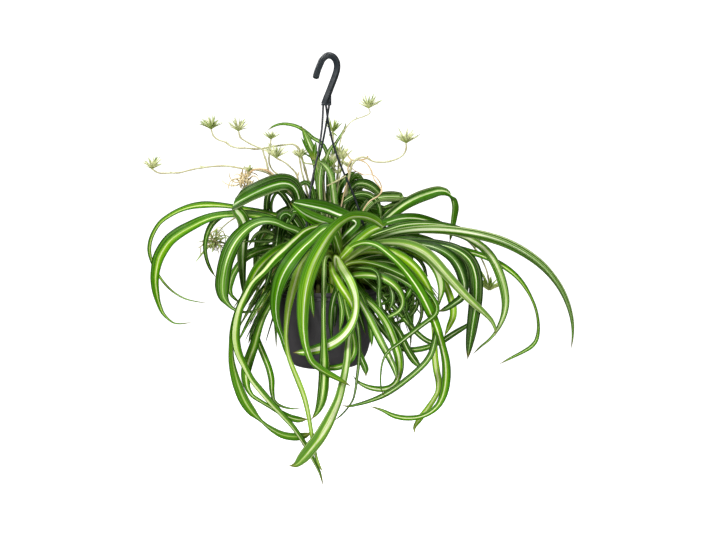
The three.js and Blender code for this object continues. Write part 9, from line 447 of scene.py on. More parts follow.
# ------------------------------------------------------------------ shader helpers
class Tree:
    def __init__(self, name):
        self.mat = bpy.data.materials.new(name)
        self.mat.use_nodes = True
        self.t = self.mat.node_tree
        self.t.nodes.clear()
        self.out = self.t.nodes.new("ShaderNodeOutputMaterial")
        self.b = self.t.nodes.new("ShaderNodeBsdfPrincipled")
        self.t.links.new(self.b.outputs[0], self.out.inputs[0])

    def put(self, sock, v):
        if hasattr(v, "is_linked") or hasattr(v, "links"):
            self.t.links.new(v, sock)
        else:
            sock.default_value = v

    def attr(self, name, out="Fac"):
        n = self.t.nodes.new("ShaderNodeAttribute")
        n.attribute_name = name
        return n.outputs[out]

    def math(self, op, a, b=0.0, c=None, clamp=False):
        n = self.t.nodes.new("ShaderNodeMath")
        n.operation = op
        n.use_clamp = clamp
        self.put(n.inputs[0], a)
        self.put(n.inputs[1], b)
        if c is not None:
            self.put(n.inputs[2], c)
        return n.outputs[0]

    def xyz(self, a, b, c):
        n = self.t.nodes.new("ShaderNodeCombineXYZ")
        for i, v in enumerate((a, b, c)):
            self.put(n.inputs[i], v)
        return n.outputs[0]

    def split(self, v):
        n = self.t.nodes.new("ShaderNodeSeparateXYZ")
        self.put(n.inputs[0], v)
        return n.outputs

    def noise(self, vec, scale=1.0, detail=2.0, rough=0.5):
        n = self.t.nodes.new("ShaderNodeTexNoise")
        self.put(n.inputs["Vector"], vec)
        n.inputs["Scale"].default_value = scale
        n.inputs["Detail"].default_value = detail
        n.inputs["Roughness"].default_value = rough
        return n.outputs[0]

    def voronoi(self, vec, scale):
        n = self.t.nodes.new("ShaderNodeTexVoronoi")
        self.put(n.inputs["Vector"], vec)
        n.inputs["Scale"].default_value = scale
        return n.outputs

    def ramp(self, v, a, b, lo=0.0, hi=1.0, smooth=True):
        n = self.t.nodes.new("ShaderNodeMapRange")
        n.interpolation_type = "SMOOTHSTEP" if smooth else "LINEAR"
        self.put(n.inputs[0], v)
        self.put(n.inputs[1], a)
        self.put(n.inputs[2], b)
        self.put(n.inputs[3], lo)
        self.put(n.inputs[4], hi)
        return n.outputs[0]

    def mix(self, f, a, b):
        n = self.t.nodes.new("ShaderNodeMix")
        n.data_type = "RGBA"
        self.put(n.inputs[0], f)
        self.put(n.inputs[6], a if not isinstance(a, tuple) else (*a, 1.0))
        self.put(n.inputs[7], b if not isinstance(b, tuple) else (*b, 1.0))
        return n.outputs[2]

    def bump(self, height, strength, distance, normal=None):
        n = self.t.nodes.new("ShaderNodeBump")
        n.inputs["Strength"].default_value = strength
        n.inputs["Distance"].default_value = distance
        self.put(n.inputs["Height"], height)
        if normal is not None:
            self.put(n.inputs["Normal"], normal)
        return n.outputs[0]

    def where(self):
        return self.t.nodes.new("ShaderNodeTexCoord").outputs["Object"]


def srgb(r, g, b):
    f = lambda c: ((c / 255 + 0.055) / 1.055) ** 2.4 if c > 10 else c / 255 / 12.92
    return (f(r), f(g), f(b))


def leaf_material():
    k = Tree("striped_leaf")
    lu, lm, lt, ls, under = k.attr("lu"), k.attr("lm"), k.attr("lt"), k.attr("ls"), k.attr("lk")
    ws, off, green = k.split(k.attr("look_a", "Vector"))
    cream, lines, rnd = k.split(k.attr("look_b", "Vector"))
    r37 = k.math("MULTIPLY", rnd, 37.0)
    broad = k.noise(k.xyz(k.math("MULTIPLY", lu, 1.5), k.math("MULTIPLY", lm, 9.0), r37), 1.0, 2.0)
    mid = k.noise(k.xyz(k.math("MULTIPLY", lu, 7.0), k.math("MULTIPLY", lm, 7.0), k.math("ADD", r37, 3.0)), 1.0, 2.0)
    fine = k.noise(k.xyz(k.math("MULTIPLY", lu, 26.0), k.math("MULTIPLY", lm, 9.0), k.math("ADD", r37, 9.0)), 1.0, 3.0, 0.6)
    vein = k.noise(k.xyz(k.math("MULTIPLY", lu, 13.0), k.math("MULTIPLY", lm, 2.2), k.math("ADD", r37, 17.0)), 1.0, 1.0)
    # how far outside the stripe
    body = k.ramp(lt, 0.0, 0.16, 1.25, 1.0)
    tip = k.ramp(lt, 0.82, 1.0, 1.0, 0.35)
    width = k.math("MULTIPLY", k.math("MULTIPLY", ws, body), tip)
    width = k.math("MULTIPLY", width, k.ramp(broad, 0.3, 0.7, 0.75, 1.25))
    d = k.math("ABSOLUTE", k.math("SUBTRACT", lu, off))
    d = k.math("SUBTRACT", d, width)
    d = k.math("ADD", d, k.math("MULTIPLY", k.math("SUBTRACT", mid, 0.5), 0.14))
    d = k.math("ADD", d, k.math("MULTIPLY", k.math("SUBTRACT", fine, 0.5), 0.12))
    fade = k.noise(k.xyz(k.math("MULTIPLY", lu, 0.6), k.math("MULTIPLY", lm, 16.0), k.math("ADD", r37, 29.0)), 1.0, 2.0)
    stripe = k.math("MULTIPLY", k.ramp(d, -0.05, 0.04, 1.0, 0.0), k.ramp(fade, 0.3, 0.62, 0.45, 1.0))
    glow = k.ramp(d, 0.0, 0.34, 1.0, 0.0)
    # thin lines: pale ones in the green, green ones in the stripe
    thin = k.math("MULTIPLY", k.ramp(vein, 0.58, 0.64), lines)
    thin_in = k.math("MULTIPLY", k.ramp(vein, 0.38, 0.44, 1.0, 0.0), 0.75)
    g = k.math("ADD", green, k.math("MULTIPLY", k.math("SUBTRACT", broad, 0.5), 0.7))
    g = k.math("ADD", g, k.math("MULTIPLY", k.math("SUBTRACT", fine, 0.5), 0.75))
    g = k.math("ADD", g, k.math("MULTIPLY", k.math("SUBTRACT", mid, 0.5), 0.5))
    g = k.math("ADD", k.math("SUBTRACT", g, 0.14), k.math("MULTIPLY", glow, 0.42))
    # the margins are darker
    g = k.math("SUBTRACT", g, k.ramp(k.math("ABSOLUTE", lu), 0.72, 1.0, 0.0, 0.5), clamp=True)
    dark, bright, lime = srgb(*DARK), srgb(*BRIGHT), srgb(*LIME)
    col = k.mix(k.ramp(g, 0.0, 0.62, smooth=False), dark, bright)
    col = k.mix(k.ramp(g, 0.62, 1.1, smooth=False), col, lime)
    pale = k.mix(cream, srgb(*CREAM_G), srgb(*CREAM_W))
    col = k.mix(thin, col, k.mix(0.5, pale, lime))
    pale_in = k.mix(thin_in, pale, lime)
    upper = k.mix(stripe, col, pale_in)
    # the underside is a little greyer and paler, with dark lines between the veins
    grey = k.mix(k.ramp(vein, 0.35, 0.6), srgb(*UNDER_D), srgb(*UNDER_P))
    low = k.mix(0.16, upper, grey)
    low = k.mix(k.math("MULTIPLY", under, 0.5), low, srgb(*UNDER_W))
    col = k.mix(ls, low, upper)
    # yellower towards the foot, a pale sheath at its end, a little tan at the tip
    near = k.math("MULTIPLY", k.ramp(lm, 0.035, 0.115, 0.55, 0.0), k.ramp(lt, 0.15, 0.5, 1.0, 0.0))
    col = k.mix(near, col, srgb(132, 152, 40))
    foot = k.math("MULTIPLY", k.ramp(lm, 0.0, 0.04, 0.7, 0.0), k.ramp(lt, 0.02, 0.2, 1.0, 0.0))
    col = k.mix(foot, col, srgb(176, 176, 104))
    col = k.mix(k.ramp(lt, 0.955, 1.0, 0.0, 0.85), col, srgb(112, 92, 46))
    k.put(k.b.inputs["Base Color"], col)
    rough = k.ramp(fine, 0.3, 0.7, 0.25, 0.40)
    k.put(k.b.inputs["Roughness"], k.math("ADD", rough, k.ramp(ls, 0.0, 1.0, 0.12, 0.0)))
    k.b.inputs["Specular IOR Level"].default_value = 0.08
    k.b.inputs["Coat Weight"].default_value = 0.01
    k.b.inputs["Coat Roughness"].default_value = 0.2
    groove = k.noise(k.xyz(k.math("MULTIPLY", lu, 18.0), k.math("MULTIPLY", lm, 2.0), r37), 1.0, 2.0)
    k.put(k.b.inputs["Normal"], k.bump(groove, 0.5, 0.0009, k.bump(fine, 0.15, 0.0003)))
    return k.mat


def stalk_material(name, c0, c1, c2, rough=0.55):
    k = Tree(name)
    lm = k.attr("lm")
    pos = k.where()
    n1 = k.noise(pos, 60.0, 3.0)
    n2 = k.noise(pos, 420.0, 2.0)
    lt = k.attr("lt")
    a = k.mix(k.ramp(lt, 0.05, 0.6), srgb(*c2), srgb(*c0))
    col = k.mix(k.ramp(n1, 0.4, 0.7), a, srgb(*c1))
    col = k.mix(k.ramp(n2, 0.45, 0.75, 0.0, 0.35), col, srgb(*c1))
    k.put(k.b.inputs["Base Color"], col)
    k.b.inputs["Roughness"].default_value = rough
    k.put(k.b.inputs["Normal"], k.bump(n2, 0.3, 0.0003))
    return k.mat


def plastic_material(name, c0, c1, rough, grain=900.0, strength=0.12):
    k = Tree(name)
    pos = k.where()
    n1 = k.noise(pos, 14.0, 3.0)
    n2 = k.noise(pos, grain, 2.0)
    n3 = k.noise(pos, 85.0, 4.0, 0.65)
    col = k.mix(k.ramp(n1, 0.3, 0.7), srgb(*c0), srgb(*c1))
    col = k.mix(k.ramp(n3, 0.60, 0.78, 0.0, 0.28), col, srgb(*[min(255, int(c * 1.5)) for c in c1]))
    k.put(k.b.inputs["Base Color"], col)
    k.put(k.b.inputs["Roughness"], k.ramp(n3, 0.3, 0.7, rough - 0.07, rough + 0.08))
    k.b.inputs["Specular IOR Level"].default_value = 0.45
    k.put(k.b.inputs["Normal"], k.bump(n2, strength, 0.0003))
    return k.mat


def soil_material():
    k = Tree("potting_mix")
    pos = k.where()
    n1 = k.noise(pos, 90.0, 5.0, 0.65)
    v = k.voronoi(pos, 260.0)
    n2 = k.noise(pos, 700.0, 3.0, 0.6)
    col = k.mix(k.ramp(n1, 0.35, 0.65), srgb(30, 21, 15), srgb(72, 52, 36))
    col = k.mix(k.ramp(n2, 0.62, 0.74), col, srgb(118, 92, 64))
    col = k.mix(k.ramp(k.noise(pos, 160.0, 1.0), 0.70, 0.74), col, srgb(205, 198, 184))
    k.put(k.b.inputs["Base Color"], col)
    k.b.inputs["Roughness"].default_value = 0.93
    k.b.inputs["Specular IOR Level"].default_value = 0.2
    k.put(k.b.inputs["Normal"], k.bump(n1, 0.9, 0.004, k.bump(v[0], 0.5, 0.0015)))
    return k.mat


# sRGB levels of the greens and creams
DARK, BRIGHT, LIME = (20, 50, 0), (68, 130, 0), (152, 194, 20)
CREAM_G, CREAM_W = (204, 218, 124), (253, 253, 232)
UNDER_D, UNDER_P, UNDER_W = (48, 98, 4), (118, 172, 36), (210, 226, 150)

LEAF = leaf_material()
STALK = stalk_material("flower_stalk", (202, 202, 158), (184, 176, 130), (164, 178, 106))
OLD_STALK = stalk_material("old_stalk", (230, 204, 162), (196, 162, 114), (204, 190, 142))
PLANTLET = stalk_material("plantlet_leaf", (224, 226, 180), (146, 168, 76), (204, 210, 146), 0.5)
SPROUT = stalk_material("sprout_leaf", (190, 206, 118), (126, 160, 56), (210, 216, 150), 0.42)
ROOT = stalk_material("dry_root", (244, 232, 194), (214, 188, 132), (232, 214, 168), 0.75)
POT = plastic_material("pot_plastic", (54, 52, 54), (68, 65, 68), 0.5)
SLATE = plastic_material("hanger_plastic", (16, 23, 28), (28, 37, 43), 0.36)
SOIL = soil_material()


def settle(ob, nodes=()):
    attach(ob, "root")
    if nodes:
        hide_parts(*nodes)
    return ob


# ------------------------------------------------------------------ leaves
count = 0
for name, (node, look, kinks, st) in LEAVES.items():
    st = np.array(st, dtype=float).reshape(-1, 7)
    b = Build()
    b.add(blade(st, LOOKS[look], seed=count, kinks=kinks, wave=0.035))
    ob = b.done(name, LEAF, 70)
    settle(ob, [node] if node else ())
    count += 1


# ------------------------------------------------------------------ leaf bases at the crown
def curve_stations(P0, az, reach, top, end, hw, n=9, spread=1.0, twist=0.0):
    """Stations of one leaf that leaves P0 at azimuth az, climbs to top and comes down to end, reach away."""
    d = np.array([math.cos(az), math.sin(az), 0.0])
    t = np.linspace(0, 1, n)
    out = reach * (0.06 * t + 0.94 * t**1.45)
    z0 = P0[2]
    up = (top - z0) * np.sin(np.minimum(t * 1.25, 1.0) * math.pi / 2)
    fall = (end - top) * np.clip((t - 0.42) / 0.58, 0, 1) ** 1.8
    P = P0 + out[:, None] * d + np.array([0, 0, 1.0]) * (up + fall)[:, None]
    T = unit(np.gradient(P, axis=0))
    side = np.array([-math.sin(az), math.cos(az), 0.0]) * spread
    S = unit(np.tile(side, (n, 1)) + twist * np.cross(T, side) * t[:, None])
    w = hw * np.interp(t, [0, 0.1, 0.35, 0.7, 0.9, 1], [0.75, 0.72, 1, 0.85, 0.55, 0.2])
    return np.c_[P, S, w]


CROWNS = [(14, -44, 14.5, 33, 51), (4, 8, 16, 31, 47), (2, 56, 15, 24, 38)]
rs = np.random.RandomState(SEED)
bases = Build()
n_base = 0
for cx, cy, rx, ry, rz in CROWNS:
    for i in range(30):
        a = i * 2.39996 + cx
        rr = math.sqrt((i + 0.5) / 30) * 0.86
        x, y = cx + rx * rr * math.cos(a), cy + ry * rr * math.sin(a)
        if math.hypot(x - AX, y) > 64:
            continue
        z = SOIL_Z - 4
        az = math.atan2((y - cy) * 0.7 + rs.normal(0, 6), (x - cx) + rs.normal(0, 5))
        hgt = rz * math.sqrt(max(0.1, 1 - rr * rr)) * rs.uniform(0.8, 1.12)
        st = curve_stations(np.array([x, y, z]), az, 6 + 9 * rr, z + hgt, z + hgt - 1, rs.uniform(5, 8.5), n=7)
        st[:, 6] = st[0, 6] * np.interp(np.linspace(0, 1, 7), [0, 0.5, 1], [1.1, 0.85, 0.1])
        bases.add(blade(st, LOOKS["base"], across=8, step=3.5, thick=1.3, fold=0.55, seed=500 + n_base))
        n_base += 1
settle(bases.done("crown_leaf_bases", LEAF, 70), ["crown"])

# thin young and old leaves in the thick of the plant, between and behind the long ones:
# azimuths (degrees), how many, reach from the crown, height of the arch, height of the tip
THICK = {
    "right": (-40, 50, 36, (60, 150), (-288, -245), (-405, -305)),
    "left": (150, 224, 30, (62, 132), (-288, -252), (-386, -312)),
    "back": (60, 130, 12, (75, 130), (-275, -225), (-420, -330)),
    "left_low": (182, 216, 16, (98, 140), (-294, -262), (-398, -338)),
    "front": (-98, -42, 10, (60, 82), (-302, -284), (-380, -338)),
}
rs = np.random.RandomState(SEED + 5)
for part, (a0, a1, many, reach, top, end) in THICK.items():
    b = Build()
    for i in range(many):
        az = math.radians(a0 + (a1 - a0) * (i + rs.uniform(0.1, 0.9)) / many)
        cx, cy, rx, ry, rz = CROWNS[1] if part != "back" else CROWNS[2]
        P0 = np.array([cx + 0.6 * rx * math.cos(az), cy + 0.6 * ry * math.sin(az), SOIL_Z + 6.0])
        r_ = rs.uniform(*reach)
        e = rs.uniform(*end)
        if r_ < 74:
            e = max(e, -330.0)
        st = curve_stations(P0, az, r_, rs.uniform(*top), e, rs.uniform(3.6, 6.2), n=12, twist=rs.uniform(-0.9, 0.9))
        st[:, 0] += rs.uniform(-9, 9) * np.sin(np.linspace(0, 3.0, 12) + rs.uniform(0, 3)) * np.linspace(0, 1, 12)
        b.add(blade(st, LOOKS[("thin", "dark", "mid", "under", "lime")[i % 5]], across=6, step=5.0, thick=0.6, fold=0.3, seed=700 + i, wave=0.03))
    settle(b.done("leaf_thicket_" + part, LEAF, 70))
# slim leaves that curl back under the arches at the right
b = Build()
curls = 0
for i in range(200):
    c = np.array([rs.uniform(36, 104), rs.uniform(-58, 14), rs.uniform(-352, -298)])
    rad, a0, sweep = rs.uniform(14, 32), math.radians(rs.uniform(95, 135)), math.radians(rs.uniform(150, 250))
    t = np.linspace(0, 1, 9)
    a = a0 - sweep * t
    R = np.c_[np.cos(a), np.zeros(9), np.sin(a)]
    arc = c + R * (rad * (1 + 0.3 * t))[:, None] + np.array([0, 1.0, 0]) * (rs.uniform(-14, 14) * t)[:, None]
    foot = np.array([rs.uniform(4, 14), rs.uniform(-20, 16), -314.0])
    lead = foot + (arc[0] - foot) * np.array([[0.0], [0.34], [0.68]]) + np.array([0, 0, 1.0]) * np.array([[0.0], [9.0], [8.0]])
    P = np.vstack([lead, arc])
    # clear of the pot's wall and the potting mix
    Q = np.vstack([P[:-1] + (P[1:] - P[:-1]) * f for f in (0, 0.25, 0.5, 0.75)] + [P[-1:]])
    rq = np.hypot(Q[:, 0] - AX, Q[:, 1])
    if np.any((Q[:, 2] < -311) & (rq > 62) & (rq < 82)) or np.any((Q[:, 2] < SOIL_Z + 4) & (rq < 70)) or curls == 24:
        continue
    curls += 1
    roll = math.radians(rs.uniform(35, 75))
    S = np.vstack([np.tile([0, math.cos(roll), math.sin(roll)], (3, 1)), math.cos(roll) * np.array([0, 1.0, 0]) + math.sin(roll) * R])
    S = unit(S)
    w = rs.uniform(2.2, 4.2) * np.interp(np.linspace(0, 1, 12), [0, 0.3, 0.7, 0.9, 1], [0.7, 1, 0.9, 0.6, 0.15])
    b.add(blade(np.c_[P, S, w], LOOKS[("dark", "thin", "mid", "dim")[curls % 4]], across=6, step=4.0, thick=0.6, fold=0.3, seed=780 + curls, wave=0.03))
settle(b.done("leaf_thicket_curls", LEAF, 70))


# ------------------------------------------------------------------ stalks, bracts and plantlets
def arc_leaf(P0, d, length, hw, droop=0.3, n=7, roll=0.0):
    """A small leaflet that leaves P0 along d and bends down, its face rolled about d."""
    d = unit(np.array(d, dtype=float))
    t = np.linspace(0, 1, n)
    P = P0 + d * (length * t)[:, None] + np.array([0, 0, -1.0]) * (droop * length * t**2)[:, None]
    s = np.cross(d, [0, 0, 1.0])
    if np.linalg.norm(s) < 0.2:
        s = np.array([1.0, 0, 0])
    s = unit(s)
    s = s * math.cos(roll) + np.cross(d, s) * math.sin(roll)
    S = np.tile(s, (n, 1))
    w = hw * np.interp(t, [0, 0.15, 0.45, 0.8, 1], [0.6, 0.8, 1, 0.6, 0.08])
    return np.c_[P, S, w]


def tuft(b, P0, length, count, habit, seed, look="tuft", wide=1.0):
    """A plantlet: fine leaflets that rise from a bud and arch outwards, with a few that hang back."""
    r = np.random.RandomState(seed)
    P0 = np.asarray(P0, dtype=float)
    for i in range(count):
        w = i * 2.399963 + 0.4 + r.uniform(-0.4, 0.4)
        f = (i + 0.5) / count
        if habit == 3:
            up, bend = 1.0 - 0.28 * f, r.uniform(0.0, 0.25)
        elif habit == 0:
            up = 0.99 - 0.4 * f if i % 6 else 0.5
            bend = r.uniform(0.05, 0.45)
        else:
            up, bend = 0.9 - 1.3 * f, r.uniform(0.5, 1.4)
        flat = math.sqrt(max(0.04, 1 - up * up))
        out = np.array([math.cos(w), 0.8 * math.sin(w), 0.0])
        d = out * flat * (0.85 if habit == 0 else 1.0) + np.array([0, 0, up])
        L = length * r.uniform(0.6, 1.15) * (1.22 if habit == 0 else 1.0)
        hw = r.uniform(0.85, 1.35) * wide
        st = arc_leaf(P0 + unit(d) * 0.4, d, L, hw, 0.0, 8, r.uniform(-1.2, 1.2))
        t = np.linspace(0, 1, 8)
        st[:, :3] += (out * 0.35 - np.array([0, 0, 0.75])) * (bend * L * t**2.2)[:, None]
        b.add(blade(st, LOOKS[look], across=4, step=2.2, thick=0.55, fold=0.5, seed=seed + i))
    for i in range(6):
        w = i * 1.05 + seed
        d = np.array([0.5 * math.cos(w), 0.5 * math.sin(w), 1.0 if habit == 0 else -0.4])
        b.add(blade(arc_leaf(P0, d, length * 0.42, 1.15 * wide, 0.0, 5, w), LOOKS["bud"], across=4, step=2.0, thick=0.9, fold=0.6, seed=seed + 40 + i))


def fibres(b, P0, n, length, r0, seed, spread=1.0, down=1.0):
    r = np.random.RandomState(seed)
    for i in range(n):
        w = r.uniform(0, 6.283)
        L = length * r.uniform(0.5, 1.1)
        t = np.linspace(0, 1, 7)
        d = np.array([math.cos(w) * spread, math.sin(w) * spread, r.uniform(-0.5, 0.6)])
        P = np.asarray(P0, float) + d * (L * 0.6 * t)[:, None] + np.array([0, 0, -1.0]) * (down * L * 0.7 * t**2)[:, None]
        P += np.c_[np.sin(t * 5 + w), np.cos(t * 4 + w), np.sin(t * 6 + 2 * w)] * (L * 0.06)
        b.add(tube(P, np.interp(t, [0, 1], [r0, r0 * 0.5]), sides=5, step=2.5, seed=seed + i))


def stalk_at(name, pts, f):
    P = np.array(pts, dtype=float).reshape(-1, 4)[:, :3]
    x = np.r_[0, np.cumsum(np.linalg.norm(np.diff(P, axis=0), axis=1))]
    q = np.array([np.interp(f * x[-1], x, P[:, c]) for c in range(3)])
    q2 = np.array([np.interp(min(1, f + 0.02) * x[-1], x, P[:, c]) for c in range(3)])
    return q, unit(q2 - q)


PLANTLETS = {  # end of stalk: leaflet length, count, habit, leaflet width
    "R1": (20, 32, 0, 1.15), "R2": (19, 32, 0, 1.15), "R3": (20, 32, 0, 1.15), "R4": (22, 32, 0, 1.15), "R4b": (15, 24, 0, 1.0), "R4c": (14, 22, 0, 1.0),
    "R5": (19, 32, 0, 1.1), "R6": (21, 34, 0, 1.15), "R8": (23, 20, 3, 1.35), "R9": (20, 22, 3, 1.25), "R13": (22, 14, 1, 2.0), "R14": (24, 16, 0, 1.9),
}
BRACTS = {  # place along the stalk, length
    "R1": ((0.62, 9), (0.80, 8), (0.92, 7)), "R2": ((0.45, 10), (0.72, 9), (0.90, 8)), "R3": ((0.50, 9), (0.78, 8)),
    "R4": ((0.55, 9), (0.85, 7)), "R4b": ((0.6, 7),), "R4c": ((0.55, 8), (0.8, 6)), "R5": ((0.55, 9), (0.8, 8), (0.9, 6)),
    "R6": ((0.5, 10), (0.68, 8), (0.85, 7)), "R8": ((0.6, 9), (0.85, 7)), "R9": ((0.6, 8),), "R13": ((0.4, 9), (0.7, 8)),
    "R14": ((0.5, 8), (0.8, 7)),
}
groups = {}
for name, (node, pts) in STALKS.items():
    groups.setdefault(node or name, []).append(name)
for gi, (node, names) in enumerate(groups.items()):
    st_b, gr_b, rt_b = Build(), Build(), Build()
    for q, name in enumerate(names):
        pts = np.array(STALKS[name][1], dtype=float).reshape(-1, 4)
        seed = 900 + 31 * gi + 7 * q
        dead = name in ("R7", "R11", "R12", "R15")
        st_b.add(tube(pts[:, :3], np.maximum(pts[:, 3], 1.05) * np.linspace(1.6, 1.05, len(pts)) * {"R5": 0.72, "R11": 0.6, "R13": 0.8}.get(name, 1.1 if dead else 1.0), sides=9, knots=0.28, seed=seed))
        for f, L in BRACTS.get(name, ()):
            p, d = stalk_at(name, pts, f)
            for q2 in range(4):
                w2 = q2 * 1.9 + seed + 9 * f
                lean = d * 0.7 + np.array([0.75 * math.cos(w2), 0.5 * math.sin(w2), 0.55 + 0.3 * math.cos(q2)])
                gr_b.add(blade(arc_leaf(p + d * 0.2, lean, L * (1.0 - 0.15 * q2), 1.15, 0.15, 7, w2), LOOKS["bract"], across=4, step=2.0, thick=0.6, fold=0.6, seed=seed + q2))
        end = pts[-1, :3]
        if name in PLANTLETS:
            L, n, habit, wide = PLANTLETS[name]
            look = {"R14": "young", "R13": "tuft", "R8": "young", "R9": "young"}.get(name, "tuft")
            tuft(gr_b, end, L, n, habit, seed, look, wide)
            if habit == 1:
                fibres(rt_b, end + np.array([4.0, -3.0, 0.0]), 10, 20, 0.8, seed, 0.8, 1.0)
                rr = np.random.RandomState(seed)
                for i in range(26):
                    w, q, turns = rr.uniform(0, 6.283), rr.uniform(5, 12), rr.uniform(2.0, 4.4)
                    t = np.linspace(0, 1, 15)
                    side = np.array([math.cos(w), 0.7 * math.sin(w), 0.25])
                    c0 = end + np.array([1.0, -4.0, 0.0]) + rr.uniform(-8, 8, 3) * np.array([1, 0.6, 1.5])
                    P = c0 + side * (q * (1 - np.cos(turns * t)) + 6 * t)[:, None] + np.array([0, 0, 1.0]) * (q * np.sin(turns * t) - 9 * t)[:, None]
                    if i % 3:
                        st = np.c_[P, np.tile(unit(np.cross(side, [0, 0, 1.0])), (15, 1)), 1.7 * np.interp(t, [0, 0.3, 1], [0.7, 1, 0.2])]
                        gr_b.add(blade(st, LOOKS["tuft"], across=4, step=2.2, thick=0.55, fold=0.4, seed=seed + 60 + i))
                    else:
                        rt_b.add(tube(P, np.interp(t, [0, 1], [1.0, 0.6]), sides=5, step=2.2, seed=seed + 60 + i))
        if name == "R7":
            rr = np.random.RandomState(seed)
            tuft(gr_b, end + np.array([3.0, 0, 8.0]), 13, 16, 3, seed, "tuft", 1.0)
            for i in range(38):
                w, L, turns = rr.uniform(0, 6.283), rr.uniform(15, 33), rr.uniform(1.6, 4.2) * rr.choice([-1, 1])
                t = np.linspace(0, 1, 15)
                side = np.array([math.cos(w), math.sin(w), 0.0])
                q = L * 0.34
                x, z = t * L * 0.55 + q * (1 - np.cos(turns * t)) * np.sign(turns), q * np.sin(abs(turns) * t) * (1 if i % 2 else -0.8)
                c0 = end + np.array([-1.0, 0, -2.0]) + rr.uniform(-8, 8, 3)
                rt_b.add(tube(c0 + side * x[:, None] * rr.choice([1, 0.6]) + np.array([0, 0, 1.0]) * z[:, None], np.interp(t, [0, 1], [1.2, 0.65]), sides=5, step=2.2, seed=seed + i))
            for i in range(9):
                w = i * 2.4
                rt_b.add(tube(arc_leaf(end, (math.cos(w), math.sin(w), 0.9), 13, 1)[:, :3], [0.8, 0.8, 0.7, 0.6, 0.5, 0.4, 0.25], sides=5, step=2.0, seed=i))
        if name == "R15":
            for f in (0.35, 0.5, 0.62, 0.75, 0.88, 0.97):
                p, d = stalk_at(name, pts, f)
                fibres(rt_b, p, 6, 14, 0.42, seed + int(f * 100), 0.9, 0.5)
    label = node if node else name
    mat = OLD_STALK if names[0] in ("R7", "R11", "R12", "R15") else STALK
    main = settle(st_b.done(label + "_stalk", mat, 60), [node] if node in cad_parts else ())
    if gr_b.n:
        settle(gr_b.done(label + "_green", SPROUT if names[0] in ("R8", "R9", "R13", "R14") else PLANTLET, 70))
    if rt_b.n:
        settle(rt_b.done(label + "_roots", ROOT, 60))


# ------------------------------------------------------------------ small sprouts and dry stalks between the arms
TWIGS = {
    "sprout_twigs": (0, [
        [(-40.0, 4.0, -135.9), (-33.1, 5.0, -144.4), (-24.7, 6.0, -145.8), (-14.9, 8.0, -148.8), (-9.4, 9.0, -168.5), (-3.8, 6.0, -203.6), (1, 2, -255)],
        [(7.5, 10.0, -146.1), (4.7, 10.0, -161.6), (3.2, 8.0, -182.6), (1.8, 4.0, -217.6), (3, 2, -260)],
        [(20.2, 12.0, -140.6), (17.3, 12.0, -154.7), (13.1, 10.0, -175.7), (7.4, 5.0, -217.7), (6, 2, -260)],
        [(-20.3, 2.0, -137.2), (-17.0, 5.0, -146.0), (-13.5, 8.0, -160.0), (-8.4, 8.0, -190.0), (-4, 4, -250)],
        [(-1.8, -18.0, -174.8), (9.3, -18.0, -169.3), (24.6, -18.0, -160.9)],
    ]),
    "dry_twigs": (1, [
        [(24.4, 10.0, -130.6), (32.9, 8.0, -140.3), (42.7, 5.0, -140.2), (52.5, 0.0, -144.0), (59.5, -5.0, -153.5), (63.6, -12.0, -165.6), (70.5, -20.0, -174.7), (74.5, -28.0, -181.0), (68.9, -34.0, -187.4), (57.8, -38.0, -193.9), (50.9, -42.0, -201.9), (46.8, -44.0, -211.3)],
        [(32.9, 8.0, -140.3), (27.2, 8.0, -151.6), (28.6, 6.0, -164.1), (24.4, 2.0, -176.5), (16, 2, -215), (10, 0, -258)],
        [(42.7, 5.0, -140.2), (53.9, 4.0, -137.3), (55.3, 3.0, -134.4)],
        [(-41.2, -5.0, -156.3), (-44.0, -6.0, -167.4), (-39.8, -8.0, -181.2), (-32.8, -10.0, -195.1), (-20, -10, -240)],
    ]),
}
for label, (kind, lines_) in TWIGS.items():
    b = Build()
    for i, P in enumerate(lines_):
        b.add(tube(P, np.linspace(1.1, 0.85, len(P)) if kind else np.linspace(0.9, 1.2, len(P)), sides=8, knots=0.3, seed=60 + i))
    settle(b.done(label, OLD_STALK if kind else STALK, 60))
b = Build()
for i, (P0, L, n_, habit, wide) in enumerate([
    ((-40.0, 4.0, -135.9), 13, 16, 0, 1.2), ((7.5, 10.0, -146.1), 19, 18, 3, 1.2), ((20.2, 12.0, -140.6), 24, 22, 3, 1.2),
    ((27.0, 12.0, -150.0), 13, 12, 0, 1.3), ((13.0, 12.0, -160.0), 12, 10, 0, 1.3),
]):
    tuft(b, P0, L, n_, habit, 1300 + 50 * i, "tuft", wide)
settle(b.done("sprouts_pale", PLANTLET, 70))
b = Build()
for i, (d, L, hw) in enumerate([((-0.5, -0.1, 1.0), 42, 5.0), ((-0.25, 0.2, 1.0), 36, 3.8), ((0.1, -0.1, 1.0), 30, 3.4), ((-0.9, 0.1, 0.7), 24, 2.4), ((0.5, 0.2, 0.9), 22, 2.2)]):
    st = arc_leaf(np.array([-20.3, 2.0, -139.0]), d, L, hw, 0.12, 9, -0.5 + 0.35 * i)
    b.add(blade(st, LOOKS["mid" if i < 3 else "bright"], across=8, step=2.5, thick=0.8, fold=0.35, seed=1600 + i))
for i in range(9):
    w = i * 2.4
    b.add(blade(arc_leaf(np.array([-1.8, 0.0, -150.0]) + 4 * np.array([math.cos(w), 0.5 * math.sin(w), 0]), (0.5 * math.cos(w), 0.3 * math.sin(w), 1.0), 15 + 4 * math.sin(i), 1.6, 0.2, 7, w), LOOKS["young"], across=6, step=2.4, thick=0.7, fold=0.4, seed=1650 + i))
settle(b.done("sprouts_green", LEAF, 70))


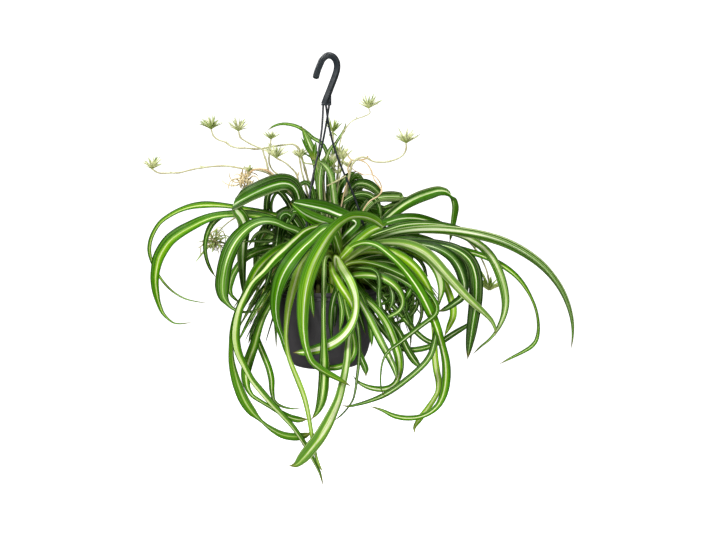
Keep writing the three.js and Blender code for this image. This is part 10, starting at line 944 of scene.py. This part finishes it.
# ------------------------------------------------------------------ pot and potting mix
def lathe(profile, sides=144, closed_axis=True):
    pr = np.array(profile, dtype=float)
    on_axis = pr[:, 0] < 1e-6
    V, idx = [], []
    for i, (r, z) in enumerate(pr):
        if on_axis[i]:
            idx.append([len(V)] * sides)
            V.append([AX, 0, z])
        else:
            idx.append(list(range(len(V), len(V) + sides)))
            for j in range(sides):
                w = 2 * math.pi * j / sides
                V.append([AX + r * math.cos(w), r * math.sin(w), z])
    F = []
    for i in range(len(pr) - 1):
        for j in range(sides):
            j2 = (j + 1) % sides
            q = [idx[i][j], idx[i][j2], idx[i + 1][j2], idx[i + 1][j]]
            q = [p for n_, p in enumerate(q) if p not in q[:n_]]
            if len(q) > 2:
                F.append(q)
    V = np.array(V)
    Fa = np.array([f[:3] for f in F])
    if np.einsum("ij,ij->i", V[Fa[:, 0]], np.cross(V[Fa[:, 1]], V[Fa[:, 2]])).sum() < 0:
        F = [f[::-1] for f in F]
    return V, F


def eased(points, r=1.0, n=3):
    """Round the corners of a profile."""
    out = [points[0]]
    for a, b, c in zip(points[:-2], points[1:-1], points[2:]):
        a, b, c = map(np.array, (a, b, c))
        la, lc = np.linalg.norm(a - b), np.linalg.norm(c - b)
        q = min(r, la * 0.45, lc * 0.45)
        p, s = b + (a - b) / la * q, b + (c - b) / lc * q
        for t in np.linspace(0, 1, n + 1):
            out.append(tuple((1 - t) ** 2 * p + 2 * t * (1 - t) * b + t * t * s))
    out.append(points[-1])
    return out


outer = [(0, BASE_Z + 1.4), (38, BASE_Z + 1.4), (39.5, BASE_Z), (46, BASE_Z), (51, BASE_Z + 3.5), (54.6, BASE_Z + 7.6), (57.5, BASE_Z + 13), (60.2, BASE_Z + 19.6), (62.2, BASE_Z + 27),
         (65.3, BASE_Z + 41), (67.8, BASE_Z + 56), (70.2, BASE_Z + 75), (71.8, BASE_Z + 92), (72.3, RIM_Z - 12), (73.1, RIM_Z - 11.4), (73.1, RIM_Z - 9.6), (72.6, RIM_Z - 8.8), (72.7, RIM_Z - 6),
         (74.9, RIM_Z - 5.2), (74.9, RIM_Z - 0.8), (74.2, RIM_Z)]
inner = [(72.5, RIM_Z), (72.0, RIM_Z - 5), (69.9, BASE_Z + 92), (65.9, BASE_Z + 56), (60.3, BASE_Z + 27), (55.6, BASE_Z + 14), (50, BASE_Z + 5), (44, BASE_Z + 3.4), (0, BASE_Z + 3.4)]
V, F = lathe(eased(outer + inner, 0.9))
pot = add_mesh("pot_shell", V, F, POT, sharp=32)
bpy.context.view_layer.objects.active = pot
for i in range(6):
    w = i / 6 * 2 * math.pi
    c = [AX + 30 * math.cos(w), 30 * math.sin(w)]
    n = 28
    ring = [[c[0] + 3.5 * math.cos(2 * math.pi * j / n), c[1] + 3.5 * math.sin(2 * math.pi * j / n)] for j in range(n)]
    cv = [[x, y, BASE_Z - 4] for x, y in ring] + [[x, y, BASE_Z + 8] for x, y in ring]
    cf = [[j, (j + 1) % n, n + (j + 1) % n, n + j] for j in range(n)] + [list(range(n))[::-1], [n + j for j in range(n)]]
    cut = add_mesh("cut", cv, cf, POT, smooth=False)
    md = pot.modifiers.new("hole", "BOOLEAN")
    md.operation, md.solver, md.object = "DIFFERENCE", "EXACT", cut
    bpy.ops.object.modifier_apply(modifier=md.name)
    bpy.data.objects.remove(cut, do_unlink=True)
settle(pot, ["pot"])

# the potting mix, with a lumpy top
sides, rings = 120, 34
R_TOP = 69.2
V, F = [], []
prof = [(0, BASE_Z + 4.2), (43, BASE_Z + 4.2), (49, BASE_Z + 6.2), (55.0, BASE_Z + 14.8), (59.6, BASE_Z + 27), (65.3, BASE_Z + 56), (69.2, BASE_Z + 92)]
tops = [(R_TOP * (1 - i / rings), SOIL_Z) for i in range(0, rings + 1)]
V, F = lathe(prof + tops, sides)
rs = np.random.RandomState(SEED + 3)
K = rs.normal(0, 1, (26, 2)) * np.geomspace(0.05, 0.9, 26)[:, None]
phs = rs.uniform(0, 6.28, 26)
amp = np.geomspace(1.3, 0.32, 26)
top = V[:, 2] > SOIL_Z - 0.5
rad = np.hypot(V[:, 0] - AX, V[:, 1])
dz = sum(a * np.sin(V[:, :2] @ k + p) for a, k, p in zip(amp, K, phs)) * 0.5
V[top, 2] += np.clip(dz, -3.4, 0.6)[top] * np.clip((R_TOP - rad[top]) / 3.0, 0, 1) - 0.8
settle(add_mesh("potting_mix", V, F, SOIL, sharp=60), ["soil"])

# ------------------------------------------------------------------ hook
HOOK_LINE = [(-17.7, -27.5), (-15.8, -19.2), (-11.8, -8.6), (-7, 0.6), (-0.3, 4.9), (6.5, 3.2), (11.6, -4.1), (12.1, -13.7), (9.4, -23.4), (5.2, -34.4), (1, -45.4), (-2.6, -54), (-5.6, -62.2)]


def hook_bar():
    P = np.array([(x, 0, z) for x, z in HOOK_LINE], dtype=float)
    x = np.r_[0, np.cumsum(np.linalg.norm(np.diff(P, axis=0), axis=1))]
    xs = np.linspace(0, x[-1], 96)
    Q = hermite(x, P, xs)
    T = unit(np.gradient(Q, xs, axis=0))
    B = np.tile([0.0, 1.0, 0.0], (len(xs), 1))
    A = unit(np.cross(T, B))
    # a square bar with rounded corners, standing on one corner towards the front
    pts2 = []
    for c in range(4):
        w = math.radians(90 * c + 24)
        corner = np.array([math.cos(w), math.sin(w)]) * 5.6
        wn = math.radians(90 * (c + 1) + 24)
        nxt = np.array([math.cos(wn), math.sin(wn)]) * 5.6
        wp = math.radians(90 * (c - 1) + 24)
        prv = np.array([math.cos(wp), math.sin(wp)]) * 5.6
        p, s = corner + (prv - corner) * 0.20, corner + (nxt - corner) * 0.20
        for t in np.linspace(0, 1, 6):
            pts2.append((1 - t) ** 2 * p + 2 * t * (1 - t) * corner + t * t * s)
    pts2 = np.array(pts2)
    pts2 *= 4.65 / np.abs(pts2[:, 0]).max()
    k = len(pts2)
    V, F = [], []
    for i in range(len(xs)):
        e = min(xs[i], 99) / 2.6
        sc = math.sqrt(max(0.0, 1 - max(0.0, 1 - e) ** 2)) if e < 1 else 1.0
        sc = max(sc, 0.35)
        for a, b in pts2:
            V.append(Q[i] + A[i] * a * sc + B[i] * b * sc)
    for i in range(len(xs) - 1):
        for j in range(k):
            a, b = i * k + j, i * k + (j + 1) % k
            F.append([a, b, b + k, a + k])
    F.append(list(range(k))[::-1])
    F.append([(len(xs) - 1) * k + j for j in range(k)])
    V = np.array(V)
    Fa = np.array([f[:3] for f in F])
    if np.einsum("ij,ij->i", V[Fa[:, 0]], np.cross(V[Fa[:, 1]], V[Fa[:, 2]])).sum() < 0:
        F = [f[::-1] for f in F]
    return V, F


def prism(poly, y0, y1):
    n = len(poly)
    V = [(x, y0, z) for x, z in poly] + [(x, y1, z) for x, z in poly]
    F = [[j, (j + 1) % n, n + (j + 1) % n, n + j] for j in range(n)] + [list(range(n))[::-1], [n + j for j in range(n)]]
    V = np.array(V, dtype=float)
    Fa = np.array([f[:3] for f in F])
    if np.einsum("ij,ij->i", V[Fa[:, 0]], np.cross(V[Fa[:, 1]], V[Fa[:, 2]])).sum() < 0:
        F = [f[::-1] for f in F]
    return V, F


def bevelled(ob, width, seg=3):
    md = ob.modifiers.new("edge", "BEVEL")
    md.width, md.segments, md.limit_method, md.angle_limit = width * 0.001, seg, "ANGLE", math.radians(35)
    bpy.context.view_layer.objects.active = ob
    bpy.ops.object.modifier_apply(modifier=md.name)
    return ob


V, F = hook_bar()
hook = add_mesh("hook_bar", V, F, SLATE, sharp=60)
V, F = prism([(-9.4, -63.9), (4.3, -63.9), (4.3, -48.4), (1.6, -46.6), (-3.4, -52.0), (-8.2, -60.0)], -1.6, 1.6)
web = bevelled(add_mesh("hook_web", V, F, SLATE, smooth=False), 0.5)
V, F = prism([(-10.1, -63.9), (4.3, -63.9), (4.3, -60.6), (-9.2, -60.6)], -5.8, 5.8)
foot = bevelled(add_mesh("hook_foot", V, F, SLATE, smooth=False), 0.7)
for o in (web, foot):
    o.data.polygons.foreach_set("use_smooth", [True] * len(o.data.polygons))
    o.data.set_sharp_from_angle(angle=math.radians(40))
    settle(o)
settle(hook, ["hanger_hook"])

# ------------------------------------------------------------------ arms and their clips over the rim
for name, (ang, pts) in ARMS.items():
    P = np.array(pts, dtype=float).reshape(-1, 3)
    P[0] += (P[0] - P[1]) / np.linalg.norm(P[0] - P[1]) * 3.6
    V, F, *_ = tube(P, np.full(len(P), 1.5), sides=14, step=3.0)
    arm = add_mesh(name + "_rod", V, F, SLATE, sharp=60)
    U = [(69.3, -309.1), (69.3, -321.4), (71.0, -321.4), (71.0, -316.4), (76.0, -316.4), (76.0, -327.9), (78.9, -327.9), (78.9, -309.1)]
    V, F = prism(U, -4.4, 4.4)
    w = math.radians(ang)
    W = V.copy()
    W[:, 0] = AX + V[:, 0] * math.cos(w) - V[:, 1] * math.sin(w)
    W[:, 1] = V[:, 0] * math.sin(w) + V[:, 1] * math.cos(w)
    Fa = np.array([f[:3] for f in F])
    if np.einsum("ij,ij->i", W[Fa[:, 0]], np.cross(W[Fa[:, 1]], W[Fa[:, 2]])).sum() < 0:
        F = [f[::-1] for f in F]
    clip = bevelled(add_mesh(name + "_clip", W, F, SLATE, smooth=False), 0.45)
    clip.data.polygons.foreach_set("use_smooth", [True] * len(clip.data.polygons))
    clip.data.set_sharp_from_angle(angle=math.radians(40))
    settle(clip)
    settle(arm, [name])

# ------------------------------------------------------------------ stage and light
def sweep_floor():
    prof = [(-6.0, -1.05)]
    prof += [(3.0 + 1.4 * math.sin(a), -1.05 + 1.4 * (1 - math.cos(a))) for a in np.linspace(0, math.pi / 2, 14)]
    prof += [(4.4, 6.0)]
    V, F = [], []
    for y, z in prof:
        V += [(-7000.0, y * 1000, z * 1000), (7000.0, y * 1000, z * 1000)]
    for i in range(len(prof) - 1):
        F.append([2 * i, 2 * i + 1, 2 * i + 3, 2 * i + 2])
    return np.array(V), F


k = Tree("pale_floor")
n = k.noise(k.where(), 3.0, 3.0)
k.put(k.b.inputs["Base Color"], k.mix(n, (0.93, 0.93, 0.93), (0.95, 0.95, 0.95)))
k.b.inputs["Roughness"].default_value = 0.9
k.b.inputs["Emission Color"].default_value = (1, 1, 1, 1)
k.b.inputs["Emission Strength"].default_value = 0.95
V, F = sweep_floor()
sweep = add_mesh("pale_sweep", V, F, k.mat, sharp=60)
sweep.visible_diffuse = sweep.visible_glossy = sweep.visible_shadow = sweep.visible_transmission = False

world = bpy.data.worlds.new("studio")
bpy.context.scene.world = world
world.use_nodes = True
bg = world.node_tree.nodes.get("Background") or world.node_tree.nodes.new("ShaderNodeBackground")
bg.inputs[0].default_value = (1, 1, 1, 1)
bg.inputs[1].default_value = 0.17


def area(name, loc, aim, size, power, tint=(1, 1, 1)):
    l = bpy.data.lights.new(name, "AREA")
    l.shape = "RECTANGLE"
    l.size, l.size_y = size
    l.energy = power
    l.color = tint
    o = bpy.data.objects.new(name, l)
    bpy.context.scene.collection.objects.link(o)
    o.location = loc
    o.rotation_euler = (Vector(aim) - Vector(loc)).to_track_quat("-Z", "Y").to_euler()
    return o


area("key", (-1.1, -2.0, 1.3), (0, 0, -0.28), (0.7, 0.7), 68)
area("fill", (1.9, -1.5, 0.4), (0, 0, -0.3), (1.2, 1.2), 14)
area("low", (0.3, -2.1, -0.95), (0, 0, -0.3), (1.0, 0.8), 17)
area("rear", (-0.7, 2.2, 0.7), (0, 0, -0.3), (1.2, 1.2), 22)
area("top", (0.2, 0.5, 1.9), (0, 0, -0.3), (1.0, 1.0), 34)

sc = bpy.context.scene
sc.view_settings.view_transform = "Standard"
sc.view_settings.look = "None"
sc.view_settings.exposure = 0.0
